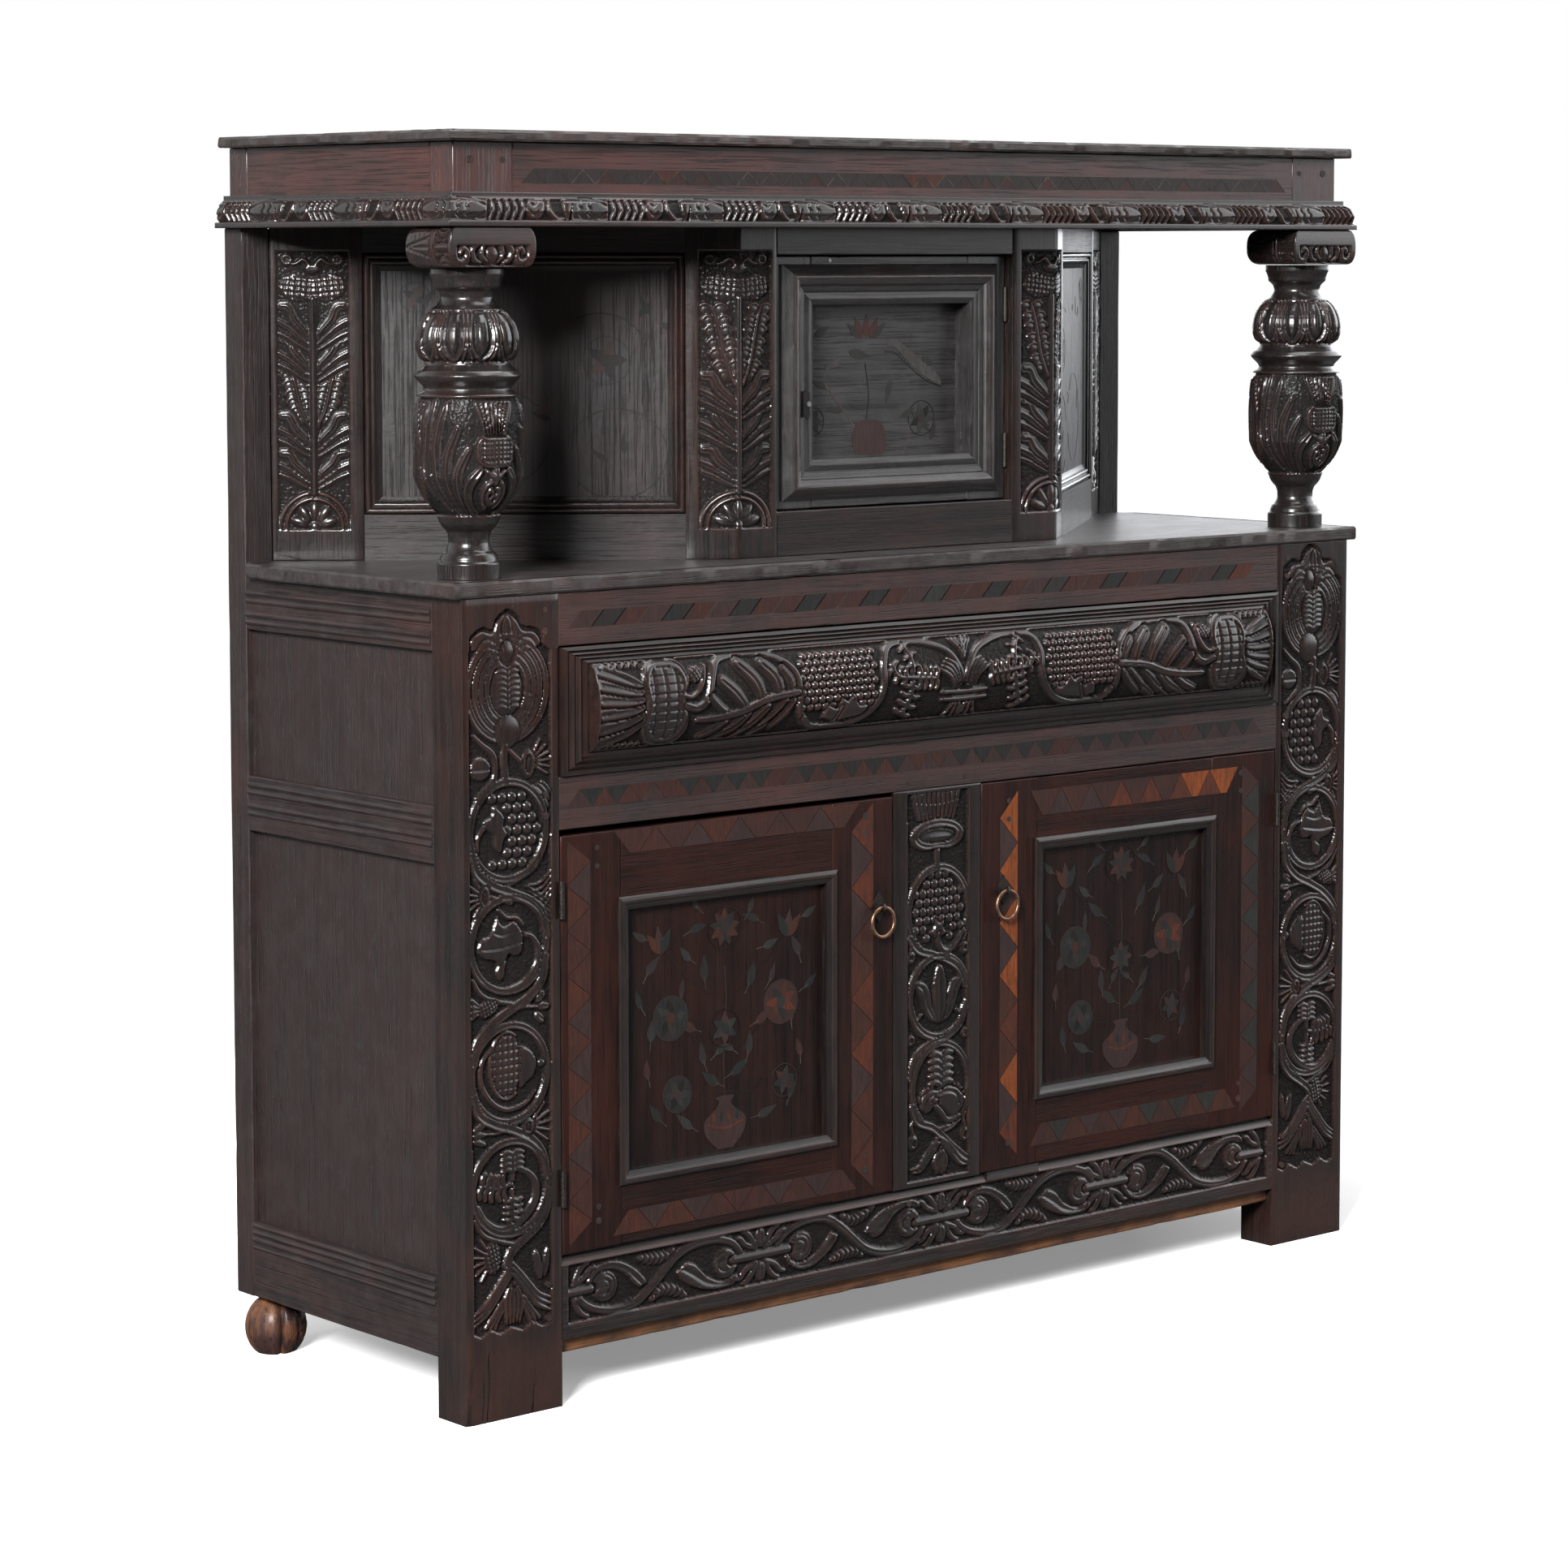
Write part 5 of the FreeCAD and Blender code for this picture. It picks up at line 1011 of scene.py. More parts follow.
def muntin_face():
    wide, tall = 150.0, 507.0
    c = Carving(lines(0, wide, 1.35, 20, 134), lines(0, tall, 1.35, 4, 504), 4.6)

    def at(points):
        return np.array(points, float) - (8, 180)

    c.sink(at([(33, 188), (138, 188), (137, 682), (32, 682)]))
    c.reeds(at([(50, 648), (44, 664), (40, 680)]), at([(114, 648), (120, 664), (124, 680)]), 10, 0,
            (0.9, 0.9), 0.98)
    c.cut(at([(40, 671), (82, 667), (124, 671)]), 1.6, 0.8)
    bean = oval(84, 626, 47, 23)
    bean[:, 1] += 5 * np.exp(-((bean[:, 0] - 84) / 16) ** 2) * (bean[:, 1] < 626)
    c.plate(at(bean), 0, 3, True)
    ring = 84 + (bean - 84) * (0.8, 1)
    ring[:, 1] = 626 + (bean[:, 1] - 626) * 0.68
    c.cut(at(np.vstack([ring, ring[:1]])), 2.0, 1.8, (1, 1))
    c.plate(at(oval(84, 626, 33, 10.5)), -3.0, 2, True)
    c.dome(76, 443, 30, 7, -1.4)
    c.stroke(at([(85, 606), (85, 594), (86, 584)]), 5, -0.2)
    c.band(at(oval(87, 528, 52, 57)), *RING)
    c.stroke(at([(85, 586), (62, 578), (40, 562)]), 3, -0.4, (1, 0.5))
    c.berries(lambda a,
              b: (np.hypot((a - 79) / 46, (b - 350) / 50) < 0.97) & ~((np.abs(a - 80) < 18) & (b < 332)),
              (13, 11.5), 6.2, 0, (79, 350))
    c.plate(at(curve_through([(66, 504), (78, 508), (80, 522), (88, 516), (98, 520), (96, 508), (104, 500),
        (94, 496), (84, 488), (80, 494), (66, 504)])), 0, 3, True)
    c.stroke(at([(86, 500), (88, 488), (96, 478), (108, 478), (122, 490), (130, 502)]), 4.6, -0.2, (0.8, 0.6),
             over=True)
    c.band(at([(38, 498), (52, 482), (76, 474), (100, 466), (122, 452), (134, 430)]), *THIN_VINE)
    c.stroke(at([(38, 440), (52, 458), (72, 468)]), 4, -0.4, (0.8, 1), 0.6)
    for x, z in ((132, 478), (40, 474)):
        c.dome(x - 8, z - 180, 9, 9.5, 0)
        c.dome(x - 8, z - 180, 3.4, 3.4, -2.4, over=True)
        c.stroke(at([(x, z + 10), (x + 2, z + 18), (x - 2, z + 24)]), 2.6, -0.8, (0.9, 0.4))
    # tulip
    c.band(at(oval(88, 420, 50, 52)), *RING)
    c.plate(at(curve_through([(88, 382), (78, 398), (76, 424), (79, 446), (86, 462), (95, 458), (101, 440),
        (102, 420), (98, 398), (88, 382)])), -0.2, 3, True)
    c.cut(at([(90, 388), (91, 420), (89, 452)]), 2.4, 2.2)
    for side in (1, -1):
        petal = [(88, 384), (72, 390), (62, 402), (54, 422), (46, 438), (54, 443), (66, 438), (74, 424),
                 (77, 408), (82, 396), (88, 384)]
        c.plate(at(curve_through([(88 + side * (x - 88), z) for x, z in petal])), -0.6, 2.6)
        c.cut(at([(88 - side * 10, 392), (88 - side * 20, 408), (88 - side * 28, 430),
                  (88 - side * 38, 438)]), 1.8, 1.6)
        c.stroke(at([(88 - side * 30, 400), (88 - side * 40, 392), (88 - side * 43, 404)]), 3.0, -0.6,
                 (0.7, 0.5))
    c.band(at([(134, 404), (122, 380), (98, 366), (68, 358), (46, 344), (38, 320)]), *THIN_VINE)
    c.stroke(at([(40, 398), (54, 376), (76, 366)]), 3.6, -0.4, (0.8, 1), 0.6)
    for x, side in ((40, 1), (134, -1)):
        c.dome(x - 8, 188, 7.5, 8, 0)
        c.dome(x - 8, 188, 3, 3, -2.4, over=True)
    # palmette
    c.band(at(oval(91, 303, 49, 56)), *RING)
    c.stroke(at([(92, 300), (92, 322), (92, 346)]), 4.6, 0, (0.9, 0.5), 1.4, over=True)
    c.leaflets(at([(92, 300), (92, 322), (92, 344)]), 19, 5, 62, -0.2)
    c.leaflets(at([(80, 304), (62, 302), (52, 292)]), 13, 5, 70, -0.6, (1,))
    c.leaflets(at([(104, 304), (122, 302), (132, 290)]), 13, 5, 70, -0.6, (-1,))
    kidney = curve_through([(54, 278), (58, 294), (74, 302), (90, 300), (104, 304), (122, 298), (132, 284),
        (126, 268), (108, 262), (96, 272), (82, 280), (68, 270), (54, 278)])
    c.plate(at(kidney), -0.1, 3, True)
    c.cut(at([(62, 276), (68, 290), (84, 294), (104, 296), (118, 290), (122, 278)]), 2.4, 2.4)
    c.stroke(at([(78, 284), (92, 270), (104, 258), (124, 262)]), 4.2, 0, (0.6, 0.6), 1.0, over=True)
    c.dome(74, 106, 8, 5, -1.0, over=True)
    c.band(at([(42, 282), (52, 262), (76, 252), (92, 240), (108, 226), (126, 212), (146, 198)]), *THIN_VINE)
    for x in (44, 134):
        c.dome(x - 8, 57, 9, 11, 0)
        c.dome(x - 8, 56, 3.6, 4.4, -2.6, over=True)
        c.stroke(at([(x, 248), (x - 3, 258), (x + 1, 266)]), 2.6, -0.8, (0.9, 0.4))
    c.reeds(at([(86, 240), (70, 226), (54, 208), (40, 204)]), at([(88, 228), (76, 214), (58, 197),
        (44, 196)]), 2, -0.2, (0.8, 0.6))
    c.reeds(at([(92, 240), (110, 228), (128, 208), (140, 204)]), at([(92, 228), (106, 214), (124, 197),
        (138, 194)]), 2, -0.2, (0.8, 0.6))
    c.reeds(at([(90, 226), (78, 208), (84, 190)]), at([(92, 226), (104, 208), (98, 190)]), 5, -0.3,
            (0.4, 0.6))
    c.stroke(at([(84, 222), (72, 214), (66, 208)]), 2.4, -1.0, (0.8, 0.5))
    c.stroke(at([(98, 222), (110, 214), (116, 208)]), 2.4, -1.0, (0.8, 0.5))
    c.ease(0.8)
    return c


muntin = carved_piece("carved_muntin", [(muntin_face(), front_face(-87, 180), 35)], CARVED["z"])
fit(muntin, "centre_muntin")

# Case sides: three oak rails a side, tenoned into the stiles and posts, with run mouldings
# planed along them. Two plain panels a side sit loose in the rails' grooves.


def moulded(name, runs, finish=OAK, body="root", slot="carved_oak"):
    """Planed mouldings. A run is its profile of (across, proud), start, end, the way across, the way
    out, the share of across by which each end is mitred, and the way of the grain."""
    points, faces, sunk, worn, slots = [], [], [], [], []
    start = 0
    for profile, first, last, across, out, mitres, run in runs:
        p = np.asarray(profile, float)
        proud = max(p[:, 1].max(), 0.1)
        first, last, across, out = (np.array(v, float) for v in (first, last, across, out))
        long = np.linalg.norm(last - first)
        way = (last - first) / long
        share = np.linspace(0, 1, max(2, int(long / 30)))
        for t in share:
            s = mitres[0] * p[:, 0] * (1 - t) + (long - mitres[1] * p[:, 0]) * t
            sway = chance.normal(0, 0.12) * (0 < t < 1)
            points.append(first + s[:, None] * way + (p[:, :1] + sway * (p[:, 1:] > 0)) * across + p[:,
                1:] * out)
            # The lower parts of each profile are darkened: partly dark wax in its hollows, partly painted
            # shade.
            sunk.append(np.where(p[:, 1] > 0, 0.75 * (1 - p[:, 1] / proud), 0))
            worn.append(np.clip(p[:, 1] / proud, 0, 1) ** 4 * 0.8)
        n, k = len(p), len(share)
        faces += tube(start, k, n)
        slots += ["xyz".index(run)] * (n * (k - 1) + 2)
        start += n * k
    piece = solid(name, points, faces, finish.values(), None, slots, 38, sunk=sunk, worn=worn)
    fit(piece, body=body, slot=slot)
    return piece


def profile(shares, wide, proud, behind=1.0):
    """A moulding's section, rounded through shares of its width and projection."""
    p = curve_through(np.array(shares, float) * (wide, proud), 1.2)
    p[:, 1] = np.maximum(p[:, 1], 0.2)
    return np.vstack([p, [(wide, -behind), (0, -behind)]])


even = oak("side_panel_oak", "z", (0.021, 0.0138, 0.0125), (0.0275, 0.0172, 0.0152), (0.04, 0.0175, 0.014),
           redness=0.3, polish=0.15, gloss=0.4, haze=0.12, ridged=0.12)
for side, sign in (("left", -1), ("right", 1)):
    low, high = sorted((sign * 755, sign * 725))
    rails = boards(f"{side}_side_rail_boards", [
        ((low, -168, 902), (high, 217, 966), "y"), ((low, -168, 654), (high, 217, 722), "y"),
        ((low, -168, 72), (high, 217, 167), "y")], wear=1.6)
    fit(rails, f"{side}_side_rails", slot="plain_oak")
    ogee = profile(((0, 0.1), (0.2, 0.9), (0.48, 0.15), (0.75, 1), (1, 0.1)), 17, 3.4)
    moulded(f"{side}_side_mouldings", [
        (ogee, (sign * 755, -166, z), (sign * 755, 215, z), (0, 0, 1), (sign, 0, 0), (0, 0), "y")
        for z in (908, 934, 673, 699, 132, 150)])
    nodes[f"{side}_side_panels"].data.materials[0] = even

# Floor, runners and backs: plain sawn oak boards nailed in where nobody sees them. They were
# never waxed and have gone a dusty grey-brown.

inner = each_way("inner_", (0.035, 0.022, 0.015), (0.085, 0.052, 0.033), (0.12, 0.07, 0.04),
                 redness=0.5, gloss=0.62, haze=0.3, polish=0.0)
for name, run in (("cupboard_floor", "x"), ("drawer_runners", "y"), ("lower_back_boards", "x"),
                  ("drawer_box_boards", "x"), ("drawer_bottom", "y"), ("upper_back_boards", "x"),
                  ("canopy_back_rail", "x")):
    nodes[name].data.materials[0] = inner[run]

# Shelf: one wide oak board pegged on top of the case. Its edge is chipped and wavy from use, and
# years of wax and dust have greyed its upper face.


def plank(name, corners, low, high, finish, chips=0.06):
    """A wide board with chipped, wavy edges, from the corners of its plan."""
    edge = []
    for a, b in zip(corners, corners[1:] + corners[:1]):
        share = np.linspace(0, 1, max(3, int(math.dist(a, b) / 7)), endpoint=False)[:, None]
        edge.append(np.array(a) * (1 - share) + np.array(b) * share)
    p = np.vstack(edge)
    n = len(p)
    way = np.roll(p, -1, axis=0) - np.roll(p, 1, axis=0)
    inward = np.stack([-way[:, 1], way[:, 0]], 1) / np.hypot(*way.T)[:, None]
    wavy = np.convolve(np.tile(chance.random(n), 3), np.ones(9) / 9, "same")[n : 2 * n]
    rings, rub = [], []
    for z, base, chip in ((low, 2.2, 3.5), (low + 2.5, 0.4, 1.5), (high - 3, 0.4, 2.0), (high, 2.6, 7.0)):
        broken = np.convolve(chance.random(n) > 1 - chips, np.ones(3) / 2, "same")
        inset = base + 2.6 * wavy + chip * broken * chance.random(n)
        height = np.full(n, z) - 0.8 * broken * (z == high)
        rings.append(np.column_stack([p + inward * inset[:, None], height]))
        rub.append(np.clip(0.25 + broken, 0, 1))
    inner = np.column_stack([p + inward * 14, np.full(n, high)])
    faces = [[k * n + i, k * n + (i + 1) % n, (k + 1) * n + (i + 1) % n, (k + 1) * n + i]
             for k in range(4) for i in range(n)]
    faces += [list(range(n)), list(range(4 * n, 5 * n))]
    smooth = [len(face) == 4 for face in faces]
    return solid(name, rings + [inner], faces, [finish], smooth, crease=30, worn=rub + [np.zeros(n)])


board = oak("shelf_oak", "x", (0.014, 0.010, 0.009), (0.04, 0.029, 0.026), (0.06, 0.03, 0.022), redness=0.3,
            gloss=0.37, haze=0.6, polish=0.15, shine=0.32)
SHELF_TOP = 984
shelf = plank("shelf_plank", [(-769, -231), (769, -231), (769, 203), (755, 204), (755, 255), (-755, 255),
    (-755, 206), (-769, 199)], 966, SHELF_TOP, board)
fit(shelf, "shelf_board", slot="plain_oak")

# Lower doors: oak frames tenoned at the corners, with rows of inlaid teeth and a mitred moulding
# round a thin panel inlaid with a vase of flowers. Their panels differ, as each was cut by eye.

door_shares = ((0, 0.5), (0.12, 0.85), (0.3, 1), (0.5, 0.95), (0.62, 0.6), (1, 0.12))


def around(section, x0, x1, z0, z1, y):
    """Four mitred runs round an opening in the front, from its outer corners inwards."""
    out = (0, -1, 0)
    return [
        (section, (x0, y, z0), (x1, y, z0), (0, 0, 1), out, (1, 1), "x"),
        (section, (x0, y, z1), (x1, y, z1), (0, 0, -1), out, (1, 1), "x"),
        (section, (x0, y, z0), (x0, y, z1), (1, 0, 0), out, (1, 1), "z"),
        (section, (x1, y, z0), (x1, y, z1), (-1, 0, 0), out, (1, 1), "z"),
    ]


def petal(cx, cz, long, wide, turn, bend=0.0):
    """A pointed petal from (cx, cz), bent to one side."""
    t = np.linspace(0, 1, 11)
    half = wide / 2 * np.sin(np.pi * t**0.8) * (1 - 0.3 * t)
    x = np.concatenate([long * t, long * t[-2:0:-1]])
    y = np.concatenate([half, -half[-2:0:-1]]) + bend * (x / long) ** 2
    a = math.radians(turn)
    return np.stack([cx + x * math.cos(a) - y * math.sin(a), cz + x * math.sin(a) + y * math.cos(a)], 1)


def flower(cx, cz, radius, petals, woods, turn=0, ring=4):
    """Veneer shapes of a round flower: a disc if it has one, petals by turns of the woods and an eye."""
    parts = string(oval(cx, cz, radius + 0.4, radius + 0.4)[::3], 0.55, ring)
    if woods[0] is not None:
        parts.append((oval(cx, cz, radius, radius)[:-1], 0.30, woods[0]))
    for k in range(petals):
        a = turn + 360 / petals * k
        parts.append((petal(cx, cz, radius * 0.93, radius * 0.55, a), 0.42, woods[1 + k % (len(woods) - 2)]))
    parts.append((oval(cx, cz, radius * 0.27, radius * 0.27)[:-1], 0.54, woods[-1]))
    return parts


def string(points, half=0.8, wood=4, lift=0.34):
    """A thin light line let into the panel."""
    p = curve_through(points, 5)
    d = np.gradient(p, axis=0)
    n = np.stack([-d[:, 1], d[:, 0]], 1) / np.hypot(*d.T)[:, None]
    return [(np.vstack([p + n * half, (p - n * half)[::-1]]), lift, wood)]


def inlay_on(name, body, parts, spot, slot="inlaid_oak"):
    """Sets veneer shapes on a panel at their lifts."""
    rows = [(outline, (lambda x, z, h, up=lift + 0.004 * k: spot(x, z, h + up)), lift + 0.6, wood)
            for k, (outline, lift, wood) in enumerate(parts)]
    fit(shaped(name, rows, INLAYS), body=body, slot=slot)


PANEL = oak("inlaid_ground", "z", (0.0075, 0.0042, 0.0036), (0.0185, 0.0094, 0.0078), (0.032, 0.0102, 0.0072),
            redness=0.65, gloss=0.38, haze=0.02, polish=0.2, shine=0.12, ridged=0.3)


def bouquet(cx, z0, red_top, rosette):
    """Vase, stem, leaves and flowers, in millimetres of the door's panel."""
    parts = string([(cx, z0 + 40), (cx - 2, z0 + 100), (cx + 2, z0 + 170), (cx, z0 + 215)], 0.9, 7)
    for side in (-1, 1):
        parts += string([(cx, z0 + 60), (cx + side * 40, z0 + 55), (cx + side * 60, z0 + 70)], 0.6, 9)
        parts += string([(cx, z0 + 110), (cx + side * 34, z0 + 118), (cx + side * 62, z0 + 146)], 0.6, 9)
        parts += string([(cx + side * 20, z0 + 182), (cx + side * 60, z0 + 208), (cx + side * 92, z0 + 240)],
                        0.6, 9)
        for x, z, long, wide, turn, wood in (
            (10, 76, 34, 15, 30, 1), (34, 96, 30, 13, 75, 7), (112, 130, 34, 16, 100, 3),
            (44, 138, 32, 14, 20, 8), (30, 196, 34, 15, 60, 1), (118, 214, 30, 14, 110, 7),
            (60, 226, 26, 12, 20, 3), (104, 34, 30, 14, 60, 1), (50, 22, 34, 13, 8, 3),
            (120, 88, 24, 12, 80, 8), (126, 176, 26, 11, 40, 1), (16, 104, 22, 10, 140, 3),
            (64, 184, 26, 10, 80, 7), (124, 262, 26, 11, 30, 3), (56, 262, 30, 12, 150, 1),
            (38, 282, 22, 10, 40, 7),
        ):
            x, z, turn = x + chance.normal(0, 3), z + chance.normal(0, 3), turn + chance.normal(0, 12)
            way = turn if side > 0 else 180 - turn
            a = math.radians(way)
            parts.append((petal(cx + side * x, z0 + z, long, wide, way, side * 5.0), 0.34, wood))
            root = np.array([cx + side * x, z0 + z])
            parts += string([root - (10 * math.cos(a), 10 * math.sin(a)), root,
                             root + (6 * math.cos(a), 6 * math.sin(a))], 0.45, 4)
    # vase
    vase = curve_through([(cx - 12, z0 - 10), (cx - 30, z0 + 8), (cx - 32, z0 + 26), (cx - 16, z0 + 38),
        (cx - 9, z0 + 47), (cx - 14, z0 + 54), (cx + 14, z0 + 54), (cx + 9, z0 + 47), (cx + 16, z0 + 38),
        (cx + 32, z0 + 26), (cx + 30, z0 + 8), (cx + 12, z0 - 10)], 3)
    parts.append((vase, 0.44, 2))
    parts += string([(cx - 28, z0 + 22), (cx, z0 + 15), (cx + 28, z0 + 22)], 1.4, 0, 0.56)
    for k in range(4):
        parts.append((petal(cx - 18 + 12 * k, z0 + 24, 14, 7, 90), 0.6, k % 2))
    # flowers
    parts += flower(cx - 85, z0 + 160, 27, 8, (1, 3, 1, 9, 5), 10, 7)
    parts += flower(cx + 90, z0 + 160, 27, 7, (8, 0, 10, 1, 3), 25, 7)
    parts += flower(cx - 75, z0 + 66, 22, 6, (1, 3, 9, 3, 2), 0, 7)
    parts += flower(cx + 95, z0 + 62, 20, 6, (None, 1, 3, 8, 7), 15, 7)
    parts += flower(cx, z0 + 138, 23, rosette, (None, 2, 1, 3, 1), 90, 9)
    parts += flower(cx, z0 + 262, 26, 9, (None, red_top, 8, 1, 7), 90, 9)
    for side in (-1, 1):
        for turn, wood in ((90 - side * 8, 2), (90 - side * 40, 10), (90 + side * 26, 1)):
            parts.append((petal(cx + side * 100, z0 + 240, 34, 15, turn), 0.4, wood))
    return parts


def sagged(piece, above, at_left, at_right, reach=0.6135):
    """Lets the top edge of a door or drawer hang, where its gap has opened with age. The drops in
    millimetres are those at the two ends of the case's opening."""
    for v in piece.data.vertices:
        if v.co.z * 1000 > above:
            v.co.z -= (at_left + (at_right - at_left) * (v.co.x + reach) / (2 * reach)) / 1000


for side, x0, x1, panel, red_top, rosette in (
    ("left", -613.5, -88.5, (-529.5, -183.5, 252.5, 599.5), 10, 6),
    ("right", 64.5, 613.5, (157.5, 495.5, 264.5, 607.5), 5, 8),
):
    body = side + "_door"
    px0, px1, pz0, pz1 = panel
    frame_boards = boards(f"{side}_door_boards", [
        ((x0, FRONT, 181.5), (px0 + 6, -199, 685.5), "z"), ((px1 - 6, FRONT, 181.5), (x1, -199, 685.5), "z"),
        ((px0 + 6, FRONT, 181.5), (px1 - 6, -199, pz0 + 6), "x"),
        ((px0 + 6, FRONT, pz1 - 6), (px1 - 6, -199, 685.5), "x")], RUDDY, 1.5)
    if side == "left":
        sagged(frame_boards, 680, 6, 1)
    fit(frame_boards, f"{side}_door_frame", body=body)
    rim = moulded(f"{side}_door_rim", around(profile(door_shares, 16, 5, 9), *panel, FRONT), CARVED, body)
    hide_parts(f"{side}_door_moulding")
    nodes[f"{side}_door_panel"].data.materials[0] = PANEL
    picture = bouquet((px0 + px1) / 2, pz0 + 30, red_top, rosette)
    inlay_on(f"{side}_door_flowers", body, picture, lambda x, z, h: (x, -216 - h, z))

sharp, blunt = (TRIANGLE, HANGING), (BLUNT, BETWEEN)
for name, (tooth, gap), start, along, upright, count, teeth, gaps in (
    ("left_outer", sharp, (-604, FRONT, 190), (0, 0, 484), (34, 0, 0), 9, (0.45, (10, 5)), (0.3, (5, 2))),
    ("left_inner", sharp, (-122, FRONT, 190), (0, 0, 488), (-36, 0, 0), 7, (0.6, (0, 10)), (0.3, (10, 2))),
    ("right_inner", sharp, (128, FRONT, 196), (0, 0, 476), (-31, 0, 0), 7, (0.7, (6, 0)), (0.3, (10, 2))),
    ("right_outer", sharp, (548, FRONT, 196), (0, 0, 476), (33, 0, 0), 9, (0.15, (10, 5)), (0.3, (2, 3))),
    ("left_top", blunt, (-536, FRONT, 651), (392, 0, 0), (0, 0, 28), 6, (0.5, (10, 5)), (0.1, (5, 2))),
    ("left_base", blunt, (-540, FRONT, 221), (392, 0, 0), (0, 0, -28), 6, (0.4, (10, 5)), (0.2, (5, 2))),
    ("right_top", blunt, (150, FRONT, 636), (390, 0, 0), (0, 0, 33), 7, (0.3, (6, 5)), (0.45, (0, 2))),
    ("right_base", blunt, (150, FRONT, 232), (390, 0, 0), (0, 0, -28), 7, (0.2, (10, 5)), (0.3, (2, 3))),
):
    body = name.split("_")[0] + "_door"
    inlaid_row(name + "_teeth", body, start, along, upright, count, tooth, *teeth)
    short = tuple(v * (count - 1) / count for v in along)
    inlaid_row(name + "_gaps", body, start, short, upright, count - 1, gap, *gaps)

# Door irons: blacksmith's butt hinges and lozenge plates with a staple, of wrought iron that has
# gone black and a little rusty, and drop rings of bronze.


def metal(name, colour, rust, gloss=0.42):
    f = Finish(name)
    wash = f.noise(f.place, 60.0, 5.0, 0.65)
    pits = f.noise(f.place, 420.0, 3.0, 0.6)
    tone = f.mix(wash.spread(0.4, 0.7), colour, tuple(v * 0.45 for v in colour))
    tone = f.mix(pits.spread(0.52, 0.7) * 0.8, tone, rust)
    relief = f.bump(pits + wash * 0.6, 0.0004, 0.6)
    return f.surface(Base_Color=tone, Roughness=gloss + wash * 0.2, Metallic=1 - pits.spread(0.5, 0.7) * 0.8,
                     Normal=relief)


iron = metal("black_iron", (0.06, 0.055, 0.052), (0.05, 0.022, 0.012))
bronze = metal("bronze", (0.34, 0.19, 0.12), (0.08, 0.035, 0.02), 0.26)
for name in ("left_door_hinges", "right_door_hinges", "case_hinge_leaves", "upper_door_hinges",
             "left_handle_plate", "right_handle_plate", "left_ring", "right_ring"):
    nodes[name].data.materials[0] = bronze if name.endswith("ring") else iron

# Drawer: an oak front with a reeded border and a long cushion carved with brush, grapes, leaf
# and sprig, the same both ways from the middle. The box behind it is plain nailed oak.


CUSHION = (1153.0, 105.2)


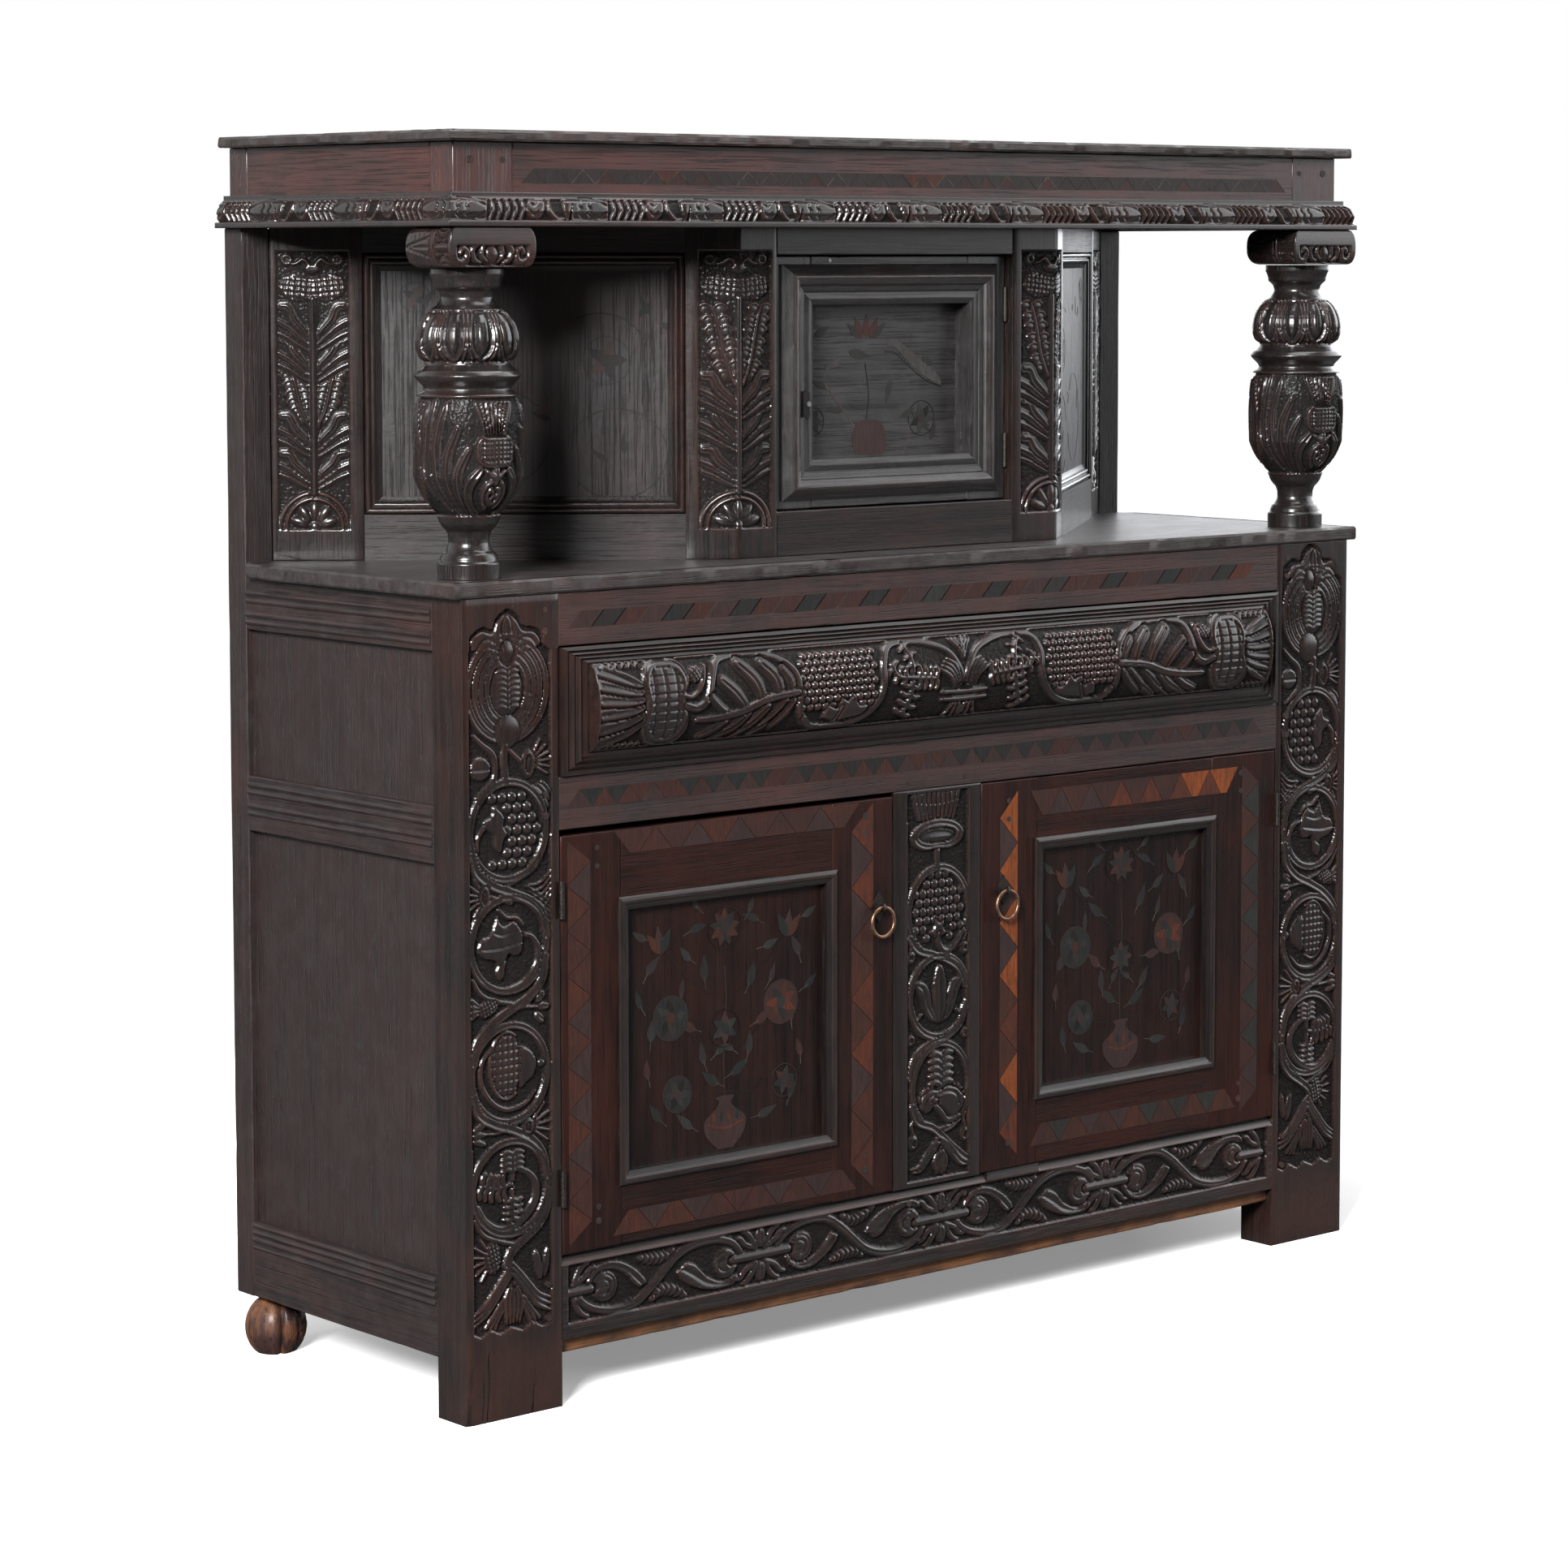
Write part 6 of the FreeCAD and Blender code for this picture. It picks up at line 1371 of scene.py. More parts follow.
def cushion_face():
    wide, tall = CUSHION
    c = Carving(np.linspace(0, wide, int(wide / 1.5)), np.linspace(0, tall, int(tall / 1.45)), 5.6)
    mirrored = False

    def at(points):
        p = np.array(points, float)
        if mirrored:
            p[:, 0] = 1530 - p[:, 0]
        return np.stack([p[:, 0] - 178.5, (p[:, 1] - 773) / 100 * tall], 1)

    c.sink([(3, 1.5), (wide - 3, 1.5), (wide - 3, tall - 1.5), (3, tall - 1.5)])
    for mirrored in (False, True):
        # brush
        for k in range(6):
            tip, root = 782 + k * 16.6, 803 + k * 8.4
            c.frond(at([(246, root), (222, root * 0.55 + tip * 0.45), (186, tip)]), 8.2, 1, 0, (0.4, 0.95))
            c.cut(at([(238, root), (214, root * 0.4 + tip * 0.6), (192, tip)]), 1.5, 1.6)
        for k in range(6):
            for high in (866, 776):
                mark = at([(190 + 10 * k, high), (196 + 10 * k, high + 4), (201 + 10 * k, high - 1)])
                c.stroke(mark, 1.9, -0.8)
        # barred head in a double collar
        kidney = curve_through([(258, 784), (250, 800), (256, 822), (252, 846), (260, 864), (282, 869),
            (304, 862), (312, 844), (306, 824), (311, 802), (300, 784), (280, 778), (258, 784)])
        c.plate(at(kidney + (kidney - (281, 824)) * 0.17), -0.1, 2.2, True)
        c.cut(at(kidney + (kidney - (281, 824)) * 0.05), 1.7, 2.4, (1, 1))
        c.hatched(at((281, 824) + (kidney - (281, 824)) * (0.88, 0.9)), (17, 10.5), 0, 0, 1.0)
        c.stroke(at([(308, 830), (322, 828), (336, 840), (344, 862)]), 3.4, -0.2, (1, 0.8))
        c.hatched(at(oval(328, 853, 12, 9, turn=30)), (5, 4.6), -0.2, 30)
        c.stroke(at([(312, 818), (330, 814), (346, 824), (355, 850), (366, 866), (392, 871), (430, 871),
                     (462, 862), (484, 846), (491, 822), (492, 800), (503, 784), (524, 776)]), 5.0, 0, (1, 1),
                     1.1, over=True)
        # big leaf: lobes above its rib, long strokes below
        for path, half, veins in (
            ([(378, 806), (366, 812), (352, 824)], 6, 2), ([(404, 812), (388, 828), (368, 843)], 9, 3),
            ([(432, 818), (420, 840), (397, 860)], 10, 3), ([(460, 822), (452, 842), (434, 858)], 10, 3),
            ([(480, 824), (476, 838), (466, 850)], 7, 2), ([(470, 812), (448, 794), (418, 779)], 8, 3),
            ([(440, 808), (414, 790), (388, 778)], 8, 3), ([(410, 802), (388, 788), (360, 778)], 8, 3),
            ([(380, 798), (360, 788), (338, 780)], 6, 2), ([(482, 812), (468, 798), (448, 784)], 6, 2),
        ):
            c.frond(at(path), half, veins, -0.1, (0.7, 0.85))
        c.stroke(at([(330, 800), (366, 801), (402, 806), (440, 817), (488, 822)]), 5.0, 0, (0.6, 0.9), 1.3,
                 over=True)
        # grapes
        held = at([(486, 777), (626, 870)])
        low, high = held.min(0), held.max(0)
        c.berries(lambda a, b: (a > low[0] + 9) & (a < high[0] - 8) & (b > low[1] + 22) & (b < tall - 3),
                  (12.4, 9.0), 5.6, 0, (low[0] + 4, 4))
        leaf = curve_through([(528, 788), (536, 804), (552, 800), (558, 812), (570, 808), (580, 816),
            (588, 802), (604, 800), (596, 788), (574, 784), (548, 782), (528, 788)])
        c.plate(at(leaf), 0, 3, True)
        c.stroke(at([(560, 800), (552, 786), (546, 779)]), 2.6, 0, over=True)
        c.stroke(at([(500, 790), (516, 779), (560, 776), (598, 785), (620, 802), (629, 822), (630, 846),
                     (640, 864), (662, 870), (700, 868), (738, 856), (756, 836), (763, 818)]), 5.0, 0,
                     (1, 0.6), 1.1, over=True)
        # sprig in its loop
        c.stroke(at([(666, 866), (676, 848), (676, 815), (664, 782)]), 3.4, 0, (0.6, 0.6), over=True)
        c.stroke(at([(642, 844), (652, 830), (676, 827), (716, 824)]), 3.2, 0, (0.6, 0.7), over=True)
        c.leaflets(at([(676, 822), (672, 804), (664, 784)]), 15, 4, 72, -0.3)
        c.leaflets(at([(684, 826), (700, 825), (718, 824)]), 14, 4, 72, -0.3)
        c.leaflets(at([(670, 828), (656, 830), (644, 840)]), 12, 3, 70, -0.3)
        c.leaflets(at([(678, 836), (676, 850), (668, 864)]), 11, 3, 70, -0.3)
        # reeds that run in to the middle
        c.reeds(at([(738, 848), (752, 838), (760, 812)]), at([(722, 832), (740, 822), (750, 806)]), 4, -0.3,
                (0.6, 0.6))
        c.reeds(at([(744, 868), (756, 858), (765, 842)]), at([(760, 872), (768, 862), (765, 850)]), 3, -0.6)
        c.leaflets(at([(742, 786), (752, 782), (762, 784)]), 10, 3, 80, -0.8)
    mirrored = False
    c.stroke(at([(728, 806), (765, 805), (802, 806)]), 3.4, 0, (0.8, 0.8), over=True)
    c.stroke(at([(728, 797), (765, 796), (802, 797)]), 3.4, 0, (0.8, 0.8), over=True)
    c.dome(*at([(765, 782)])[0], 9, 8, -0.6)
    return c


def on_cushion(x, z, h):
    """Bends the carving over the cushion. Its back, more than 20 mm down, lies on the drawer front."""
    wide, tall = CUSHION
    proud = 6 + 23 * np.sqrt(np.clip(1 - (2 * z / tall - 1) ** 2, 0, 1))
    return x - wide / 2, np.where(h < -20, FRONT, FRONT - proud - h), z + 776.3


front = boards("drawer_front_board", [((-613.5, FRONT, 750.3), (613.5, -203, 901.5), "x")], CARVED, 1.2)
sagged(front, 896, 3, 6)
fit(front, "drawer_front", body="drawer")
cushion = carved_piece("drawer_cushion_carving", [(cushion_face(), on_cushion, 30)], CARVED["x"])
fit(cushion, "drawer_cushion", body="drawer")
reeds = ((0, 0.1), (0, 0.5), (0.2, 0.72), (0.24, 0.3), (0.44, 0.85), (0.48, 0.42), (0.68, 1), (0.72, 0.55),
         (0.97, 0.9), (1, 0.1))


def reeded(wide):
    return np.vstack([np.array(reeds, float) * (wide, 8), [(wide, -1), (0, -1)]])


sides = around(None, -613.5, 613.5, 750.3, 901.5, FRONT)
sections = (reeded(26), reeded(20), reeded(37), reeded(37))
slants = ((37 / 26,) * 2, (37 / 20,) * 2, (26 / 37, 20 / 37), (26 / 37, 20 / 37))
border = moulded("drawer_border", [
    (section, first, last, across, out, slant, run)
    for section, slant, (_, first, last, across, out, _, run) in zip(sections, slants, sides)], CARVED,
    "drawer")
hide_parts("drawer_moulding")

# Columns: turned in one piece, then carved with leaves below and a lobed bulb above. They are
# doweled into the shelf and the canopy.


def from_middle(middle, way, zero=0.0):
    """Places points from a middle line, the other way round if way is below 0."""

    def at(points):
        p = np.array(points, float)
        return np.stack([middle + way * (p[:, 0] - zero), p[:, 1]], 1)

    return at


def column_face(swing):
    """Unrolled column: x round it at its widest radius, z up from the shelf. swing turns its leaves."""
    round_it = 2 * np.pi * 65
    c = Carving(np.linspace(0, round_it, 321), np.arange(0, 359.5, 1.45), 5.8)
    low, high = 75.0, 211.0
    c.sink([(-1, low), (round_it + 1, low), (round_it + 1, high), (-1, high)])
    for turn in (0, 1):
        base = round_it * (0.25 + 0.5 * turn + swing)
        for s in (1, -1):
            at = from_middle(base, s)
            # acanthus: fat veined lobes that sweep up from the curl, each lower than the last
            for path, half, veins in (
                ([(56, 76), (86, 96), (99, 128), (101, 162), (97, 205)], 5.5, 1),
                ([(50, 75), (76, 90), (90, 120), (90, 160), (83, 206)], 6.5, 1),
                ([(42, 75), (64, 88), (76, 115), (78, 158), (66, 202)], 7.5, 2),
                ([(35, 75), (52, 86), (63, 108), (63, 142), (49, 176)], 7.5, 2),
                ([(27, 75), (41, 83), (50, 100), (49, 126), (36, 152)], 7.2, 2),
                ([(19, 75), (29, 80), (37, 93), (35, 110), (21, 128)], 6.5, 1),
            ):
                c.frond(at(path), half, veins, 0, (0.6, 0.62))
        # the curl, stalk, hatched head and brush
        for r, spin in ((16.5, -60), (10, 120)):
            c.stroke(oval(base, 98, r, r, spin, spin + 300), 3.4, 0, (0.4, 1), over=True)
        for spin in (0, 120, 240):
            a = np.radians(spin)
            c.stroke([(base, 98), (base + 6 * np.cos(a), 98 + 6 * np.sin(a)),
                      (base + 11 * np.cos(a + 0.8), 98 + 11 * np.sin(a + 0.8))], 2.6, 0, (0.8, 0.6))
        c.stroke([(base, 113), (base + 1, 122), (base, 131)], 4.0, 0, over=True)
        c.stroke([(base - 13, 127), (base, 119), (base + 13, 127)], 3.0, -0.3, (0.5, 0.5))
        off, half = oval(base, 150, 27, 20.5) - (base, 150), (27, 20.5)
        box = (base, 150) + np.sign(off) * np.abs(off / half) ** 0.7 * half
        c.plate(box, 0, 2.4, True)
        c.cut((base, 150) + (box - (base, 150)) * (0.87, 0.83), 1.3, 1.9, (1, 1))
        c.hatched((base, 150) + (box - (base, 150)) * (0.80, 0.74), (6.0, 5.4), 0, 0, 0.6)
        for k in range(8):
            lean_out = (k - 3.5) / 3.5
            c.frond([(base + lean_out * 12, 170), (base + lean_out * 17, 186), (base + lean_out * 25, 204)],
                    3.6, 1, 0, (0.8, 0.9))
    # lobed bulb
    c.sink([(-1, 252), (round_it + 1, 252), (round_it + 1, 309), (-1, 309)])
    c.h = np.where((c.z > 246) & (c.z < 314), np.maximum(c.h, -4.4), c.h)
    lobe = round_it / 10
    for k in range(11):
        x = lobe * k
        c.plate(curve_through([(x - 9, 310), (x - 10.5, 285), (x - 9, 268), (x, 258), (x + 9, 268),
            (x + 10.5, 285), (x + 9, 310), (x - 9, 310)]), 0, 6, True)
        c.stroke([(x - 12.5, 312), (x - 16, 286), (x - 13, 264), (x, 253), (x + 13, 264), (x + 16, 286),
                  (x + 12.5, 312)], 1.9, -0.1)
        y = x + lobe / 2
        c.stroke([(y, 312), (y, 290), (y, 272)], 2.6, -0.3, (1, 0.6))
        c.dome(y, 270, 3.6, 3.6, 0)
        for out in (-1, 1):
            c.stroke([(y + out, 268), (y + out * 4, 260), (y + out * 8, 253)], 2.4, -0.3, (0.8, 0.5))
    return c


def wound(name, points, c, material):
    """Closes rows of points that go round a piece, and caps it above and below."""
    rows, cols = points.shape[:2]
    faces = tube(0, rows, cols)
    return solid(name, points, faces, [material], [True] * len(faces), sunk=c.sunk()[:, :-1],
                 worn=c.wear()[:, :-1])


def turned(name, c, node, middle, foot, material):
    """Wraps a carving round the outline that a node is turned to."""
    at = np.array([v.co[:] for v in nodes[node].data.vertices]) * 1000
    far = np.hypot(at[:, 0] - middle[0], at[:, 1] - middle[1])
    heights = np.round(at[:, 2])
    levels = np.unique(heights)
    outline = np.array([far[heights == level].max() for level in levels])
    angle = c.xs[:-1] / c.xs[-1] * 2 * np.pi
    radius = np.interp(c.zs + foot, levels, outline)[:, None] + c.h[:, :-1]
    z = np.broadcast_to((c.zs + foot)[:, None], radius.shape)
    grid = [middle[0] + radius * np.cos(angle), middle[1] + radius * np.sin(angle), z]
    return wound(name, np.stack(grid, -1), c, material)


def capital_face():
    """Unrolled capital: x round its plan from the middle of its back, z up."""
    c = Carving(np.linspace(0, 430, 331), np.linspace(0, 47, 37), 4.5)
    c.sink([(163, 2), (267, 2), (267, 26), (163, 26)])
    for s in (1, -1):
        at = from_middle(215, s)
        c.sink(at([(66, 3), (93, 3), (93, 44), (66, 44)]))
        # the top band curls down at each corner into a volute, with a small curl beside the egg
        c.stroke(at([(22, 30), (40, 31), (54, 26), (56, 14), (48, 6), (38, 8), (35, 17), (41, 22), (46, 16)]),
                 4.2, 0, (0.7, 0.5), over=True)
        c.stroke(at([(20, 27), (28, 20), (26, 9), (17, 5)]), 3.4, -0.2, (0.9, 0.4), over=True)
        c.stroke(at([(13, 27), (14, 12), (0, 3)]), 2.3, -0.2, over=True)
        # the side: a cross-cut leaf, two rings and a long pointed leaf
        for path in ([(68, 8), (80, 20), (92, 36)], [(68, 38), (80, 26), (92, 10)],
                     [(68, 23), (80, 23), (92, 23)],
                     [(68, 3), (80, 8), (92, 4)], [(68, 43), (80, 39), (92, 43)]):
            c.frond(at(path), 4.6, 2, -0.2, (0.6, 0.9))
        for x in (95, 102):
            c.cut(at([(x, 0), (x, 47)]), 2.0, 2.2, (1, 1))
        for path in ([(104, 12), (130, 18), (152, 23)], [(104, 35), (130, 28), (152, 23)],
                     [(106, 23), (128, 23), (140, 23)]):
            c.cut(at(path), 2.2, 2.2, (1, 0.3))
        for k in range(5):
            c.cut(at([(112 + 8 * k, 34 - k), (116 + 8 * k, 40 - 1.5 * k)]), 1.3, 1.3)
            c.cut(at([(112 + 8 * k, 13 + k), (116 + 8 * k, 6 + 1.5 * k)]), 1.3, 1.3)
    c.dome(215, 14, 9, 11, 0, over=True)
    return c


CAPITAL_FOOT = 1343


def capital(name, middle, c, material):
    """Wraps the carving round a block that is rounded at its back and its sides."""
    corner = curve_through([(-61, -150), (-58, -134), (-46, -124), (-30, -121)], 1.5)
    half = np.vstack([[(-61, FRONT)], corner, [(0, -121)]])[::-1]
    plan = np.vstack([half, half[::-1] * (-1, 1)])
    gone = np.concatenate([[0], np.cumsum(np.hypot(*np.diff(plan, axis=0).T))])
    at = c.xs[:-1] / c.xs[-1] * gone[-1]
    x, y = (np.interp(at, gone, plan[:, k]) for k in (0, 1))
    ahead, behind = (np.stack([np.interp(at + d, gone, plan[:, k]) for k in (0, 1)], 1) for d in (0.7, -0.7))
    way = ahead - behind
    out = np.stack([-way[:, 1], way[:, 0]], 1) / np.hypot(*way.T)[:, None]
    out *= np.sign((out * np.stack([x, y + 173], 1)).sum(1))[:, None]
    middle_z = c.zs[-1] / 2
    rise = np.clip(np.abs(c.zs - middle_z) / middle_z, 0, 0.999)[:, None]
    drawn_in = 1 - np.sqrt(1 - rise**2.6)
    h = c.h[:, :-1]
    points = np.stack([
        middle + x * (1 - 0.2 * drawn_in) + out[:, 0] * h,
        np.clip(FRONT + (y - FRONT) * (1 - 0.14 * drawn_in) + 4 * drawn_in * (y < -220) + out[:, 1] * h,
                FRONT, -121),
        np.broadcast_to(c.zs[:, None], h.shape) + CAPITAL_FOOT], -1)
    points[..., 0] = middle + np.clip(points[..., 0] - middle, -61, 61)
    return wound(name, points, c, material)


blackened = oak("blackened_oak", "z", (0.0055, 0.0045, 0.0041), (0.0165, 0.0112, 0.0098),
                (0.033, 0.0135, 0.0108), redness=0.3, gloss=0.3, haze=0.04, polish=1.0, shine=0.26, wet=0.2)
cut_capital = capital_face()
for side, sign in (("left", -1), ("right", 1)):
    column = turned(f"{side}_column_carving", column_face(-0.012 if side == "left" else -0.028),
                    f"{side}_column", (sign * 705, -173), SHELF_TOP, blackened)
    fit(column, f"{side}_column")
    fit(capital(f"{side}_capital_carving", sign * 705, cut_capital, CARVED["x"]), f"{side}_capital")

# Canopy: frieze rails tenoned into corner blocks, a row of inlaid teeth along the front, and a
# carved cornice nailed round three sides under the flat top board.

CANOPY_FRONT, CANOPY_SIDE, CANOPY_BACK, CANOPY_FOOT = -203, 746, 255, 1390
FRIEZE = each_way("frieze_oak_", (0.012, 0.0068, 0.0058), (0.033, 0.0165, 0.0138), (0.074, 0.019, 0.0128),
                  redness=0.8, polish=0.55, gloss=0.38, haze=0.05, shine=0.45, ridged=0.25)
canopy = boards("canopy_rail_boards", [
    ((-661, -203, 1390), (661, -168, 1487), "x"), ((-746, -159, 1390), (-716, 217, 1487), "y"),
    ((716, -159, 1390), (746, 217, 1487), "y"), ((-746, -203, 1390), (-661, -159, 1487), "z"),
    ((661, -203, 1390), (746, -159, 1487), "z"), ((-746, 217, 1390), (-706, 255, 1487), "z"),
    ((706, 217, 1390), (746, 255, 1487), "z")], FRIEZE, 1.2)
fit(canopy, "canopy_front_rail", "canopy_side_rails", "canopy_corner_blocks")
frieze_start, frieze_rise = (-648, CANOPY_FRONT, 1440), (0, 0, 17)
inlaid_row("frieze_teeth", "root", frieze_start, (1296, 0, 0), frieze_rise, 36, TRIANGLE, 0.3, (8, 7), 0.15)
inlaid_row("frieze_gaps", "root", frieze_start, (1260, 0, 0), frieze_rise, 35, HANGING, 0.2, (10, 7), 0.15)
inlaid_row("frieze_lines", "root", frieze_start, (1296, 0, 0), frieze_rise, 36,
           [(0, 0), (0.5, 1), (1, 0), (0.955, 0), (0.5, 0.9), (0.045, 0)], 0.6, (4, 3), 0.5)


def cornice_face():
    """Unrolled cornice: x along it, z up its section."""
    c = Carving(np.arange(0, 1537, 1.6), np.linspace(0, 44, 34), 5.0)
    for k in range(-1, 9):

        def at(points):
            return np.array(points, float) * (178, 27) + (52 + 178 * k, 9)

        c.sink(at([(0, 0), (0.7, 0), (0.7, 1), (0, 1)]))
        for x in np.arange(5) * 0.062 + 0.02:
            c.stroke(at([(x, 1), (x + 0.035, 0.5), (x, 0)]), 2.4, 0, (0.8, 0.7))
        # a lobed leaf, a curl round a hollow and a dart
        c.plate(curve_through(at([(0.33, 1), (0.31, 0.6), (0.33, 0.2), (0.37, 0), (0.44, 0.1), (0.48, 0.5),
            (0.46, 1), (0.33, 1)])), 0, 3, True)
        for z in (0.3, 0.68):
            c.cut(at([(0.345, z + 0.15), (0.385, z - 0.05), (0.42, z + 0.12)]), 1.7, 2.2)
        c.stroke(at([(0.49, 1), (0.52, 0.4), (0.58, 0.08), (0.63, 0.1)]), 3.0, 0, (0.8, 0.6))
        c.plate(at([(0.605, 1), (0.71, 1), (0.672, 0), (0.652, 0)]), 0, 2.5, True)
        c.cut(at([(0.64, 1), (0.66, 0.1)]), 1.3, 1.6)
        # the long smooth leaf up to the next strokes
        for x in (0.755, 0.83):
            c.cut(at([(x + 0.025, 0.85), (x, 0.66), (x + 0.02, 0.5), (x, 0.34), (x + 0.025, 0.15)]), 1.9, 2.6)
        for z in (0.0, 1.0):
            c.cut(at([(0.74, 0.5 + (z - 0.5) * 1.1), (0.86, 0.5 + (z - 0.5) * 0.95),
                      (0.985, 0.5 + (z - 0.5) * 0.3)]), 2.2, 2.6, (0.2, 1))
    return c


# the cornice's section, out from the canopy's rails and up from their foot
CORNICE_TALL, CORNICE_UNROLLED = 39, 44
section = np.array([(1, 0), (1, 0.16), (0.8, 0.2), (0.9, 0.45), (0.72, 0.72), (0.4, 0.86), (0.4, 1)])
section = section * (22, CORNICE_TALL)
gone = np.concatenate([[0], np.cumsum(np.hypot(*np.diff(section, axis=0).T))])


def on_cornice(z, h):
    """Projection and height of a place on the cornice's face."""
    d = z / CORNICE_UNROLLED * gone[-1]
    out, up = (np.interp(d, gone, section[:, k]) for k in (0, 1))
    return np.where(h < -20, 0.0, np.maximum(out + h * 0.8, 1.0)), np.clip(up + h * 0.15, 0, CORNICE_TALL)


def front_cornice(x, z, h):
    out, up = on_cornice(z, h)
    return (x - 768) / 768 * (CANOPY_SIDE + out), CANOPY_FRONT - out, CANOPY_FOOT + up


SIDE_LENGTH = 480


def side_cornice(sign):
    def spot(x, z, h):
        out, up = on_cornice(z, h)
        front = CANOPY_FRONT - out
        back = front + (CANOPY_BACK - front) * x / SIDE_LENGTH
        return sign * (CANOPY_SIDE + out), back, CANOPY_FOOT + up

    return spot


cornice = cornice_face()
short = Carving(cornice.xs[cornice.xs <= SIDE_LENGTH], cornice.zs, 4.0)
short.h = cornice.h[:, : len(short.xs)]
cornices = carved_piece("cornice_carving", [
    (cornice, front_cornice, 30), (short, side_cornice(-1), 30), (short, side_cornice(1), 30)], CARVED["x"])
fit(cornices, "cornice_front", "cornice_sides")
top = plank("top_plank", [(-764, -221), (764, -221), (764, 255), (-764, 255)], 1487, 1500, board, 0.12)
fit(top, "top_board", slot="plain_oak")

# Upper cupboard: a canted cupboard set back on the shelf. Carved posts stand at its front
# arrises and against the rear posts, with plain panels between and rails over and under.

lean = math.radians(39.4)
ARRIS_X, ARRIS_Y = 273, -146


def canted(sign, start=0.0):
    """Places a carving along a canted side. x is the way back from the front arris."""
    def spot(x, z, h):
        t = x + start
        out = ARRIS_X + t * math.cos(lean) + h * math.sin(lean)
        return sign * out, ARRIS_Y + t * math.sin(lean) - h * math.cos(lean), z + SHELF_TOP

    return spot


def folded(sign):
    """Places a carving round a front arris. x is below 0 on the front and above 0 on the canted side."""
    fine = np.linspace(-90, 80, 681)
    angle = lean * np.clip((fine + 5) / 10, 0, 1)
    step = fine[1] - fine[0]
    along = np.cumsum(np.cos(angle)) * step
    back = np.cumsum(np.sin(angle)) * step
    zero = np.interp(-20.0, fine, along) + 20.0

    def spot(x, z, h):
        a = np.interp(x, fine, angle)
        px = ARRIS_X + np.interp(x, fine, along) - zero + h * np.sin(a)
        return sign * px, ARRIS_Y + np.interp(x, fine, back) - h * np.cos(a), z + SHELF_TOP

    return spot


def upper_face(feathers_on_top, low, high, stem, stretch):
    """A post's face with leaves in pairs up a stem, over a shell in its arch. low and high are its
    edges, stem the middle of the carving and stretch its width over the usual one."""
    c = Carving(lines(low, high, 1.3, max(low + 2, stem - 46 * stretch), min(high - 2, stem + 46 * stretch)),
                lines(0, 503, 1.35, 36, 380), 4.2)
    left, right = max(low + 5, stem - 43.5 * stretch), min(high - 5, stem + 43.5 * stretch)
    c.sink([(left, 38), (right, 38), (right, 378), (left, 378)])

    def x(value):
        return stem + value * stretch

    for s in (1, -1):
        at = from_middle(stem, s * stretch, 52)

        def leaf(z, tall):
            for path, half, veins in (
                ([(55, z - 12), (68, z - 4), (82, z + tall * 0.12), (95, z + tall * 0.26)], 4.2, 2),
                ([(55, z - 5), (66, z + tall * 0.12), (80, z + tall * 0.4), (95, z + tall * 0.6)], 5.2, 2),
                ([(55, z + 2), (62, z + tall * 0.3), (74, z + tall * 0.62), (81, z + tall * 0.96),
                  (91, z + tall)], 6, 2),
            ):
                c.frond(at(path), half * stretch, veins, -0.1, (0.45, 0.85))

        def feather(z, tall):
            path = curve_through(at([(57, z), (66, z + tall * 0.25), (71, z + tall * 0.5),
                (76, z + tall * 0.78), (82, z + tall)]))
            for t in np.linspace(0.95, 0.12, 7):
                px, pz = path[int(t * (len(path) - 1))]
                for side in (1, -1):
                    cx = px + side * 8.2 * stretch
                    c.dome(cx, pz, 7.6 * stretch, 7.5, -1.4, over=True)
                    c.stroke(oval(cx, pz, 6.8 * stretch, 7, 5, 175), 1.7, -0.1)
            c.stroke(path, 2.8, 0, (0.8, 0.4), over=True)

        # rings, cup and hatched head
        c.dome(x(s * 31), 368, 8 * stretch, 8.5, -0.2)
        c.dome(x(s * 31), 368, 3.6, 3.6, -3.2, over=True)
        c.stroke(at([(52, 356), (62, 368), (70, 364), (76, 362)]), 2.4, -0.5, (1, 0.6))
        head = curve_through([(52, 319), (66, 318), (80, 320), (91, 330), (90, 342), (82, 350), (66, 348),
            (52, 345)])
        c.hatched(at(np.vstack([head, [(52, 345), (52, 319)]])), (7.2, 6.6), -0.1, s * 6, 1.0)
        c.plate(at(oval(52, 357, 12, 8)), -0.3, 4)
        if feathers_on_top:
            feather(214, 98)
            for z, tall in ((100, 36), (144, 42), (184, 42)):
                leaf(z, tall)
        else:
            feather(164, 76)
            for z, tall in ((98, 34), (138, 40), (230, 42), (268, 44)):
                leaf(z, tall)
    # shell in its double arch
    for r in (41.5, 34.5):
        c.stroke(oval(stem, 40, r * stretch, r * 1.03, 0, 180), 2.8, -0.1)
    for a in (18, 54, 90, 126, 162):
        d = math.radians(a)
        c.dome(x(18.5 * math.cos(d)), 41 + 18.5 * math.sin(d), 12.5 * stretch, 6.6, -0.1, a, 0.6)
    c.dome(stem, 41, 7, 7, -0.1, over=True)
    c.stroke([(stem, 82), (stem, 200), (stem, 320)], 4.4, 0, (1, 0.9), over=True)
    c.ease(0.9)
    return c


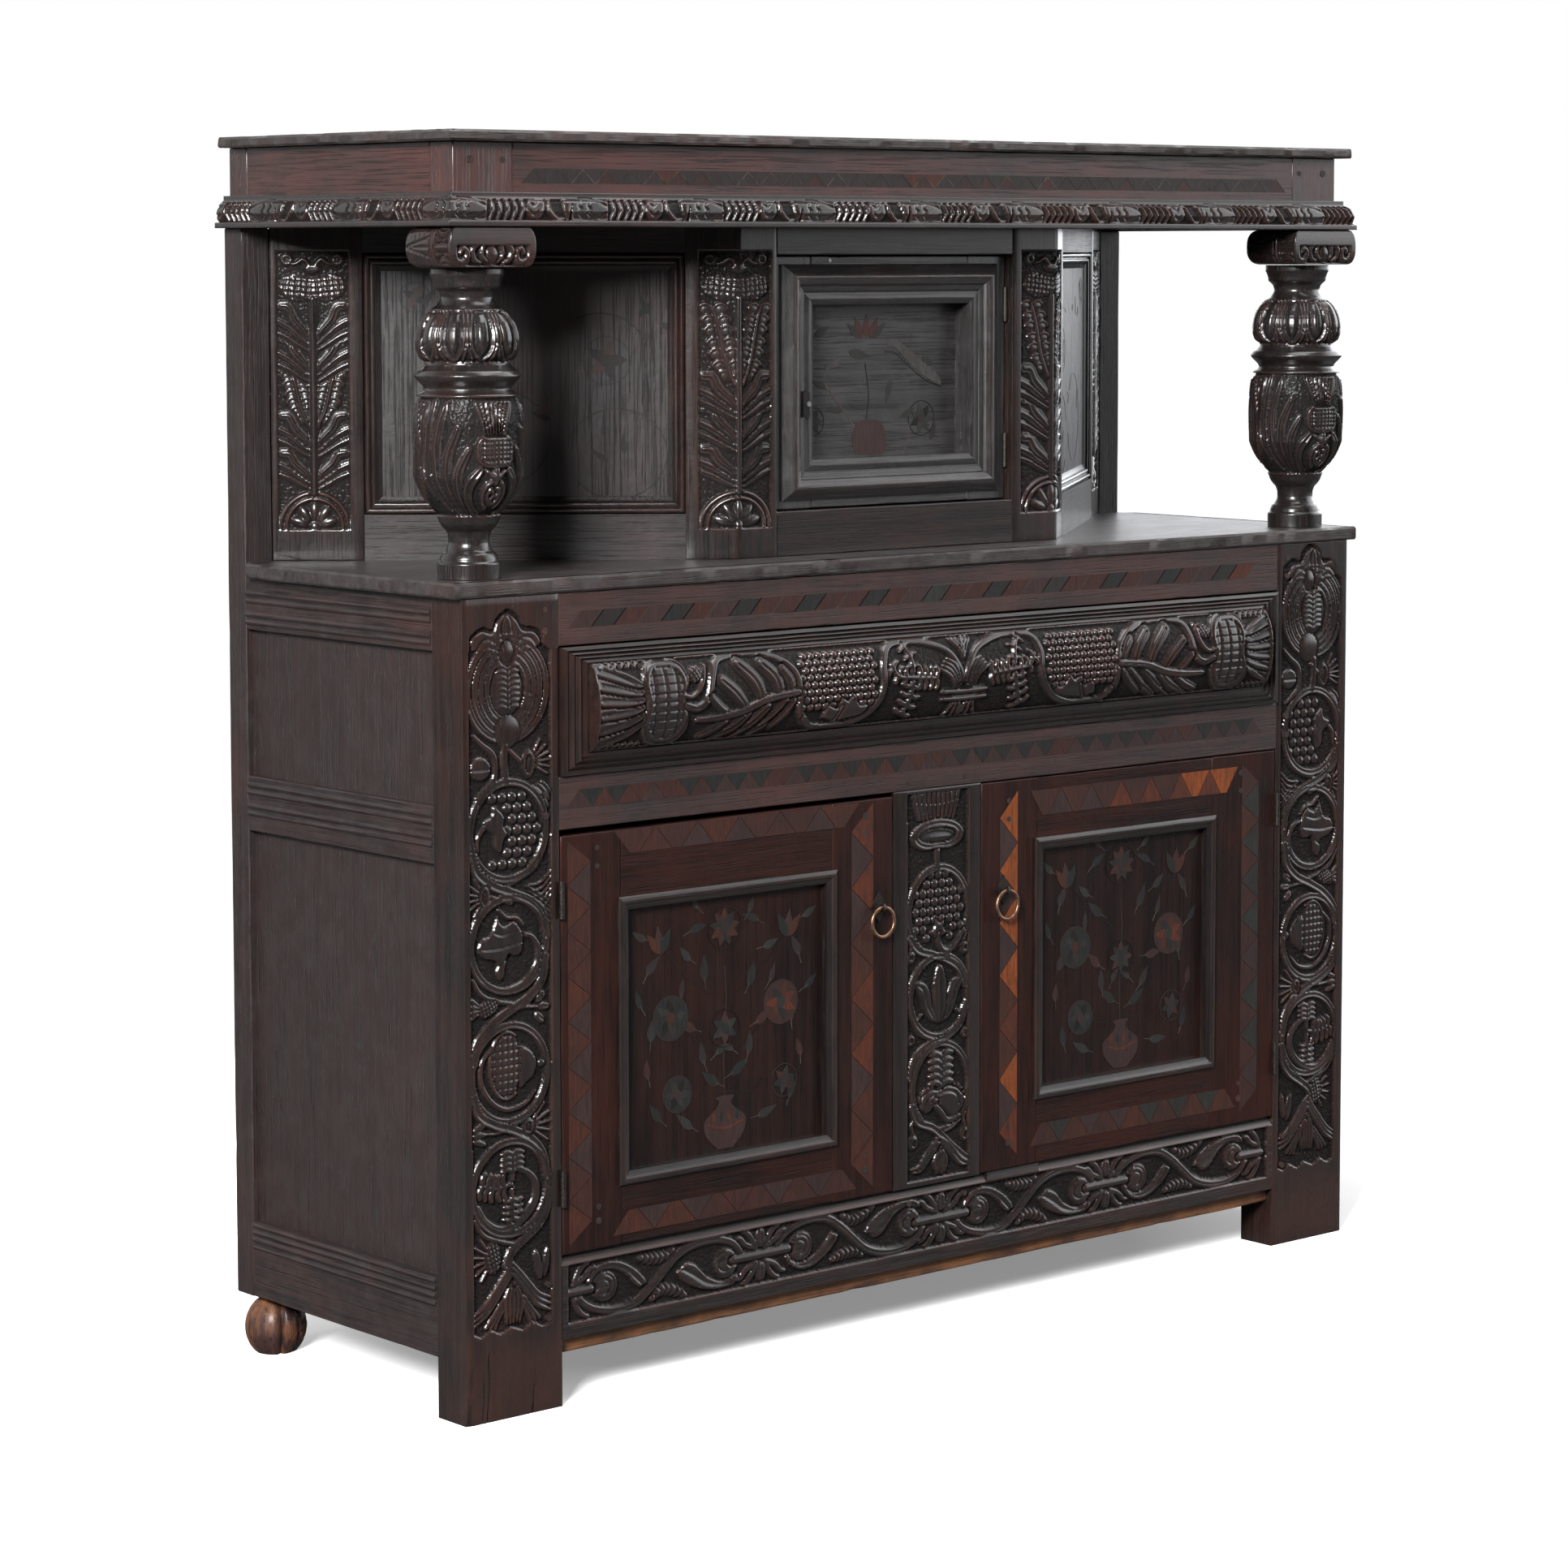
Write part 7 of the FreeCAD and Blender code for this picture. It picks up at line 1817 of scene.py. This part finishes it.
for side, sign, low, stem, stretch in (("left", -1, -62, -2.5, 1.18), ("right", 1, -81, -8, 1.3)):
    face = upper_face(True, low, 65, stem, stretch)
    post = carved_piece(f"{side}_front_post", [(face, folded(sign), 28, 0.0)], CARVED["z"])
    fit(post, f"{side}_canted_post")
stiles = carved_piece("rear_stile_carvings", [
    (upper_face(False, 0, 113, 61, 1.0), canted(sign, 459), 28) for sign in (-1, 1)], CARVED["z"])
fit(stiles, "canted_stiles")
grey = dict(deep=(0.0105, 0.0078, 0.0074), brown=(0.0155, 0.0112, 0.0108), red=(0.036, 0.0155, 0.014),
            redness=0.5, gloss=0.42, haze=0.08, polish=0.35, ridged=0.05)
nodes["canted_rails"].data.materials[0] = oak("canted_rail_oak", "x", turn=-lean, **grey)
canted_ground = oak("canted_panel_oak", "z", turn=-lean, **grey)
bead_shares = ((0, 0.5), (0.08, 0.9), (0.26, 1), (0.4, 0.55), (0.46, 0.75), (0.62, 0.7), (0.72, 0.35),
               (1, 0.08))
canted_bead = profile(bead_shares, 22, 9)
for side, sign in (("left", -1), ("right", 1)):
    nodes[f"{side}_canted_panel"].data.materials[0] = canted_ground
    place = canted(sign)
    at = lambda t, z: place(t, z, -10)
    along, out = (sign * math.cos(lean), math.sin(lean), 0), (sign * math.sin(lean), -math.cos(lean), 0)
    back = tuple(-v for v in along)
    moulded(f"{side}_canted_moulding", [
        (canted_bead, at(65, 56), at(459, 56), (0, 0, 1), out, (1, 1), "x"),
        (canted_bead, at(65, 376), at(459, 376), (0, 0, -1), out, (1, 1), "x"),
        (canted_bead, at(65, 56), at(65, 376), along, out, (1, 1), "z"),
        (canted_bead, at(459, 56), at(459, 376), back, out, (1, 1), "z")], CARVED)
    faint = flower(162, 244, 29, 5, (None, 9, 8, 9, 8, 9), 250, 9)
    faint += flower(396, 322, 18, 4, (None, 9, 8, 7), 30, 9)
    for loop in (oval(150, 130, 62, 55, 20, 320), oval(300, 150, 70, 60, 200, 500),
                 oval(170, 250, 58, 52, 60, 200)):
        faint += string(loop[::3], 0.7, 9)
    for x, z, turn in ((110, 300, 60), (122, 296, 120), (98, 290, 200), (230, 172, 15), (250, 180, 160),
        (140, 130, 80), (160, 120, 30), (330, 290, 100), (345, 160, 70), (370, 300, 200), (385, 312, 120),
        (280, 300, 0)):
        faint.append((petal(x, z, 26, 9, turn, 3), 0.34, 8 if x in (250, 280, 345) else 9))
    inlay_on(f"{side}_canted_flowers", "root", faint, lambda x, z, h, place=place: place(x, z, h - 10),
             "plain_oak")
rails = boards("upper_rail_boards", [
    ((-211, ARRIS_Y, 984), (192, -116, 1040), "x"),
    ((-211, ARRIS_Y, 1357), (192, -116, 1487), "x")], CARVED, 1.4)
fit(rails, "upper_front_rails")

# Upper door: an oak frame with a deep mitred moulding round a thin panel, inlaid with a bird over
# a vase. It is waxed until it mirrors the room, and has a keyhole, a screw and a nail.

SILVERED = each_way("silvered_oak_", (0.009, 0.0078, 0.0078), (0.028, 0.0245, 0.0245), (0.046, 0.022, 0.019),
                    redness=0.3, gloss=0.3, haze=0.25, polish=1.0)
upper_shares = ((0, 0.22), (0.1, 0.5), (0.26, 0.94), (0.36, 1), (0.5, 0.72), (0.54, 0.5), (0.66, 0.42),
                (0.7, 0.3), (0.86, 0.42), (1, 0.22))
door = boards("upper_door_boards", [
    ((-209.5, -132, 1041.5), (-143.5, -100, 1355.5), "z"),
    ((124.5, -132, 1041.5), (190.5, -100, 1355.5), "z"),
    ((-143.5, -132, 1041.5), (124.5, -100, 1101.5), "x"),
    ((-143.5, -132, 1295.5), (124.5, -100, 1355.5), "x")], SILVERED, 1.2)
fit(door, "upper_door_frame", body="upper_door")
section = profile(upper_shares, 50.4, 13, 20)
rim = moulded("upper_door_rim", around(section, -193.5, 174.5, 1051.5, 1345.5, -132), SILVERED, "upper_door")
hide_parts("upper_door_moulding")
nodes["upper_door_panel"].data.materials[0] = oak(
    "upper_panel_oak", "x", (0.011, 0.0098, 0.0098), (0.033, 0.03, 0.03), (0.04, 0.021, 0.018), redness=0.2,
    gloss=0.36, haze=0.3, polish=0.4)
# The keyhole is a thin black plate set on the moulding: painted shade standing in for the hole.
slit = np.vstack([oval(0, 0, 5, 5, 0, 180), oval(0, -24, 5, 5, 180, 360)])
keyhole = shaped("keyhole", [(slit, lambda x, z, h: (x - 158, -141 - h, z + 1184), 2.0, 0)], [INLAYS[9]])
fit(keyhole, body="upper_door")
heads = [
    (oval(x, z, r, r)[:-1], lambda x, z, h, y=y: (x, y - h, z), 2.0, 0)
    for x, z, r, y in ((-155, 1172, 3.2, -142.5), (-112, 1350, 2.2, -133))]
fit(shaped("screw_and_nail", heads, [metal("bright_steel", (0.6, 0.6, 0.6), (0.2, 0.18, 0.16), 0.3)]),
    body="upper_door", slot="dark_iron")
bird = string([(120, 165), (140, 142), (160, 122), (182, 88)], 1.2)
bird += string([(250, 70), (262, 90), (264, 112)], 0.7) + string([(270, 232), (262, 208), (250, 190)], 0.7)
bird += string([(190, 118), (194, 150), (188, 190)], 0.7, 9)
vase = curve_through([(172, 74), (166, 96), (178, 116), (212, 116), (224, 96), (218, 74), (172, 74)], 4)
bird.append((vase[:-1], 0.4, 2))
for x, turn, wood in ((190, 90, 5), (196, 62, 5), (184, 118, 5), (199, 38, 7), (181, 142, 7)):
    bird.append((petal(x, 222, 30, 12, turn), 0.42, wood))
outline = curve_through([
    (222, 204), (232, 212), (244, 206), (262, 190), (290, 172), (318, 160), (314, 172), (286, 192),
    (262, 208), (244, 218), (230, 220), (222, 204)], 4)
bird.append((outline[:-1], 0.4, 11))
bird += string([(222, 204), (240, 202), (262, 186), (290, 168), (318, 158)], 0.8, 9)
for x, z, long, wide, turn, wood in (
    (160, 205, 38, 14, -15, 3), (95, 232, 34, 14, 70, 11), (104, 226, 26, 12, 20, 3),
    (150, 196, 34, 10, 200, 11), (86, 190, 26, 10, 230, 3), (120, 160, 24, 9, 150, 3),
    (150, 130, 26, 10, 170, 3), (232, 168, 30, 10, 250, 3), (286, 196, 24, 10, 330, 3),
    (250, 120, 26, 10, 20, 3), (92, 150, 20, 9, 100, 8), (300, 90, 24, 10, 60, 3),
):
    bird.append((petal(x, z, long, wide, turn, 3), 0.4, wood))
bird += flower(285, 118, 22, 7, (None, 3, 9, 3, 7), 0, 9)
bird += flower(100, 118, 18, 6, (None, 3, 9, 7), 0, 9)
inlay_on("upper_door_bird", "upper_door", bird, lambda x, z, h: (x - 220, -109 - h, z + 1030))

# Pegs: riven oak pins, eight-sided under the knife, driven through the joints and pared off a
# hair proud of the boards.

peg_tree, g, ask = tree_with("pegs", Geometry="Geometry", Peg="Object", Seed="Int", Wood="Material")
pin = g.node("ObjectInfo", {}, {0: ask["Peg"]}, out=4)
rolled = g.node("FunctionNodeRandomValue", {"data_type": "FLOAT_VECTOR"},
                {0: (0, 0, 0), 1: (0, 6.28, 0), "Seed": ask["Seed"]})
swell = g.node("FunctionNodeRandomValue", {"data_type": "FLOAT"}, {2: 0.85, 3: 1.2, "Seed": ask["Seed"]},
               out=1)
set_out = g.node("InstanceOnPoints", {}, {
    "Points": ask["Geometry"], "Instance": pin, "Rotation": rolled, "Scale": swell})
loose = g.node("RealizeInstances", {}, {"Geometry": set_out})
finished = g.node("SetMaterial", {}, {"Geometry": loose, "Material": ask["Wood"]})
g.node("NodeGroupOutput", {}, {0: finished})

end_grain = oak("peg_end", "y", redness=0.5, gloss=0.45, polish=0.1)
riven = [(4.1 * math.cos(a) * (1 + 0.1 * math.sin(3 * a)), 4.1 * math.sin(a))
         for a in np.linspace(0, 2 * math.pi, 9)[:-1]]
pin = shaped("pin", [(riven, lambda x, z, h: (x, -0.5 - h, z), 7.0, 0)], [end_grain])


def pegs(name, seed, face, places):
    """Pegs at places on a face, a hair proud of it."""
    given = {"Peg": pin, "Seed": seed, "Wood": end_grain}
    return baked(name, peg_tree, given, [(x, face - 0.3, z) for x, z in places])


corners = [(sign * 635, z) for sign in (-1, 1) for z in (922, 947, 706, 731, 110, 150)]
corners += [(x, z) for x in (-60, 36) for z in (698, 160)]
fit(pegs("case_pegs", 4, FRONT, corners), "frame_pegs")
for body, across, up in (("left_door", (-560, -136), (215, 232, 640, 662)),
                         ("right_door", (112, 545), (215, 236, 636, 660))):
    fit(pegs(body + "_pegs", 7, FRONT, [(x, z) for x in across for z in up]), body=body)
canopy_corners = [(sign * x, z) for sign in (-1, 1) for x in (675, 722) for z in (1412, 1466)]
fit(pegs("canopy_pegs", 9, CANOPY_FRONT, canopy_corners))
bpy.data.objects.remove(pin)

# Studio: a white floor that runs out to a white background, a broad lamp high on the left
# and a dim white room, with the camera where the photograph was taken from.

bpy.ops.mesh.primitive_plane_add(size=60, location=(0, 0, 0))
floor = bpy.context.object
floor.name = "floor"
paper = Finish("paper")
x, y = (paper.node("SeparateXYZ", {}, {0: paper.place}, out=axis) for axis in (0, 1))
away = ((x * x + y * y) ** 0.5).spread(1.15, 2.6)
diffuse = paper.node("BsdfDiffuse", {}, {"Color": (0.88, 0.88, 0.88), "Roughness": 0.5})
# The floor's glow to the camera is weaker near the case, which paints a soft shadow round it on top of the
# lamps' real shadow.
painted_shadow_falloff = ((x * x * 1.1 + y * y * 5.5) ** 0.5).spread(0.55, 1.5)
glow_and_painted_shadow = paper.node("Emission", {}, {"Color": (1.0, 1.0, 1.0), "Strength": painted_shadow_falloff * 0.62 + 0.26})
near = paper.node("AddShader", {}, {0: diffuse, 1: glow_and_painted_shadow})
far = paper.node("Emission", {}, {"Color": (1.0, 1.0, 1.0), "Strength": 1.02})
camera_ray = paper.node("LightPath", out=0)
plain = paper.node("BsdfDiffuse", {}, {"Color": (0.16, 0.16, 0.16), "Roughness": 0.5})
shown = paper.node("MixShader", {}, {0: away, 1: near, 2: far})
whole = paper.node("MixShader", {}, {0: camera_ray, 1: plain, 2: shown})
paper.node("OutputMaterial", {}, {"Surface": whole})
floor.data.materials.append(paper.material)

world = bpy.data.worlds.new("room")
bpy.context.scene.world = world
world.use_nodes = True
world.node_tree.nodes.clear()
room = Works(world.node_tree, "ShaderNode")
seen = room.node("LightPath", out=0)
glossy = room.node("LightPath", out=3)
way = room.node("TexCoord", out=0)
rightwards, behind, above = (
    room.node("SeparateXYZ", {}, {0: way}, out=axis).spread(*limits)
    for axis, limits in enumerate(((0.5, 0.8), (0.2, 0.75), (-0.05, 0.04))))
white = room.node("Background", {}, {"Color": (1.0, 1.0, 1.0), "Strength": 1.0})
sheen = behind * 0.75 + above * rightwards * 3.0 + 0.01
mirrored = room.node("Background", {}, {"Color": (0.95, 0.97, 1.0), "Strength": sheen})
dim = room.node("Background", {}, {"Color": (1.0, 0.98, 0.96), "Strength": 0.11})
unseen = room.node("MixShader", {}, {0: glossy, 1: dim, 2: mirrored})
room.node("OutputWorld", {}, {"Surface": room.node("MixShader", {}, {0: seen, 1: unseen, 2: white})})


def lamp(name, place, aim, wide, tall, power, colour=(1, 1, 1)):
    data = bpy.data.lights.new(name, "AREA")
    data.shape = "RECTANGLE"
    data.size, data.size_y, data.energy, data.color = wide, tall, power, colour
    made = bpy.data.objects.new(name, data)
    made.location = place
    made.rotation_euler = (Vector(aim) - Vector(place)).to_track_quat("-Z", "Y").to_euler()
    bpy.context.scene.collection.objects.link(made)


lamp("window", (-5.6, -3.5, 3.6), (0, 0, 0.9), 1.9, 1.9, 900)
lamp("overhead", (0.3, -0.6, 4.2), (0, 0, 0), 2.6, 2.6, 110)

scene = bpy.context.scene
scene.view_settings.view_transform = "Standard"
camera = bpy.data.objects.new("camera", bpy.data.cameras.new("camera"))
scene.collection.objects.link(camera)
scene.camera = camera
yaw, pitch, roll = 0.71228, 0.08842, -0.00107
look = Vector((math.sin(yaw) * math.cos(pitch), math.cos(yaw) * math.cos(pitch), -math.sin(pitch)))
camera.location = (-3.60759, -4.09224, 1.35822)
camera.rotation_euler = (look.to_track_quat("-Z", "Y").to_matrix() @ Matrix.Rotation(roll, 3, "Z")).to_euler()
camera.data.lens = 96.696
camera.data.sensor_width = 36
camera.data.shift_y = -0.1
